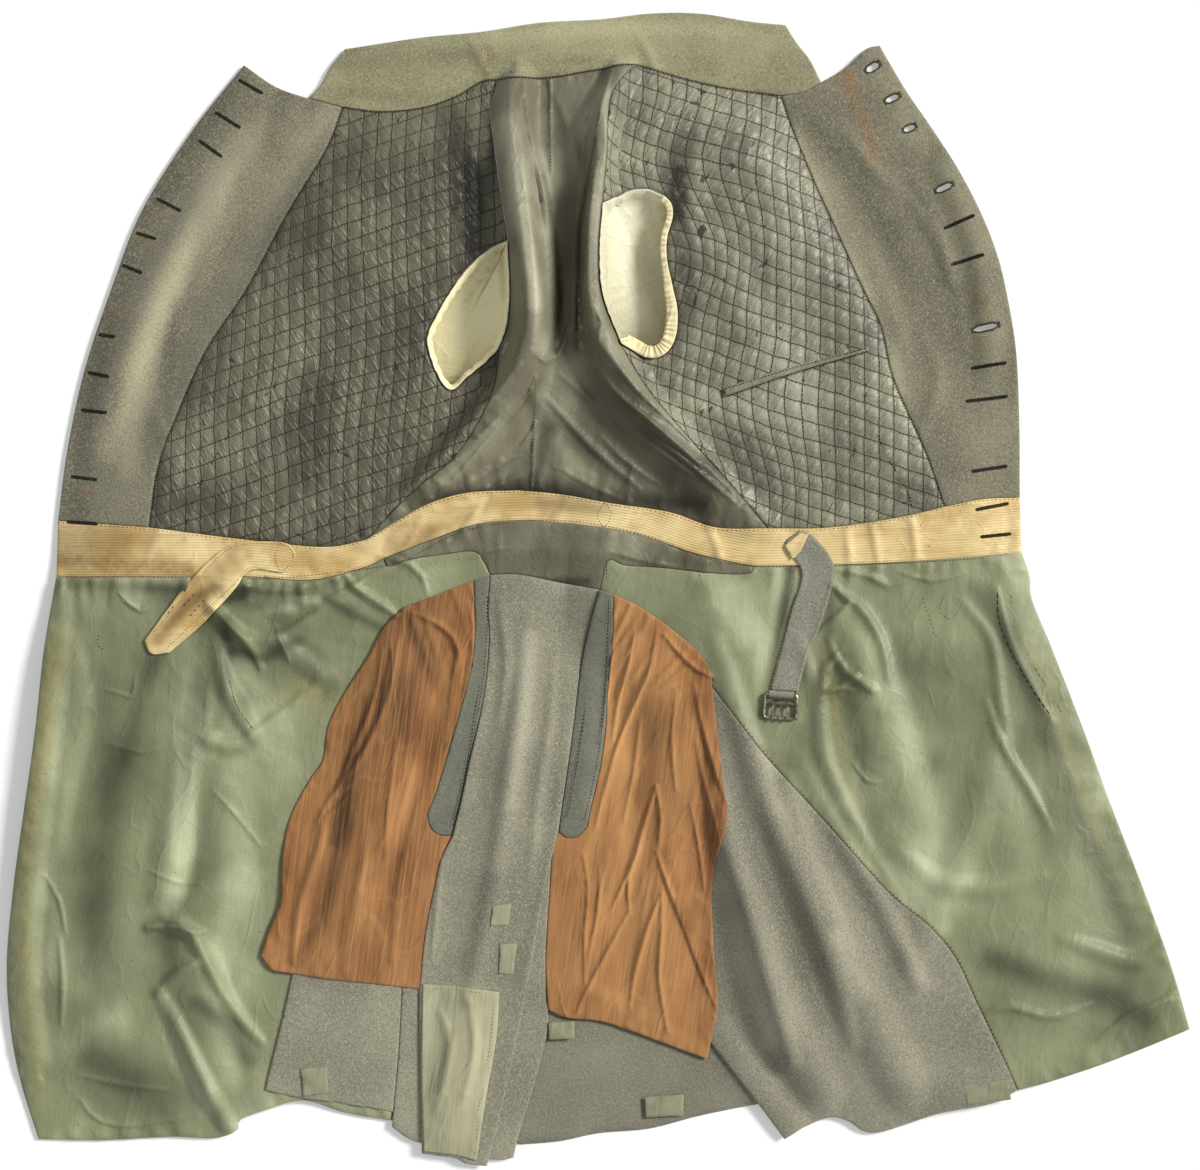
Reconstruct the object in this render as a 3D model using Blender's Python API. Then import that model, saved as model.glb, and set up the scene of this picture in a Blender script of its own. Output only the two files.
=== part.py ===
"""A military frock coat laid open on its outer face, lining up, collar at +Y.

The wearer's right front lies at -X and the left front at +X. Each piece that a tailor cuts is one object.
A panel is a flat pattern, cut along the seams named below, and lies on the bed: the shape that the coat takes
over its own sleeves and along its folds. Lengths in the tables are millimetres.
"""

from collections import namedtuple
from math import ceil, cos, pi, radians, sin

import bmesh
import bpy
import numpy as np
from mathutils import Matrix, Vector
from mathutils.geometry import delaunay_2d_cdt

MM = 0.001
SEAM_GAP = 0.3
WOOL = 2.0
SATIN = 1.2
COTTON = 1.0
RIBBON = 1.6
FIRST = WOOL + SEAM_GAP
SECOND = FIRST + SATIN + SEAM_GAP
ON_WOOL = FIRST + WOOL + SEAM_GAP
THIRD = SECOND + WOOL + SEAM_GAP
FOURTH = THIRD + WOOL + SEAM_GAP

CURVE_STEP = 36.0
TIGHT_STEP = 15.0
BED_REACH = 600.0
BED_STEP = (84.0, 76.0)
BED_NEAREST = 14.0
BED_MARGIN = 200.0
GRID_NEAREST = 46.0
TALL_FOLD = 15.0
STEEPEST = 2.6

QUILT_ACROSS = 12.8
QUILT_DOWN = 15.0
QUILT_RISE = 0.34
QUILT_PUFF = 1.8

# Each seam is a short run of points, (x, y), that one or more panels are cut along
SEAMS = {
    "collar_top": ((-221, 471), (-155, 481), (-103, 486), (-51, 494), (1, 497), (45, 502), (88, 502),
        (132, 495), (163, 492)),
    "collar_end_right": ((-221, 471), (-234, 455), (-242, 440), (-253, 428)),
    "collar_end_left": ((163, 492), (173, 476), (184, 462), (194, 442)),
    "collar_seam_facing_right": ((-253, 428), (-223, 420)),
    "collar_seam_quilt_right": ((-223, 420), (-190, 416), (-155, 419), (-125, 429), (-103, 442),
        (-88, 444)),
    "collar_seam_back": ((-88, 444), (-42, 446), (-6, 452), (33, 457)),
    "collar_seam_quilt_left": ((33, 457), (80, 443), (119, 435), (159, 430)),
    "collar_seam_facing_left": ((159, 430), (178, 433), (194, 442)),
    "neck_right": ((-309, 457), (-281, 438), (-253, 428)),
    "neck_left": ((194, 442), (214, 454), (233, 471), (245, 474)),
    "front_right": ((-309, 457), (-354, 400), (-398, 330), (-425, 261), (-448, 191), (-463, 121),
        (-471, 60)),
    "front_left": ((245, 474), (268, 435), (292, 400), (314, 365), (332, 330), (346, 295), (355, 261),
        (364, 208), (367, 139), (367, 80)),
    "facing_right": ((-223, 420), (-238, 382), (-271, 326), (-306, 261), (-342, 207), (-368, 147),
        (-383, 104), (-390, 54)),
    "facing_left": ((159, 430), (169, 400), (188, 352), (208, 308), (229, 261), (245, 228), (254, 187),
        (271, 147), (286, 113), (300, 72)),
    "back_right_upper": ((-88, 444), (-94, 417), (-90, 382), (-84, 339), (-78, 302)),
    "back_right_hole": ((-78, 302), (-76, 256), (-79, 226), (-86, 207)),
    "back_right_lower": ((-86, 207), (-90, 174), (-105, 141), (-125, 113), (-151, 92), (-174, 71),
        (-201, 43)),
    "back_left_upper": ((33, 457), (13, 433), (8, 408), (7, 374), (3, 332)),
    "back_left_hole": ((3, 332), (0, 291), (3, 252), (19, 211)),
    "back_left_lower": ((19, 211), (43, 172), (75, 134), (104, 102), (127, 76), (146, 53)),
    "armhole_right": ((-78, 302), (-94, 295), (-112, 280), (-127, 261), (-140, 239), (-149, 219),
        (-147, 203), (-141, 187), (-133, 174), (-125, 172), (-112, 184), (-98, 195), (-86, 207)),
    "armhole_left": ((3, 332), (15, 340), (32, 347), (49, 345), (62, 336), (65, 323), (60, 304),
        (60, 285), (65, 261), (69, 241), (68, 221), (62, 207), (52, 200), (40, 200), (29, 206),
        (19, 211)),
    "waist_top_facing_right": ((-471, 60), (-390, 54)),
    "waist_top_quilt_right": ((-390, 54), (-303, 43), (-238, 37), (-201, 43)),
    "waist_top_back_right": ((-201, 43), (-173, 60), (-147, 74), (-112, 84), (-68, 86)),
    "waist_top_back_left": ((-68, 86), (-29, 82), (10, 75), (62, 67), (101, 54), (146, 53)),
    "waist_top_quilt_left": ((146, 53), (201, 54), (262, 63), (300, 72)),
    "waist_top_facing_left": ((300, 72), (336, 79), (367, 80)),
    "waist_end_right": ((-471, 60), (-472, 11)),
    "waist_end_left": ((367, 80), (368, 32)),
    "waist_low_right": ((-472, 11), (-390, 11), (-303, 11), (-251, 8), (-206, 18), (-186, 27)),
    "waist_low_back_right": ((-186, 27), (-142, 44), (-103, 57), (-60, 60)),
    "waist_low_back_left": ((-60, 60), (-7, 55), (36, 47), (84, 31), (134, 20)),
    "back_right_waist": ((-201, 43), (-186, 27)),
    "back_left_waist": ((146, 53), (134, 20)),
    "waist_low_left": ((134, 20), (228, 22), (297, 26), (368, 32)),
    "skirt_front_right": ((-472, 11), (-482, -53), (-489, -122), (-499, -192), (-509, -261),
        (-515, -327), (-512, -383), (-503, -431), (-488, -479)),
    "skirt_front_left": ((368, 32), (375, 11), (377, -9), (395, -53), (422, -122), (448, -192),
        (475, -261), (500, -331), (515, -383)),
    "hem_right": ((-488, -479), (-434, -480), (-373, -477), (-334, -478), (-315, -471), (-312, -462),
        (-286, -452), (-257, -445), (-221, -456), (-180, -463)),
    "hem_hidden_right": ((-180, -463), (-125, -470)),
    "centre_back": ((-60, 60), (-75, -9), (-86, -183), (-103, -357), (-125, -470)),
    "hem_hidden_left": ((-125, -470), (-68, -484)),
    "hem_back_left": ((-68, -484), (-33, -481), (1, -474), (45, -470), (88, -459), (141, -448)),
    "hem_step_left": ((141, -448), (158, -456), (178, -469)),
    "pleat_hem_left": ((178, -469), (201, -460), (217, -463), (231, -472), (249, -472), (297, -456),
        (341, -448), (365, -436)),
    "hem_left": ((365, -436), (393, -429), (436, -415), (480, -398), (515, -383)),
    "pleat_tip_left": ((162, -479), (178, -469)),
    "pleat_fold_left": ((88, -383), (114, -416), (139, -448), (162, -479)),
    "pleat_inner_left": ((81, -61), (88, -148), (87, -270), (88, -383)),
    "lining_seam_left": ((81, -61), (99, -85), (121, -114), (147, -147), (180, -183), (214, -221),
        (255, -266), (288, -293), (310, -320), (329, -360), (349, -402), (365, -436)),
    "lining_inner_left": ((1, 0), (36, -22), (81, -61)),
    "lining_inner_right": ((-94, 13), (-138, -96), (-168, -227), (-180, -463)),
    "pleat_top_right": ((-260, -305), (-171, -305)),
    "pleat_inner_right": ((-171, -305), (-171, -344)),
    "pleat_seam_right": ((-171, -344), (-174, -401), (-179, -455)),
    "pleat_hem_right": ((-179, -455), (-216, -449), (-260, -442), (-290, -435)),
    "pleat_fold_right": ((-290, -435), (-277, -383), (-268, -344), (-260, -305)),
    "tail_satin_right": ((-186, 27), (-181, 20), (-163, 26), (-138, 30), (-108, 33), (-99, 23),
        (-94, 13)),
    "tail_satin_left": ((134, 20), (130, 14), (101, 14), (54, 19), (23, 21), (8, 25), (1, 0)),
    "tail_top": ((-94, 13), (-68, 13), (-33, 6), (1, 0)),
    "tail_edge_right": ((-94, 13), (-96, -18), (-95, -44), (-98, -80), (-103, -110), (-112, -148),
        (-120, -186), (-127, -214)),
    "tail_edge_right_mid": ((-127, -214), (-137, -235), (-144, -264), (-151, -301), (-156, -348)),
    "tail_edge_right_low": ((-156, -348), (-156, -392), (-155, -444), (-154, -491)),
    "tail_edge_left": ((1, 0), (-7, -28), (-14, -60), (-19, -96), (-24, -135), (-29, -170), (-35, -211)),
    "tail_edge_left_low": ((-35, -211), (-47, -261), (-55, -309), (-64, -357), (-73, -401), (-83, -448),
        (-97, -502)),
    "tail_hem": ((-154, -491), (-140, -493), (-125, -495), (-115, -500), (-97, -502)),
    "welt_right_top": ((-108, 8), (-94, 13)),
    "welt_left_top": ((1, 0), (13, -4)),
    "welt_right_outer": ((-108, 8), (-107, -27), (-108, -54), (-115, -87), (-125, -122), (-134, -153),
        (-143, -181), (-149, -195)),
    "welt_right_end": ((-149, -195), (-146, -208), (-137, -214), (-127, -214)),
    "welt_left_outer": ((13, -4), (12, -44), (8, -87), (6, -122), (1, -157), (-6, -187), (-10, -206)),
    "welt_left_end": ((-35, -211), (-28, -216), (-18, -215), (-10, -206)),
    "bag_right_top": ((-167, -14), (-147, -7), (-125, 2), (-108, 8)),
    "bag_right_outer": ((-167, -14), (-186, -33), (-199, -57), (-220, -89), (-234, -117), (-239, -147),
        (-250, -164), (-267, -196), (-274, -231), (-276, -270), (-286, -296), (-293, -318)),
    "bag_right_hem": ((-293, -318), (-283, -330), (-267, -333), (-225, -339), (-190, -343), (-156, -348)),
    "bag_left_top": ((13, -4), (36, -15), (58, -30), (80, -48), (92, -61), (98, -74)),
    "bag_left_outer": ((98, -74), (100, -96), (104, -131), (108, -166), (112, -196), (106, -221),
        (99, -257), (100, -305), (104, -360), (100, -383), (95, -409)),
    "bag_left_hem": ((-44, -366), (-28, -373), (1, -376), (27, -384), (54, -394), (78, -403), (95, -409)),
    "bag_left_inner": ((-35, -211), (-40, -227), (-43, -270), (-46, -322), (-44, -366)),
    "underlay_right_edge": ((-179, -455), (-180, -468)),
    "underlay_right_hem": ((-180, -468), (-168, -477), (-156, -482), (-138, -484)),
    "underlay_right_inner": ((-138, -484), (-134, -401), (-138, -344)),
    "underlay_right_top": ((-138, -344), (-171, -344)),
    "underlay_left_edge": ((-44, -366), (-45, -388), (-57, -435), (-68, -470), (-74, -495)),
    "underlay_left_hem": ((-74, -495), (-84, -497), (-100, -496)),
    "underlay_left_inner": ((-100, -496), (-99, -427), (-81, -340), (-64, -270), (-51, -228),
        (-35, -211)),
    "patch_tail_top": ((-153, -343), (-120, -345), (-86, -350)),
    "patch_tail_edge": ((-86, -350), (-89, -392), (-98, -444), (-106, -497)),
    "patch_tail_hem": ((-106, -497), (-125, -492), (-152, -489)),
    "patch_tail_side": ((-152, -489), (-154, -418), (-153, -343)),
    "strap_right_upper": ((-261, 30), (-269, 40), (-293, 42), (-315, 40), (-337, 26), (-364, -4),
        (-394, -44)),
    "strap_right_tip": ((-394, -44), (-388, -56), (-372, -55)),
    "strap_right_under": ((-372, -55), (-342, -29), (-314, 1), (-306, 14), (-293, 17), (-271, 15),
        (-261, 30)),
    "strap_left_outer": ((173, 51), (186, 46), (204, 19), (194, -27), (182, -54), (173, -89)),
    "strap_left_end": ((173, -89), (149, -87)),
    "strap_left_inner": ((149, -87), (158, -53), (167, -18), (176, 15), (161, 38), (173, 51)),
    "pocket_welt_upper": ((108, 174), (167, 193), (234, 210)),
    "pocket_welt_end": ((234, 210), (234, 206)),
    "pocket_welt_under": ((234, 206), (168, 187), (110, 167)),
    "pocket_welt_tip": ((110, 167), (108, 174)),
}
TIGHT_SEAMS = ("armhole_right", "armhole_left", "back_right_hole", "back_left_hole")

# Open buttonholes, cut through the left facing and forepart: middle, length, width and turn in degrees
Slit = namedtuple("Slit", "x y length width turn")
SLITS = (
    Slit(239, 455, 13, 5.2, 33),
    Slit(256, 428, 13, 4.3, 26),
    Slit(271, 402, 11, 4.3, 24),
    Slit(301, 350, 15, 4.3, 24),
    Slit(337, 228, 22, 4.3, 12),
)

# Folds of the bed, a row for each bend of the crest: height, and how far it falls away on the left and right
Crest = namedtuple("Crest", "x y height left right")
FOLDS = {
    "back_fold_right": ((-72, 440, 14, 23, 17), (-71, 400, 26, 21, 21), (-67, 348, 30, 17, 23),
        (-60, 295, 34, 17, 23), (-57, 243, 34, 19, 21), (-60, 213, 32, 24, 21), (-75, 178, 28, 35, 21),
        (-100, 143, 23, 44, 21), (-129, 111, 18, 44, 21), (-164, 80, 11, 35, 19), (-194, 54, 5, 26, 17)),
    "back_fold_left": ((20, 450, 14, 19, 16), (7, 413, 24, 17, 16), (0, 365, 28, 19, 12),
        (-6, 308, 30, 21, 12), (-5, 252, 30, 21, 14), (5, 213, 28, 23, 21), (23, 178, 25, 24, 31),
        (54, 139, 20, 24, 35), (88, 100, 15, 23, 35), (121, 69, 9, 21, 30), (145, 55, 4, 17, 21)),
    "facing_roll_right": ((-273, 408, 3, 23, 23), (-293, 382, 7, 24, 26), (-347, 317, 9, 24, 30),
        (-390, 248, 9, 23, 30), (-422, 178, 8, 21, 28), (-437, 117, 5, 19, 24)),
    "facing_roll_left": ((301, 369, 3, 19, 19), (330, 308, 7, 21, 23), (341, 252, 8, 21, 23),
        (342, 200, 4, 19, 21)),
    "edge_roll_right": ((-467, -9, 3, 16, 35), (-477, -96, 8, 19, 42), (-488, -183, 9, 19, 44),
        (-496, -270, 9, 17, 38), (-498, -340, 8, 16, 35), (-489, -409, 5, 16, 31)),
    "skirt_fold_right": ((-316, -9, 4, 35, 35), (-325, -87, 9, 38, 35), (-328, -174, 11, 38, 38),
        (-326, -253, 10, 35, 38), (-350, -296, 9, 30, 35), (-342, -357, 9, 26, 35),
        (-328, -427, 6, 23, 31)),
    "pleat_roll_left": ((107, -383, 3, 19, 23), (134, -425, 5, 21, 26), (165, -463, 5, 21, 26)),
    "skirt_fold_left_a": ((162, -183, 3, 26, 26), (193, -270, 7, 30, 31), (229, -357, 9, 30, 33),
        (267, -431, 7, 26, 30)),
    "skirt_fold_left_b": ((114, -201, 3, 26, 26), (134, -288, 7, 30, 31), (160, -375, 9, 30, 33),
        (194, -435, 7, 26, 30)),
    "skirt_fold_left_c": ((219, -27, 4, 31, 31), (245, -114, 7, 35, 35), (261, -183, 8, 35, 35),
        (273, -253, 5, 31, 31)),
    "tail_roll": ((-55, -44, 3, 35, 31), (-68, -148, 5, 35, 35), (-94, -270, 5, 35, 31),
        (-120, -392, 5, 35, 31), (-134, -470, 4, 31, 26)),
    "bag_roll_right": ((-173, -61, 4, 31, 35), (-194, -157, 6, 38, 38), (-216, -253, 6, 38, 38),
        (-234, -322, 5, 35, 35)),
    "bag_roll_left": ((49, -79, 4, 35, 35), (62, -166, 6, 38, 38), (58, -270, 7, 38, 38),
        (54, -357, 5, 35, 35)),
}

# The sleeves lie below the coat: the middle line of each, then the sections down it
SLEEVE_LINES = {
    "right": ((-122, 226), (-173, 121), (-244, 26), (-308, -87), (-328, -201), (-333, -292)),
    "left": ((43, 252), (102, 139), (172, 26), (234, -96), (264, -209), (274, -292)),
}
Section = namedtuple("Section", "down half_width height")
SECTIONS = (
    Section(0, 78, 21),
    Section(90, 86, 17),
    Section(160, 88, 13),
    Section(300, 84, 9),
    Section(450, 75, 8),
    Section(575, 66, 8),
)
SLEEVE_CLEAR = 3.0
RIM_DROP = 2.4
LINING_EASE = 1.3
SWELL_SPREAD = 60.0
SWELL_FADE = 70.0
LINING_SECTIONS = 3

# Panels: the seams round each cut, in order, a seam with a minus sign being followed backwards.
# Base is the height of its underside above the bed, and base_low that height in its lower part
Panel = namedtuple("Panel", "name edges base base_low thick colour roughness")
OLIVE_FELT = (0.26, 0.25, 0.17)
FIELD_GREY = (0.20, 0.19, 0.16)
BLUE_GREY = (0.18, 0.19, 0.17)
GREY_SATIN = (0.22, 0.20, 0.15)
GREEN_SATIN = (0.20, 0.24, 0.14)
BUFF_RIBBON = (0.55, 0.42, 0.22)
BROWN_COTTON = (0.35, 0.16, 0.07)
CREAM_SATEEN = (0.75, 0.70, 0.52)
OLIVE_COTTON = (0.26, 0.27, 0.17)
NICKEL = (0.55, 0.53, 0.48)
RAMP_TOP = -30.0
RAMP_FOOT = -165.0
BAG_RAMP_TOP = -190.0
BAG_RAMP_FOOT = -255.0

COLLAR_CUT = (
    "collar_top", "collar_end_left", "-collar_seam_facing_left", "-collar_seam_quilt_left",
    "-collar_seam_back", "-collar_seam_quilt_right", "-collar_seam_facing_right", "-collar_end_right")
PANELS = (
    Panel("collar_under", COLLAR_CUT, 0, 0, WOOL, FIELD_GREY, 0.95),
    Panel("collar_inner", COLLAR_CUT, FIRST, FIRST, WOOL, OLIVE_FELT, 0.95),
    Panel("forepart_right", (
        "neck_right", "collar_seam_facing_right", "collar_seam_quilt_right", "back_right_upper",
        "armhole_right", "back_right_lower", "back_right_waist", "-waist_low_right",
        "-waist_end_right", "-front_right"), 0, 0, WOOL, FIELD_GREY, 0.95),
    Panel("forepart_left", (
        "collar_seam_quilt_left", "collar_seam_facing_left", "neck_left", "front_left",
        "waist_end_left", "-waist_low_left", "-back_left_waist", "-back_left_lower",
        "-armhole_left", "-back_left_upper"), 0, 0, WOOL, FIELD_GREY, 0.95),
    Panel("back", (
        "collar_seam_back", "back_left_upper", "back_left_hole", "back_left_lower",
        "back_left_waist", "-waist_low_back_left", "-waist_low_back_right", "-back_right_waist",
        "-back_right_lower", "-back_right_hole", "-back_right_upper"), 0, 0, WOOL, FIELD_GREY, 0.95),
    Panel("skirt_right", (
        "waist_low_right", "waist_low_back_right", "centre_back", "-hem_hidden_right",
        "-hem_right", "-skirt_front_right"), 0, 0, WOOL, FIELD_GREY, 0.95),
    Panel("skirt_left", (
        "waist_low_back_left", "waist_low_left", "skirt_front_left", "-hem_left",
        "-pleat_hem_left", "-hem_step_left", "-hem_back_left", "-hem_hidden_left",
        "-centre_back"), 0, 0, WOOL, FIELD_GREY, 0.95),
    Panel("facing_right", (
        "neck_right", "collar_seam_facing_right", "facing_right", "-waist_top_facing_right",
        "-front_right"), FIRST, FIRST, WOOL, FIELD_GREY, 0.95),
    Panel("facing_left", (
        "collar_seam_facing_left", "neck_left", "front_left", "-waist_top_facing_left",
        "-facing_left"), FIRST, FIRST, WOOL, FIELD_GREY, 0.95),
    Panel("back_lining", (
        "collar_seam_back", "back_left_upper", "back_left_hole", "back_left_lower",
        "-waist_top_back_left", "-waist_top_back_right", "-back_right_lower", "-back_right_hole",
        "-back_right_upper"), FIRST, FIRST, SATIN, GREY_SATIN, 0.35),
    Panel("waistband", (
        "waist_top_facing_right", "waist_top_quilt_right", "waist_top_back_right",
        "waist_top_back_left", "waist_top_quilt_left", "waist_top_facing_left", "waist_end_left",
        "-waist_low_left", "-waist_low_back_left", "-waist_low_back_right", "-waist_low_right",
        "-waist_end_right"), FIRST, FIRST, WOOL, BUFF_RIBBON, 0.80),
    Panel("back_lining_tail", (
        "waist_low_back_right", "waist_low_back_left", "tail_satin_left", "-tail_top",
        "-tail_satin_right"), FIRST, FIRST, SATIN, GREY_SATIN, 0.35),
    Panel("skirt_lining_right", (
        "waist_low_right", "tail_satin_right", "lining_inner_right", "-hem_right",
        "-skirt_front_right"), FIRST, FIRST, SATIN, GREEN_SATIN, 0.30),
    Panel("skirt_lining_left", (
        "waist_low_left", "skirt_front_left", "-hem_left", "-lining_seam_left",
        "-lining_inner_left", "-tail_satin_left"), FIRST, FIRST, SATIN, GREEN_SATIN, 0.30),
    Panel("pleat_right", (
        "pleat_top_right", "pleat_inner_right", "pleat_seam_right", "pleat_hem_right",
        "pleat_fold_right"), SECOND, SECOND, WOOL, FIELD_GREY, 0.95),
    Panel("pleat_left", (
        "lining_seam_left", "-pleat_hem_left", "-pleat_tip_left", "-pleat_fold_left",
        "-pleat_inner_left"), FIRST, FIRST, WOOL, BLUE_GREY, 0.95),
    Panel("underlay_right", (
        "pleat_seam_right", "underlay_right_edge", "underlay_right_hem", "underlay_right_inner",
        "underlay_right_top"), SECOND, SECOND, WOOL, BLUE_GREY, 0.95),
    Panel("underlay_left", (
        "bag_left_inner", "underlay_left_edge", "underlay_left_hem", "underlay_left_inner"),
        SECOND, SECOND, WOOL, BLUE_GREY, 0.95),
    Panel("tail", (
        "tail_top", "tail_edge_left", "tail_edge_left_low", "-tail_hem", "-tail_edge_right_low",
        "-tail_edge_right_mid", "-tail_edge_right"), FIRST, THIRD, WOOL, FIELD_GREY, 0.95),
    Panel("tail_patch", (
        "patch_tail_top", "patch_tail_edge", "patch_tail_hem", "patch_tail_side"),
        FOURTH, FOURTH, COTTON, OLIVE_COTTON, 0.90),
    Panel("pocket_welt_right", (
        "welt_right_top", "tail_edge_right", "-welt_right_end", "-welt_right_outer"),
        SECOND, SECOND, WOOL, BLUE_GREY, 0.95),
    Panel("pocket_welt_left", (
        "welt_left_top", "welt_left_outer", "-welt_left_end", "-tail_edge_left"),
        ON_WOOL, ON_WOOL, WOOL, BLUE_GREY, 0.95),
    Panel("pocket_bag_right", (
        "bag_right_top", "welt_right_outer", "welt_right_end", "tail_edge_right_mid",
        "-bag_right_hem", "-bag_right_outer"), SECOND, THIRD, SATIN, BROWN_COTTON, 0.80),
    Panel("pocket_bag_left", (
        "bag_left_top", "bag_left_outer", "-bag_left_hem", "-bag_left_inner", "welt_left_end",
        "-welt_left_outer"), ON_WOOL, ON_WOOL, SATIN, BROWN_COTTON, 0.80),
    Panel("breast_pocket_welt", (
        "pocket_welt_upper", "pocket_welt_end", "pocket_welt_under", "pocket_welt_tip"),
        ON_WOOL + QUILT_PUFF + 0.4, ON_WOOL + QUILT_PUFF + 0.4, SATIN, BLUE_GREY, 0.90),
    Panel("strap_right", (
        "strap_right_upper", "strap_right_tip", "strap_right_under"),
        ON_WOOL, ON_WOOL, RIBBON, BUFF_RIBBON, 0.80),
    Panel("strap_left", (
        "strap_left_outer", "strap_left_end", "strap_left_inner"),
        ON_WOOL, ON_WOOL, RIBBON, BLUE_GREY, 0.90),
)
Quilt = namedtuple("Quilt", "name edges rise")
QUILTS = (
    Quilt("quilt_right", (
        "collar_seam_quilt_right", "back_right_upper", "armhole_right", "back_right_lower",
        "-waist_top_quilt_right", "-facing_right"), QUILT_RISE),
    Quilt("quilt_left", (
        "collar_seam_quilt_left", "facing_left", "-waist_top_quilt_left", "-back_left_lower",
        "-armhole_left", "-back_left_upper"), -QUILT_RISE),
)

# The buckle lies at the end of the left strap. It is drawn flat and turned by a few degrees
BUCKLE_AT = (158.5, -91.0)
BUCKLE_TURN = -4.0
BUCKLE_WIDE = 31.0
BUCKLE_TALL = 23.5
BUCKLE_WIRE = 1.5
BUCKLE_CORNER = 2.2
BAR_RADIUS = 1.1
BAR_DOWN = 7.6
PRONG_SPREAD = 6.4
PRONG_WIDE = 2.0
PRONG_THICK = 1.2
LOOP_THICK = 1.2
LOOP_WIDE = 21.5
HINGE_GAP = 0.3


def material(name, colour, roughness, metallic=0.0):
    found = bpy.data.materials.get(name)
    if found is None:
        found = bpy.data.materials.new(name)
        found.use_nodes = True
        shader = found.node_tree.nodes["Principled BSDF"]
        shader.inputs["Base Color"].default_value = (*colour, 1.0)
        shader.inputs["Roughness"].default_value = roughness
        shader.inputs["Metallic"].default_value = metallic
    return found


def make(name, points, faces, colour, roughness, smooth=False, metallic=0.0):
    """One closed body from points in millimetres, with its faces turned outwards."""
    mesh = bpy.data.meshes.new(name)
    mesh.from_pydata([tuple(MM * value for value in point) for point in points], [], faces)
    body = bmesh.new()
    body.from_mesh(mesh)
    bmesh.ops.recalc_face_normals(body, faces=body.faces)
    body.to_mesh(mesh)
    body.free()
    mesh.polygons.foreach_set("use_smooth", [smooth] * len(mesh.polygons))
    thing = bpy.data.objects.new(name, mesh)
    bpy.context.scene.collection.objects.link(thing)
    mesh.materials.append(material(name, colour, roughness, metallic))
    return thing


def smooth_line(points, step):
    """Points about one step apart along a smooth curve through a short run of points."""
    ends = np.array(points, float)
    if len(ends) > 2:
        run = np.vstack([2 * ends[0] - ends[1], ends, 2 * ends[-1] - ends[-2]])
        dense = []
        for a, b, c, d in zip(run, run[1:], run[2:], run[3:]):
            for t in np.arange(8) / 8:
                straight = (c - a) * t + (2 * a - 5 * b + 4 * c - d) * t * t
                dense.append(b + 0.5 * (straight + (3 * b - a - 3 * c + d) * t ** 3))
        ends = np.vstack([dense, ends[-1]])
    lengths = np.concatenate([[0], np.cumsum(np.linalg.norm(np.diff(ends, axis=0), axis=1))])
    count = max(1, round(lengths[-1] / step))
    places = np.linspace(0, lengths[-1], count + 1)
    return np.stack([np.interp(places, lengths, ends[:, axis]) for axis in (0, 1)], axis=1)


def seam(name):
    backwards = name.startswith("-")
    plain = name.lstrip("-")
    line = smooth_line(SEAMS[plain], TIGHT_STEP if plain in TIGHT_SEAMS else CURVE_STEP)
    return line[::-1] if backwards else line


def inset(loop, gap):
    """The loop moved towards its inside by a gap."""
    before = loop - np.roll(loop, 1, axis=0)
    after = np.roll(loop, -1, axis=0) - loop
    turn = np.sign(signed_area(loop))
    sides = [np.stack([-edge[:, 1], edge[:, 0]], axis=1) * turn for edge in (before, after)]
    sides = [side / np.linalg.norm(side, axis=1)[:, None] for side in sides]
    meet = np.maximum(1 + np.sum(sides[0] * sides[1], axis=1), 0.25)
    return loop + gap * (sides[0] + sides[1]) / meet[:, None]


def signed_area(loop):
    return np.sum(loop[:, 0] * np.roll(loop[:, 1], -1) - np.roll(loop[:, 0], -1) * loop[:, 1]) / 2


def outline(edges):
    loop = np.vstack([seam(name)[:-1] for name in edges])
    loop = inset(loop, SEAM_GAP / 2)
    return loop if signed_area(loop) > 0 else loop[::-1]


def slit_loop(slit):
    """A narrow buttonhole with tapered ends."""
    along = np.array([-0.5, -0.3, 0.3, 0.5, 0.3, -0.3]) * slit.length
    across = np.array([0, -0.5, -0.5, 0, 0.5, 0.5]) * slit.width
    turn = radians(slit.turn)
    return np.stack([
        slit.x + along * cos(turn) - across * sin(turn),
        slit.y + along * sin(turn) + across * cos(turn)], axis=1)


def hump(distance):
    """1 on the crest, easing to 0 one width away."""
    return 0.5 + 0.5 * np.cos(pi * np.clip(distance, 0, 1))


def fold_height(points, crests):
    best = np.zeros(len(points))
    for first, last in zip(crests, crests[1:]):
        start = np.array([first.x, first.y], float)
        run = np.array([last.x, last.y], float) - start
        share = np.clip((points - start) @ run / (run @ run), 0, 1)
        away = points - start - share[:, None] * run
        left_side = run[0] * away[:, 1] - run[1] * away[:, 0] > 0
        width = np.where(left_side, first.left + share * (last.left - first.left),
                         first.right + share * (last.right - first.right))
        height = first.height + share * (last.height - first.height)
        best = np.maximum(best, height * hump(np.linalg.norm(away, axis=1) / width))
    return best


def section_at(down):
    downs = [row.down for row in SECTIONS]
    return [np.interp(down, downs, [row[i] for row in SECTIONS]) for i in (1, 2)]


def sleeve_line(side):
    return smooth_line(SLEEVE_LINES[side], 15.0)


def swell_height(points, line):
    """The coat's height over a sleeve that lies under it."""
    best = np.zeros(len(points))
    for index, centre in enumerate(line):
        half, tall = section_at(index * 15.0)
        past = np.linalg.norm(points - centre, axis=1) - half - SWELL_SPREAD
        best = np.maximum(best, (tall + SLEEVE_CLEAR) * hump(past / SWELL_FADE))
    return best


FOLD_CRESTS = {name: [Crest(*row) for row in rows] for name, rows in FOLDS.items()}


def bed(points):
    """The height of the bed at each point."""
    points = np.asarray(points, float)
    swell = np.max([swell_height(points, sleeve_line(side)) for side in SLEEVE_LINES], axis=0)
    return swell + sum(fold_height(points, crests) for crests in FOLD_CRESTS.values())


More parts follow.
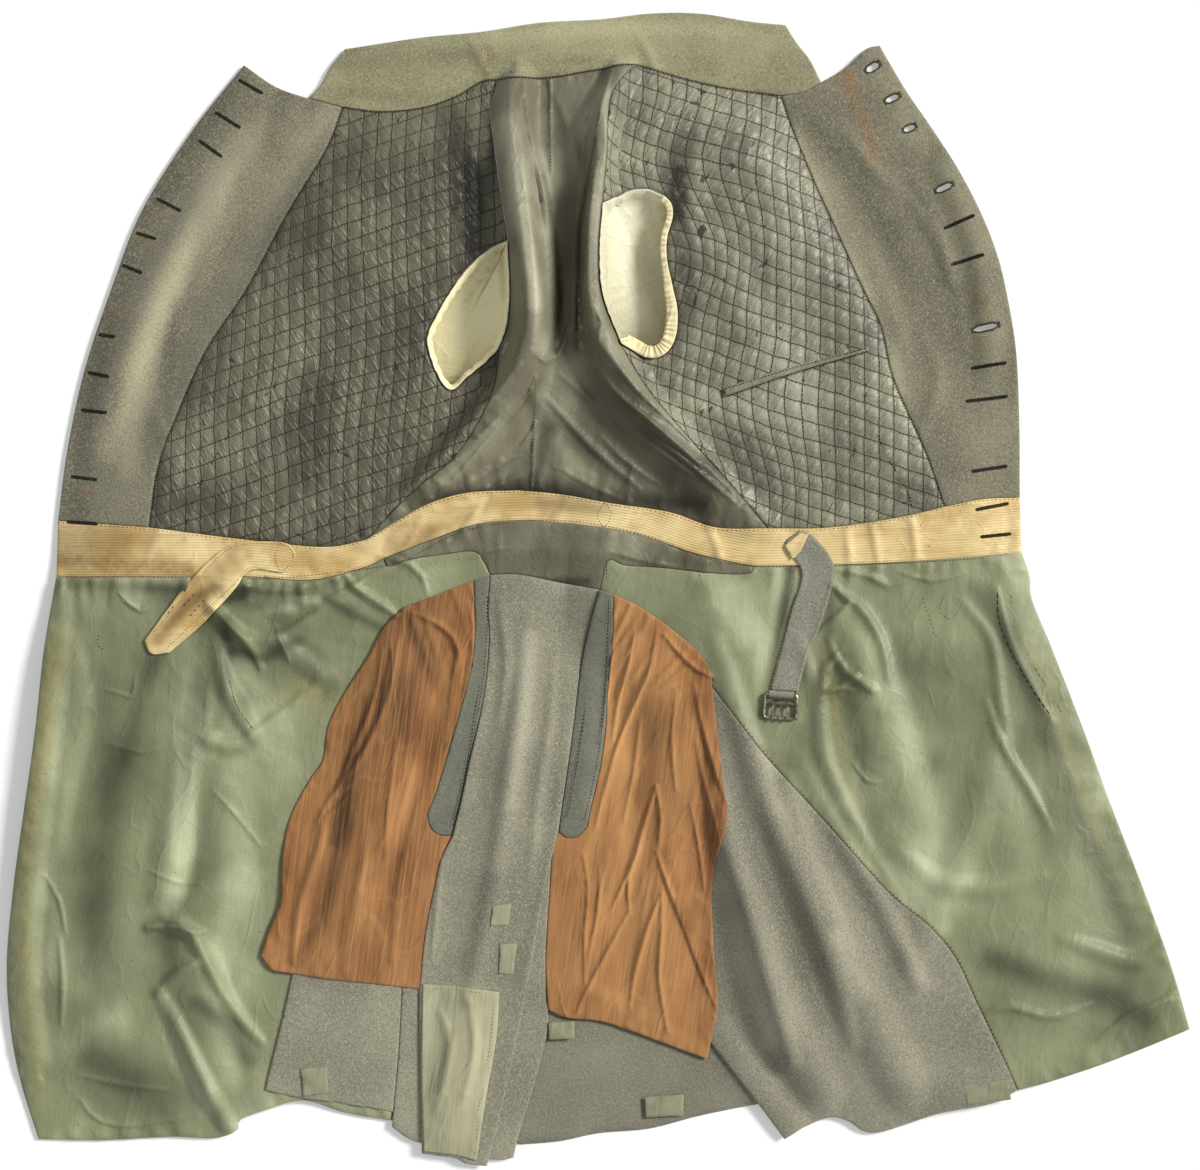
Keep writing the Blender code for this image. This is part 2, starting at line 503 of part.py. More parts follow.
def bed_points():
    """The bends of each fold and the feet beside them, and a staggered grid between the folds."""
    found, crest_lines = [], []
    for crests in FOLD_CRESTS.values():
        spots = np.array([(row.x, row.y) for row in crests], float)
        runs = np.gradient(spots, axis=0)
        left = np.stack([-runs[:, 1], runs[:, 0]], axis=1) / np.linalg.norm(runs, axis=1)[:, None]
        crest_lines += [(len(found) + i, len(found) + i + 1) for i in range(len(spots) - 1)]
        found += list(spots)
        parts = (0.5, 1.0) if max(row.height for row in crests) > TALL_FOLD else (1.0,)
        for part in parts:
            for spot, side, row in zip(spots, left, crests):
                found += [spot + side * row.left * part, spot - side * row.right * part]
    kept = {index for pair in crest_lines for index in pair}
    for index in range(len(found)):
        near = [np.linalg.norm(found[index] - found[other]) for other in kept]
        if index not in kept and min(near) > BED_NEAREST:
            kept.add(index)
    bends = np.array([found[index] for index in sorted(kept)])
    order = {index: place for place, index in enumerate(sorted(kept))}
    across, up = BED_STEP
    grid = []
    for row in range(ceil(-BED_REACH / up), int(BED_REACH / up) + 1):
        for column in range(ceil(-BED_REACH / across), int(BED_REACH / across) + 1):
            spot = np.array([(column + 0.5 * (row % 2)) * across + 0.37, row * up + 0.23])
            if np.min(np.linalg.norm(bends - spot, axis=1)) > GRID_NEAREST:
                grid.append(spot)
    return np.vstack([bends, grid]), [(order[a], order[b]) for a, b in crest_lines]


spots, crest_lines = bed_points()
drawn = delaunay_2d_cdt([Vector(p) for p in spots], crest_lines, [], 0, 1e-3, True)
BED = np.array(drawn[0])
TRIANGLES = np.array(drawn[2])
BED_EDGES = np.array(sorted({tuple(sorted(pair)) for face in TRIANGLES.tolist()
                             for pair in zip(face, face[1:] + face[:1])}))
HEIGHTS = bed(BED)
RISE = [(bed(BED + step) - bed(BED - step)) / 4 for step in ((2.0, 0.0), (0.0, 2.0))]
STEEP = np.minimum(np.sqrt(1 + RISE[0] ** 2 + RISE[1] ** 2), STEEPEST)
CORNER = BED[TRIANGLES[:, 0]]
ALONG = BED[TRIANGLES[:, 1]] - CORNER
ASIDE = BED[TRIANGLES[:, 2]] - CORNER
DOUBLE_AREA = ALONG[:, 0] * ASIDE[:, 1] - ALONG[:, 1] * ASIDE[:, 0]


def shares(points):
    """For each point, the three bed points round it and its share of each."""
    corners, parts = [], []
    for some in np.array_split(points, ceil(len(points) / 64)):
        out = some[:, None, :] - CORNER[None]
        u = (out[:, :, 0] * ASIDE[:, 1] - out[:, :, 1] * ASIDE[:, 0]) / DOUBLE_AREA
        v = (ALONG[:, 0] * out[:, :, 1] - ALONG[:, 1] * out[:, :, 0]) / DOUBLE_AREA
        best = np.argmax(np.minimum(np.minimum(u, v), 1 - u - v), axis=1)
        rows = np.arange(len(some))
        u, v = u[rows, best], v[rows, best]
        corners.append(TRIANGLES[best])
        parts.append(np.stack([1 - u - v, u, v], axis=1))
    return np.vstack(corners), np.vstack(parts)


def lift(points, offsets):
    """Heights above the floor of points that stand off the bed by an offset given at each bed point."""
    corners, parts = shares(points)
    return np.sum((HEIGHTS + offsets * STEEP)[corners] * parts, axis=1)


def base_of(panel):
    if panel.base == panel.base_low:
        return np.full(len(BED), float(panel.base))
    top, foot = (RAMP_TOP, RAMP_FOOT) if panel.name == "tail" else (BAG_RAMP_TOP, BAG_RAMP_FOOT)
    share = np.clip((BED[:, 1] - top) / (foot - top), 0, 1)
    return panel.base + share * (panel.base_low - panel.base)


def cut(loop, holes, dots, lines):
    """A flat pattern inside a loop, split along lines between dots: its points and triangles."""
    low, high = loop.min(axis=0) - BED_MARGIN, loop.max(axis=0) + BED_MARGIN
    kept = np.all((dots > low) & (dots < high), axis=1)
    place = np.cumsum(kept) - 1
    both = kept[lines[:, 0]] & kept[lines[:, 1]]
    points = [Vector(p) for p in dots[kept]]
    edges = [(int(a), int(b)) for a, b in place[lines[both]]]
    faces = []
    for ring in [loop, *holes]:
        faces.append(list(range(len(points), len(points) + len(ring))))
        points += [Vector(p) for p in ring]
    found = delaunay_2d_cdt(points, edges, faces, 0, 1e-3, True)
    inside = [face for face, source in zip(found[2], found[5]) if list(source) == [0]]
    used = sorted({v for face in inside for v in face})
    order = {v: i for i, v in enumerate(used)}
    flat = np.array([found[0][v] for v in used])
    return flat, [[order[v] for v in face] for face in inside]


def rim(faces):
    """The edges that only one triangle has, each in that triangle's direction."""
    seen = {}
    for face in faces:
        for a, b in zip(face, face[1:] + face[:1]):
            seen[(a, b)] = True
    return [(a, b) for a, b in seen if (b, a) not in seen]


def close(flat, faces, low, high):
    """The points and faces of a wall between two heights of one pattern."""
    count = len(flat)
    points = [(*p, z) for p, z in zip(flat, low)] + [(*p, z) for p, z in zip(flat, high)]
    walls = [(a, b, b + count, a + count) for a, b in rim(faces)]
    roof = [[v + count for v in face] for face in faces]
    return points, [face[::-1] for face in faces] + roof + walls


def lay(panel):
    loop = outline(panel.edges)
    holes = [slit_loop(slit) for slit in SLITS] if panel.name in ("facing_left", "forepart_left") else []
    flat, faces = cut(loop, holes, BED, BED_EDGES)
    base = base_of(panel)
    points, faces = close(flat, faces, lift(flat, base), lift(flat, base + panel.thick))
    return make(panel.name, points, faces, panel.colour, panel.roughness)


def lattice(loop, rise):
    """Stitch lines over a quilt: their crossings, the cells' middles and the lines between crossings."""
    low, high = loop.min(axis=0), loop.max(axis=0)
    columns = range(int(low[0] / QUILT_ACROSS) - 1, int(high[0] / QUILT_ACROSS) + 2)
    lean = max(abs(rise * low[0]), abs(rise * high[0]))
    rows = range(int((low[1] - lean) / QUILT_DOWN) - 1, int((high[1] + lean) / QUILT_DOWN) + 2)
    order = {(c, r): i for i, (c, r) in enumerate((c, r) for c in columns for r in rows)}
    dots = np.array([(c * QUILT_ACROSS, r * QUILT_DOWN + rise * c * QUILT_ACROSS) for c, r in order])
    lines = [(i, order[near]) for (c, r), i in order.items()
             for near in ((c + 1, r), (c, r + 1)) if near in order]
    middles = dots + (QUILT_ACROSS / 2, QUILT_DOWN / 2 + rise * QUILT_ACROSS / 2)
    return np.vstack([dots, middles]), np.array(lines), len(dots)


def on_rim(flat, faces, loop):
    """How far round the loop each rim point lies."""
    ends = np.roll(loop, -1, axis=0) - loop
    found = {}
    for index in {v for edge in rim(faces) for v in edge}:
        out = flat[index] - loop
        share = np.clip(np.sum(out * ends, axis=1) / np.sum(ends * ends, axis=1), 0, 1)
        away = np.linalg.norm(out - share[:, None] * ends, axis=1)
        side = int(np.argmin(away))
        found[round(side + share[side], 5) % len(loop)] = flat[index]
    return found


def pad(quilt):
    """A padded panel: its underside follows the bed and its top is raised between the stitch lines."""
    loop = outline(quilt.edges)
    dots, lines, crossings = lattice(loop, quilt.rise)
    places = {}
    for pattern in (cut(loop, [], BED, BED_EDGES), cut(loop, [], dots, lines)):
        places.update(on_rim(*pattern, loop))
    full = [places[key] for key in sorted(places)]
    full = np.array([p for p, q in zip(full, full[1:] + full[:1]) if np.linalg.norm(p - q) > 0.02])
    flat, faces = cut(full, [], BED, BED_EDGES)
    top, top_faces = cut(full, [], dots, lines)
    under = lift(flat, np.full(len(BED), FIRST))
    over = lift(top, np.full(len(BED), ON_WOOL - SEAM_GAP))
    fixed = {v for edge in rim(top_faces) for v in edge}
    for index, point in enumerate(top):
        near = np.min(np.linalg.norm(dots[crossings:] - point, axis=1))
        if index not in fixed and near < 0.01:
            over[index] += QUILT_PUFF
    triangles = np.array(top_faces)
    marks = np.vstack([BED, *[BED[BED_EDGES[:, 0]] * (1 - t) + BED[BED_EDGES[:, 1]] * t
                              for t in (0.25, 0.5, 0.75)]])
    marks = marks[np.all((marks > loop.min(axis=0)) & (marks < loop.max(axis=0)), axis=1)]
    least = lift(marks, np.full(len(BED), FIRST + 1.3))
    corner = top[triangles[:, 0]]
    along, aside = top[triangles[:, 1]] - corner, top[triangles[:, 2]] - corner
    double = along[:, 0] * aside[:, 1] - along[:, 1] * aside[:, 0]
    for mark, floor in zip(marks, least):
        out = mark - corner
        u = (out[:, 0] * aside[:, 1] - out[:, 1] * aside[:, 0]) / double
        v = (along[:, 0] * out[:, 1] - along[:, 1] * out[:, 0]) / double
        inner = np.minimum(np.minimum(u, v), 1 - u - v)
        best = int(np.argmax(inner))
        if inner[best] < -1e-6:
            continue
        held = triangles[best]
        short = floor - over[held] @ np.array([1 - u[best] - v[best], u[best], v[best]])
        if short > 0:
            free = [v for v in held if v not in fixed]
            over[free] += 2.2 * short
    count = len(flat)
    ring = {tuple(np.round(flat[v], 2)): v for edge in rim(faces) for v in edge}
    points = [(*p, z) for p, z in zip(flat, under)] + [(*p, z) for p, z in zip(top, over)]
    roof = [[v + count for v in face] for face in top_faces]
    walls = []
    for a, b in rim(top_faces):
        foot = [min(ring.values(), key=lambda v: np.hypot(*(flat[v] - top[end]))) for end in (a, b)]
        walls.append((foot[0], foot[1], b + count, a + count))
    return make(quilt.name, points, [face[::-1] for face in faces] + roof + walls, GREY_SATIN, 0.40)


def tube(rings, inner):
    """The faces and points of a wall between two tubes of matching rings, open at both ends."""
    rows, around = len(rings), len(rings[0])
    points = [p for ring in rings for p in ring] + [p for ring in inner for p in ring]
    shift = rows * around
    faces = []
    for i in range(around):
        j = (i + 1) % around
        for row in range(rows - 1):
            a, b, c, d = (row * around + i, row * around + j, (row + 1) * around + j,
                          (row + 1) * around + i)
            faces += [(a, b, c), (a, c, d)]
            faces += [(c + shift, b + shift, a + shift), (d + shift, c + shift, a + shift)]
        faces.append((j, i, i + shift, j + shift))
        end = (rows - 1) * around
        faces.append((end + i, end + j, end + j + shift, end + i + shift))
    return points, faces


def armhole_loop(side):
    """The points round an armhole, with the angle of each from the side away from the cuff."""
    hole = np.vstack([seam("armhole_" + side)[:-1], seam("-back_" + side + "_hole")[:-1]])
    hole = hole if signed_area(hole) > 0 else hole[::-1]
    line = sleeve_line(side)
    run = (line[4] - line[0]) / np.linalg.norm(line[4] - line[0])
    across = np.array([run[1], -run[0]])
    out = hole - hole.mean(axis=0)
    return hole, np.arctan2(out @ run, out @ across)


def sleeve_rings(side, gap, count):
    """Rings of a sleeve, a gap inside its outside. From the armhole it bends below the coat and lies flat."""
    loop, angles = armhole_loop(side)
    loop = inset(loop, gap)
    line = sleeve_line(side)
    steps = np.arange(len(line)) * 15.0
    sections = []
    for row in SECTIONS[1:count]:
        centre, ahead, behind = [
            np.array([np.interp(row.down + step, steps, line[:, axis]) for axis in (0, 1)])
            for step in (0, 20, -20)]
        run = (ahead - behind) / np.linalg.norm(ahead - behind)
        across = np.array([run[1], -run[0]])
        up = np.clip(np.sin(angles) / 0.82, -1, 1)
        share = 0.5 + 0.5 * np.sign(up) * np.abs(up) ** 0.7
        place = centre + np.outer((row.half_width - gap) * np.cos(angles), across)
        sections.append(np.column_stack([place, gap + (row.height - 2 * gap) * share]))
    rim_height = lift(loop, np.zeros(len(BED))) - RIM_DROP
    first = sections[0]
    start = np.column_stack([loop, rim_height])
    bend = np.column_stack([loop, np.minimum(first[:, 2], rim_height - SLEEVE_CLEAR)])
    rings = [start * (1 - t) ** 2 + bend * 2 * t * (1 - t) + first * t * t for t in (0, 0.22, 0.45, 0.7)]
    rings += sections
    for ring in rings[1:]:
        ring[:, 2] = np.minimum(ring[:, 2], lift(ring[:, :2], np.zeros(len(BED))) - SLEEVE_CLEAR - gap)
    return rings


def sleeve(side):
    points, faces = tube(sleeve_rings(side, 0, None), sleeve_rings(side, WOOL, None))
    make("sleeve_" + side, points, faces, FIELD_GREY, 0.95, smooth=True)
    walls = []
    for lip_gap, gap in ((0.5, WOOL + LINING_EASE), (0.5 + COTTON, WOOL + LINING_EASE + COTTON)):
        edge = inset(armhole_loop(side)[0], lip_gap)
        lip = np.column_stack([edge, lift(edge, np.full(len(BED), ON_WOOL))])
        walls.append([lip, *sleeve_rings(side, gap, LINING_SECTIONS)])
    points, faces = tube(*walls)
    make("sleeve_lining_" + side, points, faces, CREAM_SATEEN, 0.45, smooth=True)


def turned(points, origin, turn, tilt):
    """Points of a small piece, tilted about X, turned about Z and moved to its place."""
    move = Matrix.Translation(origin) @ Matrix.Rotation(turn, 4, "Z") @ Matrix.Rotation(tilt, 4, "X")
    return [tuple(move @ Vector(p)) for p in points]


def wire_loop(wide, tall, corner, radius, sides=8):
    """A round wire bent into a rounded rectangle, its top run along y = 0."""
    centres = []
    for x, y, start in ((1, 0, 0), (-1, 0, 90), (-1, -1, 180), (1, -1, 270)):
        middle = (x * (wide / 2 - radius - corner), y * (tall - 2 * radius - 2 * corner) - corner)
        for step in range(4):
            angle = radians(start + 30 * step)
            out = (cos(angle), sin(angle))
            centres.append(((middle[0] + corner * out[0], middle[1] + corner * out[1]), out))
    points = []
    for (x, y), out in centres:
        for side in range(sides):
            angle = 2 * pi * side / sides
            reach = radius * cos(angle)
            points.append((x + reach * out[0], y + reach * out[1], radius * sin(angle)))
    count = len(centres)
    faces = [(i * sides + s, ((i + 1) % count) * sides + s,
              ((i + 1) % count) * sides + (s + 1) % sides, i * sides + (s + 1) % sides)
             for i in range(count) for s in range(sides)]
    return points, faces


def rod(half, y, radius, sides=10):
    """A round rod along X with flat ends."""
    points = [(x, y + radius * cos(2 * pi * s / sides), radius * sin(2 * pi * s / sides))
              for x in (-half, half) for s in range(sides)]
    walls = [(s, (s + 1) % sides, sides + (s + 1) % sides, sides + s) for s in range(sides)]
    return points, walls + [tuple(range(sides)), tuple(range(2 * sides - 1, sides - 1, -1))]


def pipe(half, inner, outer, sides=14):
    """A short pipe along X round the origin."""
    rings = [[(x, radius * cos(2 * pi * s / sides), radius * sin(2 * pi * s / sides))
              for s in range(sides)] for x, radius in ((-half, outer), (half, outer))]
    bores = [[(x, radius * cos(2 * pi * s / sides), radius * sin(2 * pi * s / sides))
              for s in range(sides)] for x, radius in ((-half, inner), (half, inner))]
    return tube(rings, bores)


def joined(name, target, cutter_points, cutter_faces):
    """Adds a shape to a body, with a hidden object that the union reads."""
    helper = make(name, cutter_points, cutter_faces, NICKEL, 0.3, metallic=1.0)
    helper.hide_render = True
    helper.display_type = "WIRE"
    union = target.modifiers.new(name, "BOOLEAN")
    union.operation = "UNION"
    union.solver = "EXACT"
    union.object = helper
    return helper


for thing in list(bpy.data.objects):
    bpy.data.objects.remove(thing, do_unlink=True)

for row in PANELS:
    lay(row)
for row in QUILTS:
    pad(row)
for side in SLEEVE_LINES:
    sleeve(side)

turn = radians(BUCKLE_TURN)
foot = np.array(BUCKLE_AT) + [(x * cos(turn) - y * sin(turn), x * sin(turn) + y * cos(turn))
                              for x in (-16, 0, 16) for y in (4, -6, -14, -24)]
seat = float(np.max(lift(foot, np.full(len(BED), FIRST + SATIN))))
loop_inner = BUCKLE_WIRE + HINGE_GAP
rail_high = seat + HINGE_GAP + LOOP_THICK + loop_inner
low_high = seat + HINGE_GAP + BUCKLE_WIRE
inner_tall = BUCKLE_TALL - 2 * BUCKLE_WIRE
tilt = np.arctan2(rail_high - low_high, inner_tall)
origin = (*BUCKLE_AT, rail_high)

points, faces = pipe(LOOP_WIDE / 2, loop_inner, loop_inner + LOOP_THICK)
make("strap_loop", turned(points, origin, turn, 0), faces, BLUE_GREY, 0.9, smooth=True)

points, faces = wire_loop(BUCKLE_WIDE, BUCKLE_TALL, BUCKLE_CORNER, BUCKLE_WIRE)
frame = make("buckle_frame", points, faces, NICKEL, 0.3, smooth=True, metallic=1.0)
points, faces = rod(BUCKLE_WIDE / 2 - BUCKLE_WIRE, -BAR_DOWN, BAR_RADIUS)
helpers = [joined("bar_shape", frame, points, faces)]

sleeve_inner = BAR_RADIUS + HINGE_GAP
sleeve_outer = sleeve_inner + 1.0
points, faces = pipe(PRONG_SPREAD + PRONG_WIDE, sleeve_inner, sleeve_outer)
prongs = make("buckle_prongs", points, faces, NICKEL, 0.3, smooth=True, metallic=1.0)
reach = inner_tall - BAR_DOWN
for number in (-1, 0, 1):
    x, half = number * PRONG_SPREAD, PRONG_WIDE / 2
    rest = BUCKLE_WIRE + HINGE_GAP
    side_view = ((-sleeve_inner - 0.3, 0.6), (-reach + 3, rest), (-reach - 1.4, rest),
                 (-reach - 1.4, rest + PRONG_THICK), (-reach + 3, rest + PRONG_THICK),
                 (-sleeve_inner - 0.3, 1.6))
    count = len(side_view)
    points = [(x + s * half, y, z) for s in (-1, 1) for y, z in side_view]
    walls = [(i, (i + 1) % count, count + (i + 1) % count, count + i) for i in range(count)]
    faces = walls + [tuple(range(count)), tuple(range(2 * count - 1, count - 1, -1))]
    helpers.append(joined("prong_shape_" + str(number + 2), prongs, points, faces))

place = Matrix.Translation([MM * v for v in origin]) @ Matrix.Rotation(turn, 4, "Z")
place = place @ Matrix.Rotation(tilt, 4, "X")
frame.matrix_world = place
helpers[0].matrix_world = place
for thing in [prongs, *helpers[1:]]:
    thing.matrix_world = place @ Matrix.Translation((0, -MM * BAR_DOWN, 0))

bpy.context.view_layer.update()
shown = [thing for thing in bpy.data.objects if not thing.hide_render]
corners = np.array([thing.matrix_world @ Vector(c) for thing in shown for c in thing.bound_box])
low, high = corners.min(axis=0), corners.max(axis=0)
shift = Matrix.Translation((-(low[0] + high[0]) / 2, -(low[1] + high[1]) / 2, -low[2]))
for thing in bpy.data.objects:
    thing.matrix_world = shift @ thing.matrix_world
bpy.context.view_layer.update()
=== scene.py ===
"""The dressed coat: fine cloth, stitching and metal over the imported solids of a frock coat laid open.

Lengths in the tables are millimetres in the plane of the floor, the same values as the solids were cut from.
"""

from collections import namedtuple
from math import cos, pi, radians, sin

import bpy
import numpy as np
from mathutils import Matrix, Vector, noise
from mathutils.geometry import delaunay_2d_cdt

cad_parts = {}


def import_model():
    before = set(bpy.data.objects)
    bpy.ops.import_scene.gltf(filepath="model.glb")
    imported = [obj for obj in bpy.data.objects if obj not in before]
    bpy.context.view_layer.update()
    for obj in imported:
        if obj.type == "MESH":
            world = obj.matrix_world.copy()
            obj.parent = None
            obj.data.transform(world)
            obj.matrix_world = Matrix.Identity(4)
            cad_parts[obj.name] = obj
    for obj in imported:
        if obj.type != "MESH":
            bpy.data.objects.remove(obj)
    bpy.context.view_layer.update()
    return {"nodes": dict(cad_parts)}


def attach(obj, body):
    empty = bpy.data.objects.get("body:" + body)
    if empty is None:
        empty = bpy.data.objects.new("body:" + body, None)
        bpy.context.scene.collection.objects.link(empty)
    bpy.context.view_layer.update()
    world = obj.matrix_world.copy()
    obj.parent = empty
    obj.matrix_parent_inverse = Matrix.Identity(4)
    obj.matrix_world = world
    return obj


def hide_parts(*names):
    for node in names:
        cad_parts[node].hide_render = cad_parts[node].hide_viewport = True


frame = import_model()

# The solids lie SHIFT away from the tables' places, because their box is centred on the floor.
# TABLE_ZERO is the pixel of the photograph where the tables have their zero, from its top left corner
MM = 0.001
SHIFT = np.array([0.03, -0.31])
PIXEL_SIZE = 0.87
PHOTO_WIDE, PHOTO_TALL = 1200, 1170
TABLE_ZERO = (598.5, 589.5)

# Walls of cloth, and how far the underside of each layer stands off the bed
SEAM_GAP = 0.3
WOOL = 2.0
SATIN = 1.2
COTTON = 1.0
RIBBON = 1.6
FIRST = WOOL + SEAM_GAP
SECOND = FIRST + SATIN + SEAM_GAP
ON_WOOL = FIRST + WOOL + SEAM_GAP
THIRD = SECOND + WOOL + SEAM_GAP
FOURTH = THIRD + WOOL + SEAM_GAP

# How far the top of each layer stands off the bed, for what is sewn on it
TOP_SATIN = FIRST + SATIN
TOP_WOOL = FIRST + WOOL
TOP_WELT = ON_WOOL + WOOL
LOW_WOOL = SECOND + WOOL
TAIL_TOP = THIRD + WOOL
STRAP_TOP = ON_WOOL + RIBBON
QUILT_BACKING = 1.1
QUILT_TOP = FIRST + 1.7
PATCH_TOP = FOURTH + COTTON

# How far apart the points of a panel lie
FINE = 4.0
CRISP = 2.0
SMOOTH = 2.8
BROAD = 3.2
MIDDLE = 5.0
COARSE = 9.0

# Points that follow the narrow creases, and the largest factor by which a slope raises a layer
CREASE_STEP = 2.0
CREASE_CELL = 1.3
NARROW_CREASE = 12
DOT_CLEAR = 1.9
STEEPEST = 2.6

QUILT_ACROSS = 12.8
QUILT_DOWN = 15.0
QUILT_RISE = 0.34
QUILT_PUFF = 1.8

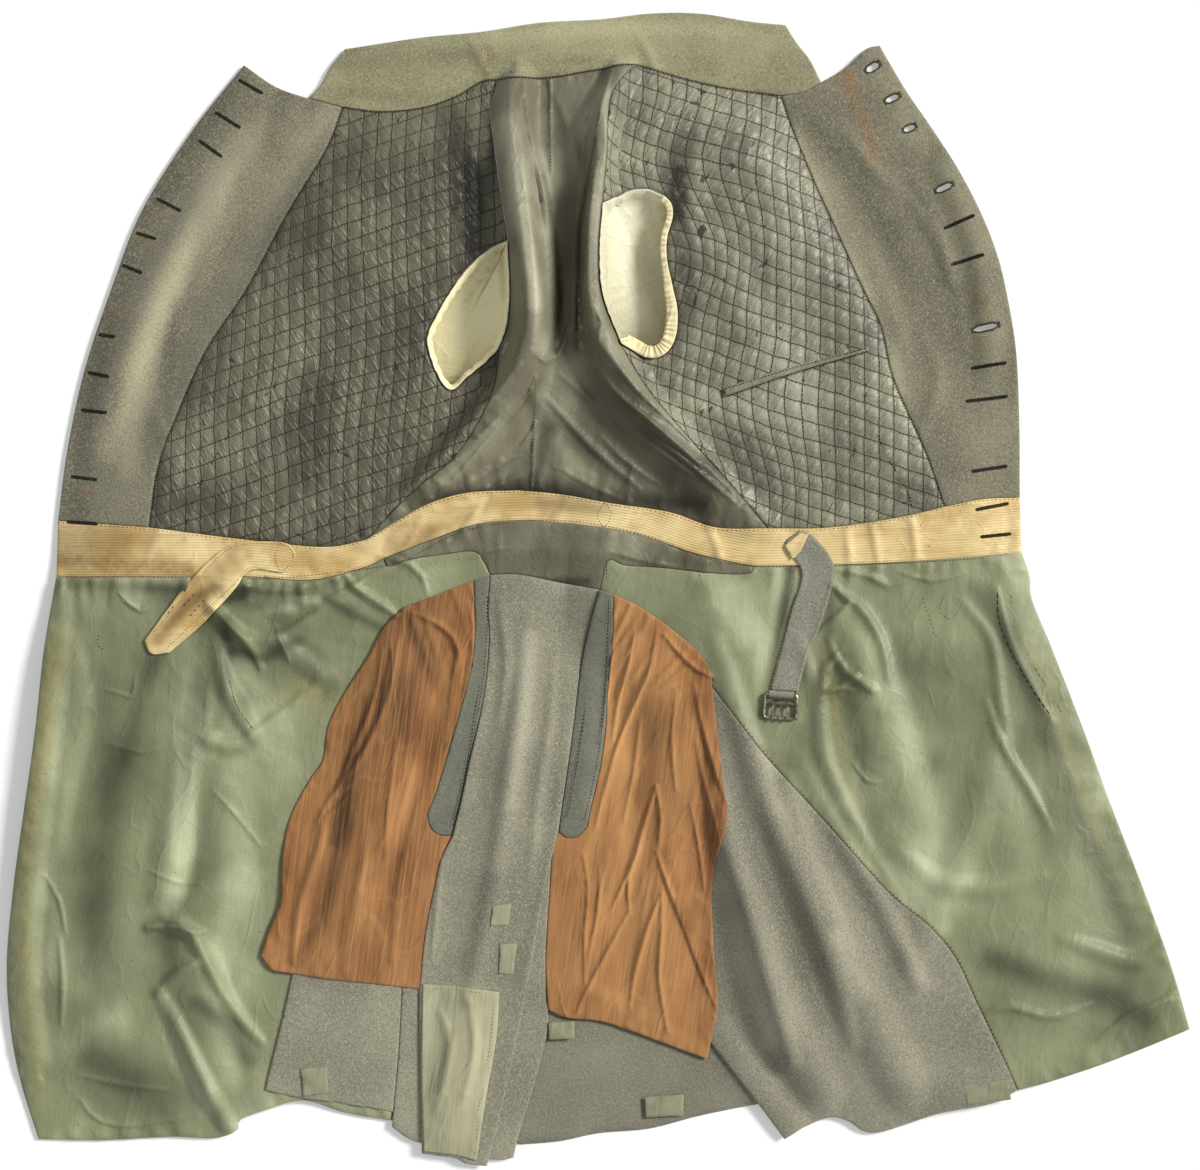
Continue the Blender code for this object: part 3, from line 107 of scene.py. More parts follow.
# The seams of the pattern: each is a short run of points, (x, y)
SEAMS = {
    "collar_top": ((-221, 471), (-155, 481), (-103, 486), (-51, 494), (1, 497), (45, 502), (88, 502),
        (132, 495), (163, 492)),
    "collar_end_right": ((-221, 471), (-234, 455), (-242, 440), (-253, 428)),
    "collar_end_left": ((163, 492), (173, 476), (184, 462), (194, 442)),
    "collar_seam_facing_right": ((-253, 428), (-223, 420)),
    "collar_seam_quilt_right": ((-223, 420), (-190, 416), (-155, 419), (-125, 429), (-103, 442),
        (-88, 444)),
    "collar_seam_back": ((-88, 444), (-42, 446), (-6, 452), (33, 457)),
    "collar_seam_quilt_left": ((33, 457), (80, 443), (119, 435), (159, 430)),
    "collar_seam_facing_left": ((159, 430), (178, 433), (194, 442)),
    "neck_right": ((-309, 457), (-281, 438), (-253, 428)),
    "neck_left": ((194, 442), (214, 454), (233, 471), (245, 474)),
    "front_right": ((-309, 457), (-354, 400), (-398, 330), (-425, 261), (-448, 191), (-463, 121),
        (-471, 60)),
    "front_left": ((245, 474), (268, 435), (292, 400), (314, 365), (332, 330), (346, 295), (355, 261),
        (364, 208), (367, 139), (367, 80)),
    "facing_right": ((-223, 420), (-238, 382), (-271, 326), (-306, 261), (-342, 207), (-368, 147),
        (-383, 104), (-390, 54)),
    "facing_left": ((159, 430), (169, 400), (188, 352), (208, 308), (229, 261), (245, 228), (254, 187),
        (271, 147), (286, 113), (300, 72)),
    "back_right_upper": ((-88, 444), (-94, 417), (-90, 382), (-84, 339), (-78, 302)),
    "back_right_hole": ((-78, 302), (-76, 256), (-79, 226), (-86, 207)),
    "back_right_lower": ((-86, 207), (-90, 174), (-105, 141), (-125, 113), (-151, 92), (-174, 71),
        (-201, 43)),
    "back_left_upper": ((33, 457), (13, 433), (8, 408), (7, 374), (3, 332)),
    "back_left_hole": ((3, 332), (0, 291), (3, 252), (19, 211)),
    "back_left_lower": ((19, 211), (43, 172), (75, 134), (104, 102), (127, 76), (146, 53)),
    "armhole_right": ((-78, 302), (-94, 295), (-112, 280), (-127, 261), (-140, 239), (-149, 219),
        (-147, 203), (-141, 187), (-133, 174), (-125, 172), (-112, 184), (-98, 195), (-86, 207)),
    "armhole_left": ((3, 332), (15, 340), (32, 347), (49, 345), (62, 336), (65, 323), (60, 304),
        (60, 285), (65, 261), (69, 241), (68, 221), (62, 207), (52, 200), (40, 200), (29, 206),
        (19, 211)),
    "waist_top_facing_right": ((-471, 60), (-390, 54)),
    "waist_top_quilt_right": ((-390, 54), (-303, 43), (-238, 37), (-201, 43)),
    "waist_top_back_right": ((-201, 43), (-173, 60), (-147, 74), (-112, 84), (-68, 86)),
    "waist_top_back_left": ((-68, 86), (-29, 82), (10, 75), (62, 67), (101, 54), (146, 53)),
    "waist_top_quilt_left": ((146, 53), (201, 54), (262, 63), (300, 72)),
    "waist_top_facing_left": ((300, 72), (336, 79), (367, 80)),
    "waist_end_right": ((-471, 60), (-472, 11)),
    "waist_end_left": ((367, 80), (368, 32)),
    "waist_low_right": ((-472, 11), (-390, 11), (-303, 11), (-251, 8), (-206, 18), (-186, 27)),
    "waist_low_back_right": ((-186, 27), (-142, 44), (-103, 57), (-60, 60)),
    "waist_low_back_left": ((-60, 60), (-7, 55), (36, 47), (84, 31), (134, 20)),
    "back_right_waist": ((-201, 43), (-186, 27)),
    "back_left_waist": ((146, 53), (134, 20)),
    "waist_low_left": ((134, 20), (228, 22), (297, 26), (368, 32)),
    "skirt_front_right": ((-472, 11), (-482, -53), (-489, -122), (-499, -192), (-509, -261),
        (-515, -327), (-512, -383), (-503, -431), (-488, -479)),
    "skirt_front_left": ((368, 32), (375, 11), (377, -9), (395, -53), (422, -122), (448, -192),
        (475, -261), (500, -331), (515, -383)),
    "hem_right": ((-488, -479), (-434, -480), (-373, -477), (-334, -478), (-315, -471), (-312, -462),
        (-286, -452), (-257, -445), (-221, -456), (-180, -463)),
    "hem_hidden_right": ((-180, -463), (-125, -470)),
    "centre_back": ((-60, 60), (-75, -9), (-86, -183), (-103, -357), (-125, -470)),
    "hem_hidden_left": ((-125, -470), (-68, -484)),
    "hem_back_left": ((-68, -484), (-33, -481), (1, -474), (45, -470), (88, -459), (141, -448)),
    "hem_step_left": ((141, -448), (158, -456), (178, -469)),
    "pleat_hem_left": ((178, -469), (201, -460), (217, -463), (231, -472), (249, -472), (297, -456),
        (341, -448), (365, -436)),
    "hem_left": ((365, -436), (393, -429), (436, -415), (480, -398), (515, -383)),
    "pleat_tip_left": ((162, -479), (178, -469)),
    "pleat_fold_left": ((88, -383), (114, -416), (139, -448), (162, -479)),
    "pleat_inner_left": ((81, -61), (88, -148), (87, -270), (88, -383)),
    "lining_seam_left": ((81, -61), (99, -85), (121, -114), (147, -147), (180, -183), (214, -221),
        (255, -266), (288, -293), (310, -320), (329, -360), (349, -402), (365, -436)),
    "lining_inner_left": ((1, 0), (36, -22), (81, -61)),
    "lining_inner_right": ((-94, 13), (-138, -96), (-168, -227), (-180, -463)),
    "pleat_top_right": ((-260, -305), (-171, -305)),
    "pleat_inner_right": ((-171, -305), (-171, -344)),
    "pleat_seam_right": ((-171, -344), (-174, -401), (-179, -455)),
    "pleat_hem_right": ((-179, -455), (-216, -449), (-260, -442), (-290, -435)),
    "pleat_fold_right": ((-290, -435), (-277, -383), (-268, -344), (-260, -305)),
    "tail_satin_right": ((-186, 27), (-181, 20), (-163, 26), (-138, 30), (-108, 33), (-99, 23),
        (-94, 13)),
    "tail_satin_left": ((134, 20), (130, 14), (101, 14), (54, 19), (23, 21), (8, 25), (1, 0)),
    "tail_top": ((-94, 13), (-68, 13), (-33, 6), (1, 0)),
    "tail_edge_right": ((-94, 13), (-96, -18), (-95, -44), (-98, -80), (-103, -110), (-112, -148),
        (-120, -186), (-127, -214)),
    "tail_edge_right_mid": ((-127, -214), (-137, -235), (-144, -264), (-151, -301), (-156, -348)),
    "tail_edge_right_low": ((-156, -348), (-156, -392), (-155, -444), (-154, -491)),
    "tail_edge_left": ((1, 0), (-7, -28), (-14, -60), (-19, -96), (-24, -135), (-29, -170), (-35, -211)),
    "tail_edge_left_low": ((-35, -211), (-47, -261), (-55, -309), (-64, -357), (-73, -401), (-83, -448),
        (-97, -502)),
    "tail_hem": ((-154, -491), (-140, -493), (-125, -495), (-115, -500), (-97, -502)),
    "welt_right_top": ((-108, 8), (-94, 13)),
    "welt_left_top": ((1, 0), (13, -4)),
    "welt_right_outer": ((-108, 8), (-107, -27), (-108, -54), (-115, -87), (-125, -122), (-134, -153),
        (-143, -181), (-149, -195)),
    "welt_right_end": ((-149, -195), (-146, -208), (-137, -214), (-127, -214)),
    "welt_left_outer": ((13, -4), (12, -44), (8, -87), (6, -122), (1, -157), (-6, -187), (-10, -206)),
    "welt_left_end": ((-35, -211), (-28, -216), (-18, -215), (-10, -206)),
    "bag_right_top": ((-167, -14), (-147, -7), (-125, 2), (-108, 8)),
    "bag_right_outer": ((-167, -14), (-186, -33), (-199, -57), (-220, -89), (-234, -117), (-239, -147),
        (-250, -164), (-267, -196), (-274, -231), (-276, -270), (-286, -296), (-293, -318)),
    "bag_right_hem": ((-293, -318), (-283, -330), (-267, -333), (-225, -339), (-190, -343), (-156, -348)),
    "bag_left_top": ((13, -4), (36, -15), (58, -30), (80, -48), (92, -61), (98, -74)),
    "bag_left_outer": ((98, -74), (100, -96), (104, -131), (108, -166), (112, -196), (106, -221),
        (99, -257), (100, -305), (104, -360), (100, -383), (95, -409)),
    "bag_left_hem": ((-44, -366), (-28, -373), (1, -376), (27, -384), (54, -394), (78, -403), (95, -409)),
    "bag_left_inner": ((-35, -211), (-40, -227), (-43, -270), (-46, -322), (-44, -366)),
    "underlay_right_edge": ((-179, -455), (-180, -468)),
    "underlay_right_hem": ((-180, -468), (-168, -477), (-156, -482), (-138, -484)),
    "underlay_right_inner": ((-138, -484), (-134, -401), (-138, -344)),
    "underlay_right_top": ((-138, -344), (-171, -344)),
    "underlay_left_edge": ((-44, -366), (-45, -388), (-57, -435), (-68, -470), (-74, -495)),
    "underlay_left_hem": ((-74, -495), (-84, -497), (-100, -496)),
    "underlay_left_inner": ((-100, -496), (-99, -427), (-81, -340), (-64, -270), (-51, -228),
        (-35, -211)),
    "patch_tail_top": ((-153, -343), (-120, -345), (-86, -350)),
    "patch_tail_edge": ((-86, -350), (-89, -392), (-98, -444), (-106, -497)),
    "patch_tail_hem": ((-106, -497), (-125, -492), (-152, -489)),
    "patch_tail_side": ((-152, -489), (-154, -418), (-153, -343)),
    "strap_right_upper": ((-261, 30), (-269, 40), (-293, 42), (-315, 40), (-337, 26), (-364, -4),
        (-394, -44)),
    "strap_right_tip": ((-394, -44), (-388, -56), (-372, -55)),
    "strap_right_under": ((-372, -55), (-342, -29), (-314, 1), (-306, 14), (-293, 17), (-271, 15),
        (-261, 30)),
    "strap_left_outer": ((173, 51), (186, 46), (204, 19), (194, -27), (182, -54), (173, -89)),
    "strap_left_end": ((173, -89), (149, -87)),
    "strap_left_inner": ((149, -87), (158, -53), (167, -18), (176, 15), (161, 38), (173, 51)),
    "pocket_welt_upper": ((108, 174), (167, 193), (234, 210)),
    "pocket_welt_end": ((234, 210), (234, 206)),
    "pocket_welt_under": ((234, 206), (168, 187), (110, 167)),
    "pocket_welt_tip": ((110, 167), (108, 174))
}

# Open buttonholes: middle, length, width and turn in degrees
Slit = namedtuple("Slit", "x y length width turn")
SLITS = (
    Slit(239, 455, 13, 5.2, 33),
    Slit(256, 428, 13, 4.3, 26),
    Slit(271, 402, 11, 4.3, 24),
    Slit(301, 350, 15, 4.3, 24),
    Slit(337, 228, 22, 4.3, 12)
)

# Folds of the coat, a row for each bend of the crest: height, and how far it falls away on the left and right
Crest = namedtuple("Crest", "x y height left right")
FOLDS = {
    "back_fold_right": ((-72, 440, 14, 23, 17), (-71, 400, 26, 21, 21), (-67, 348, 30, 17, 23),
        (-60, 295, 34, 17, 23), (-57, 243, 34, 19, 21), (-60, 213, 32, 24, 21), (-75, 178, 28, 35, 21),
        (-100, 143, 23, 44, 21), (-129, 111, 18, 44, 21), (-164, 80, 11, 35, 19), (-194, 54, 5, 26, 17)),
    "back_fold_left": ((20, 450, 14, 19, 16), (7, 413, 24, 17, 16), (0, 365, 28, 19, 12),
        (-6, 308, 30, 21, 12), (-5, 252, 30, 21, 14), (5, 213, 28, 23, 21), (23, 178, 25, 24, 31),
        (54, 139, 20, 24, 35), (88, 100, 15, 23, 35), (121, 69, 9, 21, 30), (145, 55, 4, 17, 21)),
    "facing_roll_right": ((-273, 408, 3, 23, 23), (-293, 382, 7, 24, 26), (-347, 317, 9, 24, 30),
        (-390, 248, 9, 23, 30), (-422, 178, 8, 21, 28), (-437, 117, 5, 19, 24)),
    "facing_roll_left": ((301, 369, 3, 19, 19), (330, 308, 7, 21, 23), (341, 252, 8, 21, 23),
        (342, 200, 4, 19, 21)),
    "edge_roll_right": ((-467, -9, 3, 16, 35), (-477, -96, 8, 19, 42), (-488, -183, 9, 19, 44),
        (-496, -270, 9, 17, 38), (-498, -340, 8, 16, 35), (-489, -409, 5, 16, 31)),
    "skirt_fold_right": ((-316, -9, 4, 35, 35), (-325, -87, 9, 38, 35), (-328, -174, 11, 38, 38),
        (-326, -253, 10, 35, 38), (-350, -296, 9, 30, 35), (-342, -357, 9, 26, 35),
        (-328, -427, 6, 23, 31)),
    "pleat_roll_left": ((107, -383, 3, 19, 23), (134, -425, 5, 21, 26), (165, -463, 5, 21, 26)),
    "skirt_fold_left_a": ((162, -183, 3, 26, 26), (193, -270, 7, 30, 31), (229, -357, 9, 30, 33),
        (267, -431, 7, 26, 30)),
    "skirt_fold_left_b": ((114, -201, 3, 26, 26), (134, -288, 7, 30, 31), (160, -375, 9, 30, 33),
        (194, -435, 7, 26, 30)),
    "skirt_fold_left_c": ((219, -27, 4, 31, 31), (245, -114, 7, 35, 35), (261, -183, 8, 35, 35),
        (273, -253, 5, 31, 31)),
    "tail_roll": ((-55, -44, 3, 35, 31), (-68, -148, 5, 35, 35), (-94, -270, 5, 35, 31),
        (-120, -392, 5, 35, 31), (-134, -470, 4, 31, 26)),
    "bag_roll_right": ((-173, -61, 4, 31, 35), (-194, -157, 6, 38, 38), (-216, -253, 6, 38, 38),
        (-234, -322, 5, 35, 35)),
    "bag_roll_left": ((49, -79, 4, 35, 35), (62, -166, 6, 38, 38), (58, -270, 7, 38, 38),
        (54, -357, 5, 35, 35)),
}

# The sleeves lie below the coat: the middle line of each, then the sections down it
SLEEVE_LINES = {
    "right": ((-122, 226), (-173, 121), (-244, 26), (-308, -87), (-328, -201), (-333, -292)),
    "left": ((43, 252), (102, 139), (172, 26), (234, -96), (264, -209), (274, -292))
}
Section = namedtuple("Section", "down half_width height")
SECTIONS = (
    Section(0, 78, 21),
    Section(90, 86, 17),
    Section(160, 88, 13),
    Section(300, 84, 9),
    Section(450, 75, 8),
    Section(575, 66, 8),
)
SLEEVE_STEP = 15.0
BEND_END = 90.0
SLEEVE_LONG = 575
LINING_LONG = 160
SLEEVE_CLEAR = 3.0
RIM_DROP = 2.4
LINING_EASE = 1.3
LIP_GAP = 0.5
GATHER_DEPTHS = (1.6, 1.9, 1.6, 1.2, 0.8, 0.5)
SWELL_SPREAD = 60.0
SWELL_FADE = 70.0

# Creases of the cloth, between the big folds: how sharp the crest is, and its bends as in FOLDS
Crease = namedtuple("Crease", "name sharp bends")
CREASES = (
    Crease("skirt_right_bright_fold", 1.0, ((-334, -57, 1, 17, 19), (-336, -96, 5, 21, 23),
        (-350, -148, 7, 21, 26), (-366, -218, 7, 23, 26), (-375, -261, 5, 21, 23))),
    Crease("skirt_right_v_fold", 1.2, ((-331, -44, 2, 9, 9), (-324, -75, 6, 10, 14), (-312, -101, 8, 12, 16),
        (-298, -127, 5, 10, 12))),
    Crease("skirt_right_v_shelf", 1.0, ((-335, -129, 4, 7, 14), (-312, -133, 6, 7, 16),
        (-286, -115, 5, 7, 14), (-260, -96, 3, 7, 14), (-234, -72, 2, 7, 12))),
    Crease("skirt_right_shoulder", 1.0, ((-298, -27, 2, 10, 12), (-268, -53, 5, 14, 16),
        (-244, -72, 4, 12, 14))),
    Crease("skirt_right_arch", 1.1, ((-390, -292, 2, 7, 9), (-373, -286, 5, 9, 9), (-354, -294, 6, 9, 10),
        (-336, -327, 7, 10, 10), (-315, -366, 6, 9, 10), (-293, -392, 3, 7, 9))),
    Crease("skirt_right_arch_left", 1.2, ((-381, -348, 3, 7, 8), (-366, -333, 6, 8, 10),
        (-350, -324, 5, 7, 9))),
    Crease("skirt_right_long_fold", 1.0, ((-381, -350, 3, 8, 12), (-366, -375, 7, 9, 14),
        (-350, -409, 8, 10, 16), (-333, -444, 7, 10, 16), (-319, -470, 4, 10, 12))),
    Crease("skirt_right_waist_c", 1.4, ((-338, -13, 2, 5, 5), (-305, -44, 4, 7, 7), (-293, -68, 3, 6, 6))),
    Crease("skirt_right_left_soft", 1.0, ((-460, -44, 2, 14, 19), (-449, -96, 4, 16, 23),
        (-463, -174, 4, 14, 21), (-472, -227, 2, 12, 17))),
    Crease("skirt_right_crumple_a", 1.6, ((-441, -91, 0.6, 3, 4), (-423, -86, 1.4, 3, 4),
        (-406, -96, 1.2, 3, 4), (-402, -80, 0.6, 3, 3))),
    Crease("skirt_right_crumple_b", 1.5, ((-427, -133, 0.6, 4, 5), (-399, -141, 1.8, 4, 5),
        (-381, -138, 0.6, 4, 4))),
    Crease("skirt_right_crumple_c", 1.5, ((-481, -248, 0.6, 4, 4), (-468, -270, 1.8, 4, 5),
        (-463, -296, 1, 3, 4))),
    Crease("skirt_right_crumple_d", 1.5, ((-468, -305, 1, 4, 5), (-465, -340, 2.2, 5, 6),
        (-467, -378, 1, 4, 5))),
    Crease("skirt_right_crumple_e", 1.5, ((-451, -423, 0.8, 4, 5), (-416, -430, 2, 5, 6),
        (-375, -435, 1, 4, 5))),
    Crease("skirt_right_crumple_f", 1.5, ((-451, -444, 0.6, 3, 4), (-437, -462, 1.6, 4, 4),
        (-408, -467, 1.4, 4, 4), (-364, -460, 0.8, 3, 4))),
    Crease("skirt_right_crumple_g", 1.6, ((-390, -244, 0.6, 4, 4), (-355, -256, 1.2, 4, 5),
        (-335, -246, 0.6, 4, 4))),
    Crease("skirt_right_crumple_h", 1.6, ((-333, -174, 0.5, 3, 4), (-315, -194, 1.4, 4, 4),
        (-293, -223, 0.8, 4, 4))),
    Crease("skirt_right_tie", 1.2, ((-392, -293, 2, 4, 7), (-368, -293, 4, 5, 8), (-343, -296, 3, 4, 7))),
    Crease("skirt_left_diagonal", 1.0, ((358, -96, 1, 17, 21), (337, -166, 4, 19, 24), (315, -235, 5, 21, 26),
        (288, -296, 4, 19, 24), (262, -340, 2, 16, 19))),
    Crease("skirt_left_low", 1.0, ((262, -227, 1.5, 10, 14), (297, -253, 4, 12, 17), (341, -258, 4, 12, 17),
        (384, -249, 1.5, 10, 14))),
    Crease("skirt_left_low_b", 1.0, ((405, -303, 1.5, 7, 10), (436, -314, 4, 10, 14), (471, -324, 4, 10, 14),
        (494, -308, 1.5, 7, 10))),
    Crease("skirt_left_low_c", 1.3, ((320, -380, 1, 4, 5), (353, -362, 3, 6, 7), (393, -371, 3, 6, 7),
        (428, -361, 1, 4, 5))),
    Crease("skirt_left_low_d", 1.3, ((436, -392, 1, 4, 5), (461, -371, 3, 5, 7), (494, -357, 3, 5, 7),
        (506, -345, 1, 4, 5))),
    Crease("skirt_left_top_a", 1.3, ((201, 5, 2, 5, 7), (226, -14, 4, 7, 8), (245, -44, 4, 7, 8),
        (252, -79, 2, 6, 7))),
    Crease("skirt_left_top_b", 1.3, ((200, -44, 1, 5, 6), (212, -68, 4, 6, 8), (238, -87, 4, 7, 8))),
    Crease("skirt_left_top_c", 1.2, ((315, -9, 1, 7, 8), (341, -44, 3, 8, 9), (349, -96, 3, 8, 10),
        (358, -148, 1, 7, 9))),
    Crease("skirt_left_pipe", 1.2, ((346, 1, 1.5, 4, 8), (358, -44, 3, 4, 9), (379, -87, 3, 4, 9),
        (395, -115, 1.5, 4, 7))),
    Crease("skirt_left_seam_soft", 1.0, ((175, -44, 1, 8, 10), (191, -96, 4, 9, 14), (198, -148, 4, 9, 14),
        (226, -209, 3, 9, 12), (262, -270, 2, 8, 10))),
    Crease("skirt_left_mark", 1.6, ((193, -96, 0.6, 3, 4), (207, -84, 1.6, 4, 5), (221, -87, 0.6, 3, 4))),
    Crease("skirt_left_mark_b", 1.6, ((219, -148, 0.5, 3, 3), (233, -166, 1.4, 3, 4),
        (245, -167, 0.6, 3, 3))),
    Crease("band_wave_a", 1.0, ((214, 60, 1, 6, 6), (217, 36, 2.2, 7, 7), (219, 12, 1, 6, 6))),
    Crease("band_wave_b", 1.0, ((234, 67, 1, 5, 5), (240, 41, 2.4, 7, 7), (243, 17, 1, 5, 5))),
    Crease("band_wave_c", 1.0, ((268, 73, 1, 5, 6), (274, 47, 2.4, 7, 7), (276, 20, 1, 5, 6))),
    Crease("band_wave_d", 1.0, ((-173, 26, 0.8, 5, 5), (-162, 43, 2, 6, 6), (-152, 64, 0.8, 5, 5))),
    Crease("band_wave_e", 1.0, ((-390, 26, 0.6, 7, 7), (-380, 52, 2, 9, 9), (-368, 73, 0.6, 7, 7))),
    Crease("band_wave_f", 1.0, ((-124, 39, 0.8, 5, 6), (-112, 57, 2.2, 7, 7), (-100, 78, 0.8, 5, 5))),
    Crease("band_wave_g", 1.0, ((94, 57, 0.8, 6, 6), (102, 38, 2.2, 7, 7), (107, 20, 0.8, 5, 5))),
    Crease("facing_right_wave_a", 1.0, ((-324, 356, 1, 12, 12), (-336, 313, 3, 14, 16),
        (-350, 269, 2, 12, 14))),
    Crease("facing_right_wave_b", 1.0, ((-381, 147, 1, 10, 12), (-368, 104, 2.5, 12, 14),
        (-381, 69, 1, 10, 10))),
    Crease("facing_left_dimple_a", 1.0, ((273, 339, 1, 8, 9), (295, 304, 3.4, 9, 10), (306, 269, 2, 8, 9))),
    Crease("facing_left_dimple_b", 1.0, ((234, 304, 1, 10, 12), (248, 261, 3, 12, 14),
        (264, 217, 2, 10, 12))),
    Crease("facing_left_dimple_c", 1.0, ((280, 226, 1, 9, 10), (295, 189, 3, 10, 11), (288, 156, 3, 9, 10),
        (278, 134, 1, 8, 9))),
    Crease("facing_left_dimple_d", 1.0, ((215, 400, 1, 9, 10), (238, 367, 3, 10, 11), (259, 348, 1, 9, 10))),
    Crease("collar_roll", 1.0, ((-211, 459, 1, 12, 14), (-138, 471, 2.4, 14, 16), (-33, 482, 3, 14, 16),
        (88, 485, 2.4, 14, 16), (167, 471, 1, 12, 14))),
    Crease("collar_dent_a", 1.0, ((-112, 478, 0.6, 7, 7), (-98, 455, 2, 8, 8), (-93, 436, 0.6, 7, 7))),
    Crease("collar_dent_b", 1.0, ((36, 478, 0.6, 7, 7), (47, 459, 2, 8, 8), (50, 443, 0.6, 7, 7))),
    Crease("back_a", 1.1, ((-37, 429, 1, 5, 6), (-23, 391, 3, 7, 7), (-16, 348, 3, 7, 7),
        (-20, 313, 1, 5, 6))),
    Crease("back_b", 1.1, ((-68, 422, 1, 5, 6), (-56, 382, 3, 7, 7), (-46, 339, 1.5, 5, 6))),
    Crease("back_c", 1.1, ((-2, 435, 1, 5, 6), (5, 400, 3, 7, 7), (7, 365, 1, 5, 6))),
    Crease("back_d", 1.2, ((-155, 104, 1, 4, 5), (-120, 120, 3, 6, 6), (-86, 144, 3, 6, 6),
        (-58, 170, 1, 4, 5))),
    Crease("back_e", 1.2, ((-138, 78, 1, 4, 5), (-98, 99, 3, 6, 6), (-68, 123, 2, 5, 6),
        (-51, 147, 1, 4, 4))),
    Crease("back_f", 1.2, ((-44, 165, 1, 4, 5), (-21, 139, 3, 6, 6), (7, 111, 3, 6, 6), (36, 87, 1, 4, 5))),
    Crease("back_g", 1.2, ((-33, 186, 1, 4, 5), (-2, 161, 3, 6, 6), (36, 130, 3, 6, 6), (80, 99, 1, 4, 5))),
    Crease("back_h", 1.2, ((19, 165, 1, 4, 5), (54, 137, 3, 6, 6), (97, 104, 3, 6, 6), (123, 78, 1, 4, 4))),
    Crease("back_i", 1.2, ((-112, 78, 0.8, 4, 5), (-86, 90, 2.4, 5, 5), (-60, 104, 0.8, 4, 4))),
    Crease("back_j", 1.3, ((-33, 104, 0.6, 4, 4), (-7, 90, 2, 5, 5), (19, 78, 0.6, 4, 4))),
    Crease("back_edge_left", 1.3, ((-65, 440, 1, 9, 3), (-61, 408, 5, 10, 3), (-50, 348, 7, 12, 3),
        (-45, 304, 8, 14, 4), (-41, 261, 8, 14, 4), (-44, 208, 6, 12, 4), (-58, 172, 3, 10, 4))),
    Crease("back_edge_left_crease", 1.5, ((-79, 320, 1, 3, 3), (-68, 328, 2.6, 3, 3), (-56, 339, 1, 3, 3))),
    Crease("back_edge_right", 1.3, ((12, 452, 2, 3, 9), (3, 417, 5, 3, 10), (-7, 374, 6, 3, 10),
        (-16, 321, 6, 3, 10), (-19, 269, 6, 3, 10), (-20, 226, 4, 3, 9))),
    Crease("back_edge_right_crease", 1.5, ((-4, 243, 1, 3, 3), (3, 233, 3, 3, 4), (0, 214, 1.5, 3, 3))),
    Crease("back_loop", 1.2, ((-56, 203, 1, 4, 4), (-44, 196, 4, 4, 5), (-32, 207, 4, 4, 5),
        (-27, 226, 2, 3, 4))),
    Crease("back_left_sweep", 1.2, ((-68, 191, 2, 4, 7), (-98, 156, 4, 4, 8), (-129, 121, 4, 4, 8),
        (-159, 87, 3, 4, 7))),
    Crease("back_left_sweep_b", 1.3, ((-47, 186, 1, 4, 4), (-68, 156, 4, 5, 5), (-94, 130, 4, 5, 5),
        (-120, 99, 3, 4, 5), (-147, 74, 1, 4, 4))),
    Crease("back_right_sweep", 1.2, ((5, 207, 2, 7, 4), (33, 172, 4, 8, 4), (71, 137, 4, 8, 4),
        (109, 100, 3, 7, 4))),
    Crease("back_right_sweep_b", 1.3, ((-9, 207, 1, 4, 4), (12, 172, 4, 5, 5), (45, 144, 4, 5, 5),
        (88, 106, 3, 4, 4))),
    Crease("back_centre_seam", 1.4, ((-42, 445, 1.5, 3, 3), (-42, 408, 1.5, 3, 3), (-41, 360, 1, 3, 3))),
    Crease("back_centre_seam_low", 1.4, ((-54, 181, 1, 3, 3), (-56, 130, 2, 3, 3), (-58, 88, 1.5, 3, 3))),
    Crease("tail_a", 1.0, ((-61, -27, 1, 10, 11), (-68, -96, 4, 12, 13), (-80, -183, 4, 12, 14),
        (-94, -270, 3, 12, 14), (-112, -357, 2, 10, 12))),
    Crease("tail_b", 1.1, ((-86, -9, 1, 6, 7), (-80, -61, 3, 7, 8), (-86, -114, 1, 6, 7))),
    Crease("tail_c", 1.0, ((-37, -44, 1, 6, 7), (-42, -114, 3, 7, 8), (-53, -183, 3, 7, 8),
        (-60, -253, 1, 6, 7))),
    Crease("patch_a", 1.2, ((-138, -366, 0.8, 5, 7), (-129, -392, 2.2, 7, 8), (-134, -427, 2, 7, 8),
        (-141, -453, 0.8, 5, 6))),
    Crease("patch_b", 1.2, ((-112, -357, 1, 5, 6), (-108, -401, 3, 7, 7), (-119, -448, 1, 5, 6))),
    Crease("wool_a", 1.0, ((102, -44, 2, 12, 14), (123, -114, 6, 16, 17), (144, -183, 7, 17, 21),
        (175, -253, 7, 17, 21), (201, -322, 5, 16, 17), (219, -392, 3, 12, 14))),
    Crease("wool_b", 1.0, ((99, -148, 1, 10, 12), (111, -218, 5, 14, 17), (134, -288, 7, 16, 19),
        (154, -357, 7, 16, 19), (167, -409, 4, 12, 14))),
    Crease("wool_c", 1.0, ((175, -148, 1, 10, 12), (207, -209, 4, 14, 16), (245, -270, 5, 14, 17),
        (276, -340, 4, 12, 14))),
    Crease("bag_right_a", 1.1, ((-174, -44, 1, 3, 4), (-180, -87, 3, 4, 5), (-194, -122, 3, 4, 5),
        (-214, -157, 3, 4, 5), (-234, -183, 2, 4, 4), (-244, -202, 1, 3, 3))),
    Crease("bag_right_b", 1.1, ((-187, -53, 1, 3, 3), (-192, -87, 2, 3, 4), (-202, -115, 3, 4, 4),
        (-216, -148, 3, 4, 4), (-228, -180, 1, 3, 3))),
    Crease("bag_right_c", 1.1, ((-161, -20, 1, 3, 4), (-138, -30, 3, 4, 5), (-122, -47, 3, 4, 5),
        (-124, -70, 3, 4, 5), (-129, -96, 1.5, 3, 4))),
    Crease("bag_right_d", 1.1, ((-122, -48, 1, 3, 3), (-119, -68, 2, 3, 4), (-127, -96, 2, 3, 4),
        (-134, -131, 1, 3, 3))),
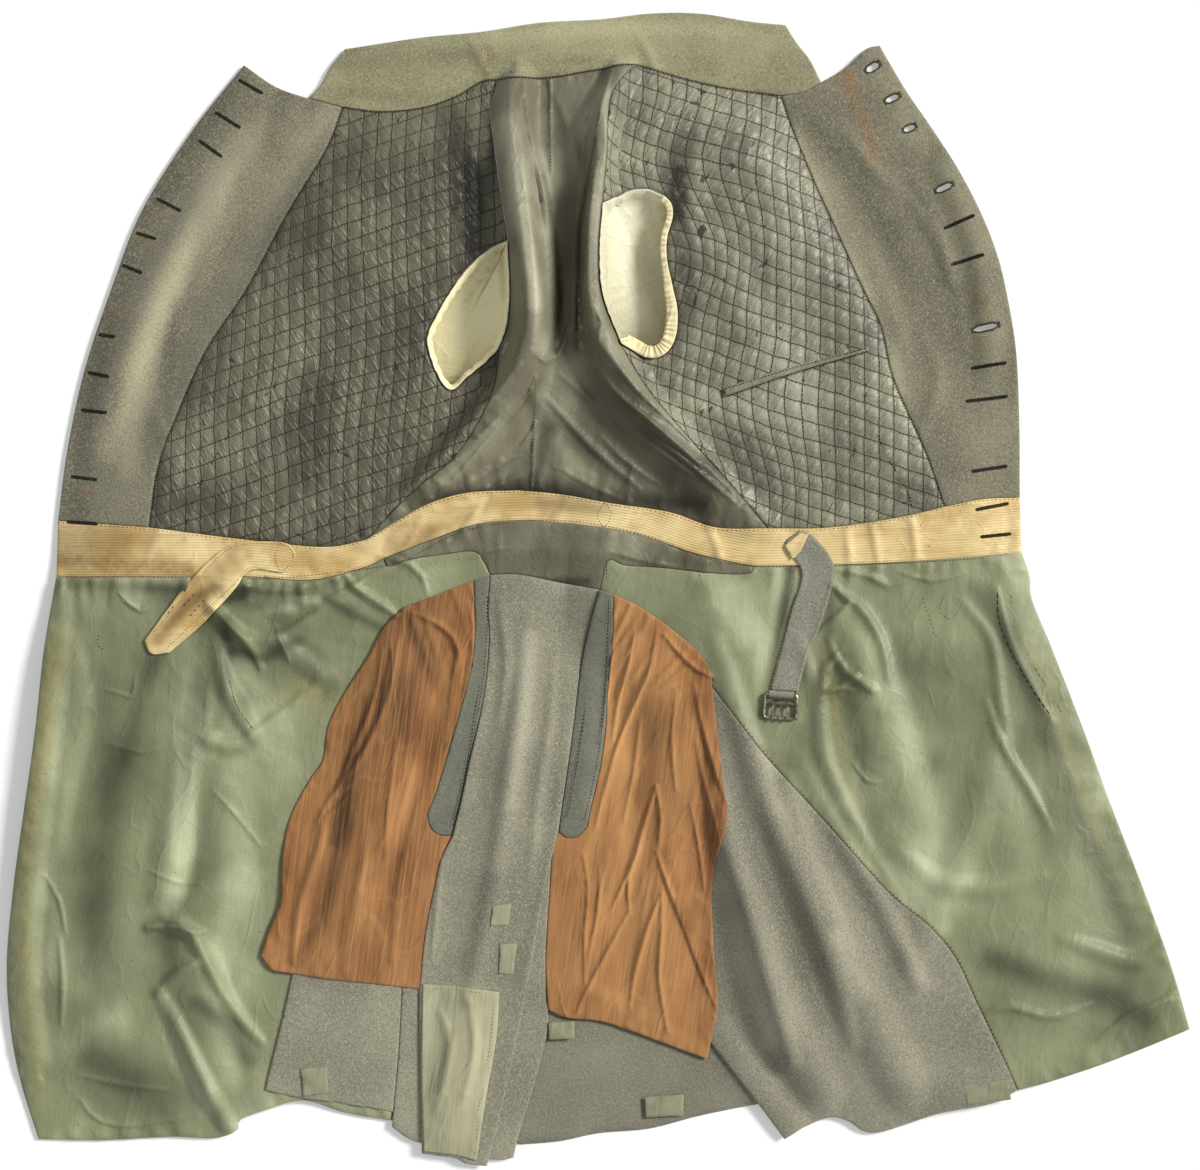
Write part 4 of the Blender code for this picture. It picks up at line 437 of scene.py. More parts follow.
    Crease("bag_right_e", 1.0, ((-239, -194, 1, 4, 5), (-241, -218, 3, 5, 6), (-249, -244, 3.4, 6, 7),
        (-260, -279, 3.4, 6, 7), (-265, -322, 2, 5, 6))),
    Crease("bag_right_f", 1.0, ((-174, -131, 1, 3, 4), (-180, -166, 2, 4, 4), (-183, -201, 2, 4, 4),
        (-185, -235, 1, 3, 3))),
    Crease("bag_right_g", 1.0, ((-152, -174, 1, 4, 5), (-164, -218, 3, 6, 7), (-174, -270, 3, 6, 7),
        (-180, -322, 1.5, 5, 5))),
    Crease("bag_right_h", 1.0, ((-197, -209, 1, 5, 6), (-207, -253, 3, 7, 8), (-216, -296, 3, 7, 8),
        (-220, -331, 1.5, 5, 6))),
    Crease("bag_right_i", 1.0, ((-147, -96, 0.8, 3, 4), (-157, -140, 2, 4, 5), (-169, -183, 2, 4, 5),
        (-176, -209, 0.8, 3, 3))),
    Crease("bag_right_j", 1.1, ((-214, -174, 0.8, 3, 3), (-225, -188, 2, 3, 3), (-237, -197, 1.6, 3, 3))),
    Crease("bag_right_k", 1.1, ((-136, -235, 0.8, 3, 4), (-141, -279, 2, 4, 5), (-145, -322, 1, 3, 4))),
    Crease("bag_right_l", 1.1, ((-112, -13, 0.8, 3, 3), (-108, -44, 2, 3, 4), (-115, -87, 2, 3, 4),
        (-129, -140, 1, 3, 3))),
    Crease("bag_left_a", 1.1, ((51, -35, 0.8, 3, 3), (45, -68, 2.4, 3, 4), (33, -96, 2.8, 3, 4),
        (20, -127, 2.8, 3, 4), (8, -166, 2.4, 3, 4), (-3, -207, 1, 3, 3))),
    Crease("bag_left_b", 1.1, ((31, -36, 0.8, 3, 3), (27, -62, 2.2, 3, 3), (18, -94, 2.4, 3, 4),
        (12, -131, 1, 3, 3))),
    Crease("bag_left_c", 1.2, ((50, -171, 1, 3, 3), (41, -201, 3, 3, 4), (32, -232, 3, 3, 4),
        (20, -260, 2.4, 3, 3), (10, -281, 1, 3, 3))),
    Crease("bag_left_d", 1.2, ((50, -171, 1, 3, 3), (54, -196, 2.4, 3, 3), (52, -228, 1, 3, 3))),
    Crease("bag_left_e", 1.2, ((26, -281, 1, 3, 3), (8, -315, 2.6, 3, 4), (-11, -351, 2.6, 3, 4),
        (-19, -369, 1, 3, 3))),
    Crease("bag_left_f", 1.2, ((50, -227, 1, 3, 3), (61, -258, 3, 3, 4), (75, -294, 3, 3, 4),
        (88, -329, 2.6, 3, 4), (101, -361, 1, 3, 3))),
    Crease("bag_left_g", 1.1, ((55, -258, 1, 3, 3), (55, -298, 2.4, 3, 4), (53, -338, 2.4, 3, 4),
        (60, -385, 1, 3, 3))),
    Crease("bag_left_h", 1.1, ((54, -264, 1, 3, 3), (43, -294, 2.4, 3, 4), (33, -329, 2.4, 3, 4),
        (27, -364, 1, 3, 3))),
    Crease("bag_left_i", 1.1, ((85, -131, 1, 3, 4), (91, -164, 2.6, 4, 4), (99, -194, 2.6, 4, 4),
        (104, -218, 1, 3, 3))),
    Crease("bag_left_j", 1.1, ((80, -187, 0.8, 3, 3), (87, -222, 2.2, 3, 3), (92, -261, 1, 3, 3))),
    Crease("bag_left_k", 1.1, ((-13, -231, 0.8, 3, 3), (-9, -262, 2, 3, 3), (-12, -301, 2, 3, 3),
        (-12, -344, 1, 3, 3))),
    Crease("bag_left_l", 1.1, ((1, -241, 0.8, 3, 3), (0, -276, 2, 3, 3), (-9, -321, 1, 3, 3))),
    Crease("bag_left_m", 1.2, ((37, -225, 0.8, 3, 3), (26, -253, 2.4, 3, 3), (27, -281, 1, 3, 3))),
    Crease("bag_left_n", 1.1, ((57, -39, 1, 3, 3), (71, -56, 2.6, 3, 4), (87, -70, 3, 4, 4),
        (99, -76, 1.5, 3, 3))),
    Crease("bag_left_o", 1.1, ((83, -82, 1, 3, 4), (91, -120, 3, 4, 4), (101, -155, 3, 4, 4),
        (111, -185, 1.5, 3, 3))),
    Crease("bag_left_p", 1.1, ((13, -39, 0.8, 3, 3), (8, -87, 2, 3, 3), (1, -133, 1, 3, 3))),
    Crease("bag_left_q", 1.1, ((67, -87, 0.8, 3, 3), (64, -131, 2, 3, 4), (67, -174, 1, 3, 3))),
    Crease("bag_left_r", 1.1, ((36, -114, 0.8, 3, 3), (31, -157, 2, 3, 4), (22, -201, 1, 3, 3))),
    Crease("waist_fold_a", 1.0, ((-312, 5, 1, 4, 6), (-279, 0, 3.6, 4, 8), (-253, 3, 4, 4, 9),
        (-230, 11, 3.6, 4, 8), (-207, 22, 1, 3, 5))),
    Crease("waist_fold_b", 1.0, ((-268, -9, 1, 5, 7), (-242, -11, 4, 5, 10), (-220, -2, 4.4, 5, 10),
        (-201, 10, 3.6, 4, 9), (-180, 20, 1, 3, 6))),
    Crease("waist_fold_c", 1.0, ((-335, -9, 1.5, 7, 10), (-318, -32, 6, 8, 14), (-298, -43, 8, 7, 19),
        (-269, -37, 7, 7, 21), (-244, -20, 5, 6, 17), (-216, -9, 1.5, 5, 9))),
    Crease("waist_fold_d", 1.2, ((-220, 13, 1.5, 4, 5), (-207, 0, 5, 6, 8), (-187, -13, 5, 6, 8),
        (-174, -23, 2, 4, 5))),
    Crease("waist_fold_e", 1.2, ((-191, 29, 1, 3, 5), (-167, 24, 3.4, 4, 7), (-154, 15, 3.4, 4, 7),
        (-148, -2, 1, 3, 5))),
    Crease("waist_fold_f", 1.3, ((-279, -33, 1, 3, 4), (-273, -48, 3, 4, 5), (-268, -61, 1, 3, 4))),
    Crease("waist_fold_g", 1.3, ((-416, -3, 0.8, 3, 3), (-406, -13, 2.4, 3, 4), (-395, -19, 2.4, 3, 4),
        (-388, -12, 1, 3, 3))),
    Crease("waist_left_a", 1.2, ((208, 17, 1, 4, 5), (233, 13, 3.4, 4, 7), (253, 4, 3, 4, 7),
        (279, 15, 1, 4, 5))),
    Crease("waist_left_b", 1.2, ((186, -44, 1, 4, 5), (200, -28, 3.4, 5, 7), (217, -14, 3, 5, 7),
        (207, 0, 1, 4, 5))),
    Crease("waist_left_c", 1.2, ((212, -51, 1, 4, 5), (194, -75, 3.6, 5, 8), (202, -89, 3.4, 5, 8),
        (229, -68, 1, 4, 5))),
    Crease("waist_left_d", 1.3, ((262, 15, 0.8, 3, 4), (288, 8, 2.2, 4, 5), (313, 13, 0.8, 3, 4))),
    Crease("waist_left_e", 1.2, ((337, -96, 1, 5, 7), (349, -131, 3.4, 7, 9), (375, -174, 3.4, 7, 9),
        (393, -209, 1, 5, 7))),
    Crease("tail_fold_a", 1.3, ((-112, 26, 0.8, 3, 4), (-98, 33, 2.2, 3, 4), (-80, 36, 0.8, 3, 4))),
    Crease("tail_fold_b", 1.3, ((10, 33, 0.8, 3, 4), (36, 26, 2.4, 3, 5), (67, 20, 0.8, 3, 4))),
    Crease("back_drag_a", 1.2, ((-159, 83, 0.8, 3, 4), (-138, 100, 2.4, 3, 5), (-112, 120, 2.4, 3, 5),
        (-86, 149, 0.8, 3, 4))),
    Crease("back_drag_b", 1.2, ((38, 139, 0.8, 3, 4), (71, 114, 2.6, 4, 5), (106, 85, 2, 3, 4),
        (125, 69, 0.8, 3, 4))),
    Crease("back_drag_c", 1.2, ((1, 134, 0.8, 3, 4), (24, 111, 2.4, 4, 5), (54, 90, 0.8, 3, 4))),
    Crease("back_drag_d", 1.2, ((-86, 104, 0.8, 3, 4), (-68, 120, 2, 3, 5), (-54, 144, 0.8, 3, 4))),
)

# Painted highlights with some wear (above 0), painted shade and painted shadows (below 0), and stained places
# of a panel. The light and shade rows paint the lit crests of folds, their shaded hollows and the shadows
# that folds and straps cast. Each row is one soft strip, a run of bends:
# x, y, how strong, and how far it fades to the left and the right of the run
MARKS = {
    ("collar_inner", "painted_light_and_wear"): (
        ((-221, 457, -0.3, 12, 12), (-173, 469, -0.2, 14, 14), (-112, 464, -0.35, 12, 12)),
        ((-86, 478, 0.5, 23, 26), (1, 482, 0.6, 24, 26), (88, 483, 0.5, 23, 26), (141, 469, 0.4, 21, 21)),
        ((-234, 433, -0.4, 10, 10), (-155, 426, -0.35, 10, 10), (-86, 438, -0.4, 9, 9), (1, 447, -0.45, 9, 9),
         (88, 440, -0.35, 9, 9), (167, 429, -0.4, 9, 9)),
    ),
    ("collar_inner", "stain"): (
        ((-220, 469, 0.7, 8, 8), (-202, 473, 0.4, 7, 7)),
        ((-98, 469, 0.9, 9, 10), (-93, 455, 0.7, 8, 9), (-96, 440, 0.5, 7, 7)),
        ((-25, 462, 0.7, 7, 7), (-7, 461, 0.5, 7, 7)),
        ((149, 461, 0.5, 9, 9), (175, 440, 0.5, 9, 9)),
        ((19, 450, 0.5, 5, 6), (88, 450, 0.5, 5, 6), (141, 443, 0.4, 5, 6)),
    ),
    ("facing_right", "painted_light_and_wear"): (
        ((-310, 459, -0.7, 23, 30), (-355, 391, -0.75, 24, 28), (-399, 313, -0.75, 24, 28),
         (-429, 226, -0.7, 23, 26), (-448, 139, -0.65, 23, 26), (-455, 60, -0.6, 21, 24)),
        ((-293, 408, 0.35, 19, 23), (-326, 360, 0.8, 19, 24), (-362, 287, 0.9, 19, 24),
         (-390, 217, 0.9, 19, 23), (-406, 147, 0.7, 19, 21), (-408, 104, 0.4, 17, 19)),
        ((-234, 417, 0.35, 17, 17), (-260, 382, 0.3, 17, 19), (-291, 321, 0.25, 17, 19),
         (-335, 226, 0.15, 16, 17)),
        ((-268, 440, -0.4, 14, 16), (-284, 391, -0.25, 10, 12)),
        ((-368, 252, -0.3, 9, 10), (-376, 182, -0.35, 10, 10), (-371, 130, -0.2, 10, 10)),
    ),
    ("facing_right", "stain"): (
        ((-406, 247, 0.5, 7, 7), (-418, 234, 0.5, 7, 7)),
        ((-385, 327, 0.6, 6, 7), (-375, 332, 0.5, 5, 5)),
        ((-402, 311, 0.6, 7, 8), (-390, 299, 0.5, 5, 5)),
        ((-449, 87, 0.5, 8, 8), (-437, 81, 0.4, 6, 6)),
    ),
    ("facing_left", "painted_light_and_wear"): (
        ((245, 469, 0.3, 19, 23), (262, 435, 0.35, 21, 26), (284, 391, 0.2, 19, 23)),
        ((306, 365, 0.3, 16, 19), (328, 304, 0.35, 17, 21), (342, 226, 0.35, 17, 21), (348, 147, 0.1, 17, 19),
         (353, 95, -0.1, 16, 17)),
        ((175, 417, -0.35, 16, 17), (210, 374, -0.55, 21, 23), (248, 313, -0.5, 24, 26),
         (280, 234, -0.35, 24, 26), (288, 165, -0.25, 23, 24), (306, 104, -0.35, 23, 24)),
        ((175, 391, 0.2, 10, 12), (198, 330, 0.25, 10, 12), (234, 252, 0.25, 10, 12),
         (262, 174, 0.3, 10, 10)),
        ((273, 356, -0.5, 5, 7), (294, 313, -0.6, 5, 7), (308, 261, -0.4, 5, 7), (316, 208, -0.3, 5, 7)),
    ),
    ("facing_left", "stain"): (
        ((217, 450, 0.9, 9, 10), (224, 426, 0.7, 10, 10), (236, 400, 0.9, 10, 10), (240, 375, 0.8, 9, 9)),
        ((210, 455, 0.5, 12, 14), (221, 436, 0.4, 12, 12)),
        ((280, 381, 0.8, 3, 4), (301, 386, 0.7, 3, 4)),
        ((302, 332, 0.6, 5, 5), (313, 335, 0.5, 5, 5)),
        ((325, 252, 0.6, 7, 7), (346, 247, 0.5, 7, 7)),
        ((327, 213, 0.5, 6, 6), (349, 217, 0.5, 6, 6)),
        ((323, 94, 0.6, 5, 5), (349, 95, 0.5, 5, 5)),
    ),
    ("back_lining", "painted_light_and_wear"): (
        ((-86, 440, 0.35, 14, 14), (-75, 391, 0.6, 12, 12), (-65, 321, 0.6, 11, 11), (-54, 261, 0.6, 10, 10),
         (-51, 208, 0.4, 10, 10)),
        ((-33, 435, -0.2, 14, 14), (-25, 374, -0.2, 14, 14), (-27, 304, -0.4, 12, 14),
         (-32, 252, -0.6, 12, 14), (-32, 208, -0.5, 10, 12)),
        ((10, 426, 0.3, 12, 12), (1, 339, 0.45, 10, 10), (-7, 269, 0.3, 10, 10), (1, 226, 0.3, 12, 12),
         (36, 174, 0.35, 14, 14), (88, 121, 0.3, 14, 14)),
        ((-86, 139, 0.3, 12, 12), (-120, 104, 0.35, 12, 12), (-147, 78, 0.3, 10, 10)),
        ((-33, 130, 0.3, 14, 14), (1, 87, 0.35, 14, 14)),
        ((-155, 78, -0.4, 14, 14), (-112, 78, -0.5, 14, 16), (-60, 90, -0.55, 16, 16), (-7, 78, -0.4, 14, 14),
         (88, 73, -0.4, 12, 12)),
        ((-60, 165, -0.5, 10, 10), (-44, 139, -0.5, 12, 12), (-54, 104, -0.4, 12, 12)),
        ((36, 139, -0.35, 9, 10), (71, 111, -0.35, 9, 10), (106, 83, -0.3, 9, 9)),
        # painted shadow in the hollow between the two back folds
        ((2, 408, -0.5, 3, 4), (-7, 365, -0.7, 3, 4), (-16, 313, -0.85, 3, 5), (-18, 252, -0.85, 3, 5),
         (-19, 208, -0.6, 3, 5)),
        ((-138, 78, -0.5, 17, 19), (-33, 85, -0.45, 21, 21), (88, 73, -0.4, 17, 17)),
        ((-82, 408, 0.4, 8, 10), (-74, 356, 0.45, 8, 10), (-61, 295, 0.45, 8, 10), (-53, 243, 0.4, 8, 10)),
        ((-46, 356, -0.4, 3, 7), (-37, 304, -0.5, 3, 7), (-33, 252, -0.5, 3, 7), (-37, 208, -0.5, 4, 7)),
        ((-20, 130, -0.5, 21, 17), (1, 113, -0.5, 21, 16), (27, 95, -0.4, 16, 14)),
    ),
    ("back_lining_tail", "painted_light_and_wear"): (
        ((-147, 26, -0.3, 12, 12), (-68, 26, -0.1, 12, 12), (1, 26, -0.2, 12, 12), (88, 24, -0.3, 12, 12)),
        ((-86, 5, -0.75, 9, 7), (-47, 5, -0.75, 7, 7), (-9, 7, -0.7, 7, 7)),
    ),
    ("waistband", "painted_light_and_wear"): (
        ((-468, 43, -0.55, 35, 35), (-425, 43, -0.35, 35, 35)),
        ((-468, 24, -0.4, 10, 10), (-303, 15, -0.3, 9, 9)),
        ((-260, 39, 0.25, 17, 17), (-190, 39, 0.2, 17, 17)),
        ((19, 64, 0.35, 17, 21), (88, 47, 0.5, 23, 24), (193, 34, 0.6, 23, 24), (315, 43, 0.5, 23, 24)),
        ((-138, 55, -0.35, 14, 14), (-86, 74, -0.3, 14, 14), (-33, 78, -0.25, 12, 12)),
        ((262, 60, -0.15, 7, 7), (266, 26, -0.15, 7, 7)),
        ((360, 60, -0.35, 9, 9), (361, 26, -0.35, 9, 9)),
        ((-157, 26, -0.3, 12, 12), (-147, 47, -0.35, 12, 12), (-173, 13, -0.2, 7, 7)),
        ((-234, 10, -0.3, 8, 8), (-181, 7, -0.35, 8, 8), (-138, 20, -0.3, 8, 8)),
        ((-416, 43, -0.35, 21, 21), (-364, 39, -0.25, 21, 21)),
        ((141, 24, 0.3, 9, 9), (262, 24, 0.3, 8, 9), (332, 29, 0.25, 8, 9)),
        ((-173, 39, -0.5, 16, 17), (-147, 50, -0.45, 12, 14)),
        ((-47, 71, -0.5, 17, 10), (-16, 71, -0.7, 21, 10), (19, 66, -0.5, 17, 10)),
    ),
    ("waistband", "stain"): (
        ((-460, 26, 0.5, 17, 19), (-347, 15, 0.5, 10, 10), (-294, 12, 0.4, 7, 7)),
        ((-470, 78, 0.5, 7, 7), (-425, 76, 0.4, 5, 5)),
        ((-355, 69, 0.5, 5, 6), (-359, 43, 0.4, 6, 6)),
    ),
    ("skirt_lining_right", "stain"): (
        ((-468, -44, 0.55, 16, 19), (-482, -148, 0.65, 12, 19), (-498, -253, 0.6, 10, 17),
         (-496, -357, 0.5, 10, 16), (-482, -444, 0.4, 10, 14)),
        ((-260, -87, 0.6, 19, 21), (-234, -96, 0.4, 16, 16)),
    ),
    ("skirt_lining_right", "painted_light_and_wear"): (
        ((-451, -27, -0.1, 17, 21), (-460, -96, 0.2, 19, 23), (-468, -183, 0.25, 16, 19),
         (-481, -270, 0.2, 12, 17)),
        ((-422, -148, -0.45, 28, 35), (-428, -209, -0.5, 30, 38), (-435, -288, -0.5, 30, 38),
         (-434, -357, -0.5, 28, 31)),
        ((-347, -61, 0.2, 16, 17), (-350, -131, 0.5, 17, 21), (-364, -209, 0.6, 19, 23),
         (-371, -270, 0.6, 17, 21)),
        ((-322, -27, -0.5, 12, 12), (-324, -79, -0.6, 10, 12), (-328, -114, -0.5, 10, 10)),
        ((-390, 0, -0.45, 21, 21), (-312, -6, -0.5, 16, 16), (-260, -44, -0.35, 17, 17),
         (-234, -87, -0.5, 16, 16)),
        ((-347, -357, -0.6, 12, 14), (-324, -375, -0.7, 12, 14), (-305, -409, -0.6, 14, 14)),
        ((-381, -357, 0.3, 10, 12), (-364, -409, 0.5, 12, 14), (-341, -453, 0.4, 12, 12)),
        ((-293, -166, 0.15, 17, 19), (-293, -235, 0.2, 17, 19), (-303, -296, 0.1, 16, 16)),
        ((-408, -427, -0.4, 26, 26), (-442, -409, -0.35, 21, 21)),
        ((-468, 5, -0.4, 9, 9), (-364, 1, -0.4, 9, 9), (-260, 0, -0.3, 9, 9)),
        ((-350, -27, -0.8, 9, 10), (-328, -9, -0.85, 10, 10), (-305, -2, -0.7, 9, 9)),
        ((-315, -54, -0.6, 9, 10), (-293, -61, -0.5, 9, 10), (-260, -44, -0.45, 9, 10)),
        ((-234, -9, -0.6, 7, 9), (-216, -20, -0.75, 8, 10), (-190, -32, -0.6, 7, 9)),
        ((-294, -20, 0.35, 7, 8), (-268, -16, 0.4, 7, 8), (-242, -9, 0.3, 7, 8)),
        ((-307, -96, -0.35, 14, 16), (-298, -166, -0.3, 16, 17), (-293, -235, -0.25, 16, 17)),
        ((-378, -44, -0.55, 12, 16), (-399, -96, -0.45, 14, 16), (-409, -148, -0.4, 14, 16)),
        ((-350, -96, 0.45, 12, 14), (-354, -166, 0.5, 14, 17), (-362, -227, 0.55, 16, 19)),
        ((-359, -131, 0.5, 12, 16), (-355, -227, 0.6, 12, 16), (-361, -261, 0.3, 10, 12)),
        ((-425, -131, -0.15, 30, 44), (-430, -218, -0.2, 30, 49), (-434, -296, -0.15, 30, 44)),
        ((-425, -401, -0.3, 35, 44), (-381, -444, -0.35, 35, 44)),
        ((-373, -18, -0.35, 23, 24), (-342, -27, -0.4, 21, 21), (-268, -79, -0.3, 19, 23)),
    ),
    ("skirt_lining_left", "painted_light_and_wear"): (
        ((106, -9, 0.3, 23, 24), (141, -44, 0.4, 19, 19), (154, -96, 0.35, 16, 16)),
        ((175, -27, -0.45, 12, 17), (175, -79, -0.3, 10, 16)),
        ((245, -44, 0.25, 17, 21), (262, -114, 0.3, 21, 23), (288, -183, 0.3, 23, 24),
         (315, -235, 0.2, 23, 24)),
        ((219, -96, -0.25, 12, 14), (231, -148, -0.35, 12, 14), (236, -201, -0.2, 12, 14),
         (245, -253, -0.1, 12, 14)),
        ((332, 0, -0.4, 14, 17), (358, -44, -0.5, 14, 17), (384, -114, -0.45, 14, 16),
         (419, -201, -0.4, 16, 17), (462, -296, -0.5, 17, 19)),
        ((341, -322, -0.6, 19, 23), (393, -340, -0.6, 21, 23), (445, -357, -0.7, 21, 23),
         (480, -375, -0.6, 17, 17)),
        ((349, -131, 0.3, 17, 19), (367, -201, 0.3, 19, 21), (375, -270, 0.15, 19, 21)),
        # painted shadow cast by the strap
        ((167, 20, -0.9, 8, 9), (159, -27, -0.95, 9, 10), (147, -79, -0.7, 8, 9), (142, -107, -0.3, 7, 7)),
        ((203, 0, -0.5, 7, 9), (198, -44, -0.45, 7, 9), (191, -96, -0.4, 7, 9)),
        ((215, -27, 0.25, 10, 12), (229, -44, 0.35, 12, 14), (245, -96, 0.25, 12, 14)),
        ((88, 15, 0.3, 12, 14), (123, 0, 0.6, 14, 17), (144, -44, 0.5, 12, 16), (141, -96, 0.3, 12, 12)),
        ((109, -9, 0.4, 14, 17), (127, -44, 0.4, 14, 17)),
        ((349, -44, -0.25, 35, 52), (384, -131, -0.2, 35, 52), (297, -61, -0.2, 26, 35)),
    ),
    ("skirt_lining_left", "stain"): (
        ((198, -53, 0.3, 10, 12), (203, -96, 0.4, 10, 12), (214, -157, 0.3, 10, 10),
         (228, -192, 0.2, 10, 10)),
        ((375, -44, 0.3, 7, 8), (402, -122, 0.35, 7, 8), (436, -218, 0.3, 7, 8)),
    ),
    ("pleat_left", "painted_light_and_wear"): (
        ((99, 8, -0.2, 12, 14), (107, -61, -0.4, 14, 16), (102, -131, -0.3, 14, 16)),
        ((123, -79, 0.3, 12, 14), (149, -148, 0.5, 16, 17), (175, -218, 0.6, 16, 17),
         (207, -288, 0.5, 16, 17), (228, -348, 0.4, 14, 16)),
        ((123, -183, -0.35, 12, 12), (149, -253, -0.6, 14, 14), (175, -322, -0.6, 14, 16),
         (193, -375, -0.4, 14, 16)),
        ((106, -253, 0.3, 12, 14), (127, -322, 0.5, 14, 16), (149, -392, 0.5, 14, 16)),
        ((201, -166, 0.2, 10, 12), (241, -253, 0.2, 12, 14), (288, -340, 0.2, 12, 14)),
        ((119, -53, -0.45, 12, 14), (125, -114, -0.45, 12, 14), (149, -218, -0.35, 12, 12)),
        ((158, -166, -0.6, 12, 14), (175, -227, -0.6, 12, 14), (201, -288, -0.5, 12, 14)),
    ),
    ("tail", "painted_light_and_wear"): (
        ((-86, 0, -0.35, 12, 12), (-87, -79, -0.2, 12, 12), (-98, -183, -0.3, 12, 12)),
        ((-60, -44, 0.5, 14, 16), (-65, -114, 0.45, 16, 16), (-75, -183, 0.4, 16, 16)),
        ((-33, -9, -0.2, 7, 9), (-32, -114, -0.3, 7, 9), (-42, -218, -0.3, 7, 9), (-68, -340, -0.3, 7, 9)),
        ((-94, -253, -0.5, 17, 17), (-112, -322, -0.3, 17, 17)),
        ((-68, -235, -0.35, 35, 35), (-86, -322, -0.4, 35, 35)),
    ),
    ("tail_patch", "painted_light_and_wear"): (
        ((-147, -357, 0.3, 10, 12), (-152, -427, 0.25, 10, 12)),
        ((-127, -383, -0.35, 7, 7), (-134, -409, -0.35, 8, 8), (-141, -435, -0.3, 8, 8)),
        ((-103, -366, 0.2, 10, 10), (-108, -427, 0.1, 10, 10)),
        ((-86, -366, 0.25, 9, 10), (-93, -435, 0.2, 9, 10)),
    ),
    ("pocket_bag_right", "painted_light_and_wear"): (
        ((-127, -44, 0.1, 10, 12), (-147, -96, 0.5, 16, 17), (-164, -157, 0.6, 16, 17),
         (-176, -218, 0.4, 16, 17)),
        ((-214, -148, -0.4, 9, 10), (-221, -209, -0.6, 12, 12), (-234, -270, -0.5, 12, 12),
         (-260, -322, -0.4, 10, 10)),
        ((-138, -235, -0.2, 10, 10), (-141, -305, -0.1, 10, 10)),
        ((-197, -61, 0.2, 9, 9), (-214, -114, 0.2, 9, 9)),
        ((-171, -13, -0.5, 9, 10), (-155, -44, -0.55, 10, 12), (-138, -87, -0.3, 10, 10)),
        ((-197, -96, -0.35, 9, 10), (-216, -157, -0.5, 9, 10), (-228, -218, -0.55, 10, 10)),
        ((-180, -53, -0.6, 4, 5), (-195, -122, -0.6, 4, 5), (-221, -173, -0.5, 4, 5)),
        ((-173, -9, -0.5, 96, 96), (-185, -148, -0.4, 96, 96), (-190, -340, -0.1, 96, 96)),
        ((-164, -131, -0.35, 17, 35), (-173, -87, -0.3, 16, 26)),
    ),
    ("pocket_bag_left", "painted_light_and_wear"): (
        ((36, -44, 0.35, 12, 14), (27, -114, 0.5, 14, 16), (20, -183, 0.5, 16, 17), (36, -253, 0.45, 17, 17)),
        ((88, -96, -0.5, 9, 10), (95, -166, -0.6, 10, 10), (99, -235, -0.3, 10, 10)),
        ((-25, -270, 0.0, 7, 7), (-16, -340, 0.3, 10, 10), (36, -366, 0.3, 12, 12), (80, -392, 0.2, 10, 10)),
        ((57, -227, -0.3, 9, 9), (80, -296, -0.3, 9, 9)),
        ((20, -20, 0.3, 10, 12), (12, -96, 0.45, 12, 14), (7, -174, 0.5, 12, 14), (-7, -227, 0.35, 10, 10)),
        ((54, -192, -0.5, 4, 5), (45, -235, -0.55, 4, 5), (29, -270, -0.4, 4, 5)),
        ((67, -270, -0.5, 4, 5), (80, -305, -0.5, 4, 5), (92, -340, -0.4, 4, 5)),
        ((45, -9, 0.15, 78, 78), (36, -148, 0.35, 78, 78), (36, -340, 0.3, 78, 78)),
        ((26, -96, 0.35, 14, 31), (36, -148, 0.3, 14, 26)),
    ),
    ("strap_right", "painted_light_and_wear"): (
        ((-268, 33, 0.3, 10, 12), (-312, 29, 0.1, 10, 10), (-347, -2, -0.15, 10, 10),
         (-375, -30, -0.2, 10, 10)),
        ((-312, 33, -0.35, 14, 14), (-350, -4, -0.4, 14, 14), (-381, -39, -0.4, 14, 14)),
        ((-331, 1, -0.8, 10, 10), (-355, -14, -0.5, 10, 10), (-381, -44, -0.4, 10, 10)),
    ),
    ("strap_right", "stain"): (
        ((-362, -13, 0.6, 4, 4), (-341, -2, 0.4, 4, 4)),
    ),
    ("strap_left", "painted_light_and_wear"): (
        ((175, 26, 0.2, 10, 10), (181, -27, 0.1, 10, 10), (163, -87, 0.0, 10, 10)),
    ),
    ("quilt_right", "painted_light_and_wear"): (
        # painted shadow that the back fold casts on the quilt
        ((-127, 408, -0.6, 23, 26), (-112, 356, -0.95, 23, 26), (-108, 295, -0.95, 21, 23),
         (-115, 243, -0.7, 21, 21)),
        ((-225, 400, 0.1, 17, 21), (-260, 321, 0.15, 23, 24), (-303, 226, 0.25, 26, 26),
         (-338, 147, 0.3, 26, 26), (-355, 95, 0.35, 23, 23)),
        ((-216, 269, -0.35, 26, 26), (-234, 182, -0.45, 30, 30), (-251, 104, -0.35, 30, 26)),
        ((-173, 356, 0.15, 17, 17), (-190, 287, 0.1, 16, 16)),
        ((-107, 365, -0.5, 10, 19), (-103, 330, -0.4, 9, 17)),
        ((-260, 200, 0.35, 35, 35), (-312, 113, 0.35, 35, 35), (-216, 113, 0.3, 35, 35)),
    ),
    ("quilt_left", "painted_light_and_wear"): (
        # painted shade beside the back fold
        ((80, 408, -0.4, 19, 23), (69, 360, -0.9, 21, 24), (73, 304, -0.7, 12, 23), (80, 252, -0.6, 10, 19),
         (67, 200, -0.4, 10, 17)),
        ((149, 374, 0.3, 24, 26), (167, 287, 0.25, 26, 28), (175, 200, 0.2, 28, 30), (184, 130, 0.2, 26, 26)),
        ((106, 147, -0.25, 19, 19), (141, 95, -0.3, 21, 21)),
        ((71, 356, -0.5, 14, 14), (67, 321, -0.3, 10, 14)),
        ((106, 304, 0.35, 23, 26), (141, 226, 0.35, 26, 26), (175, 147, 0.3, 31, 31), (88, 165, 0.3, 23, 26)),
    ),
    ("quilt_left", "stain"): (
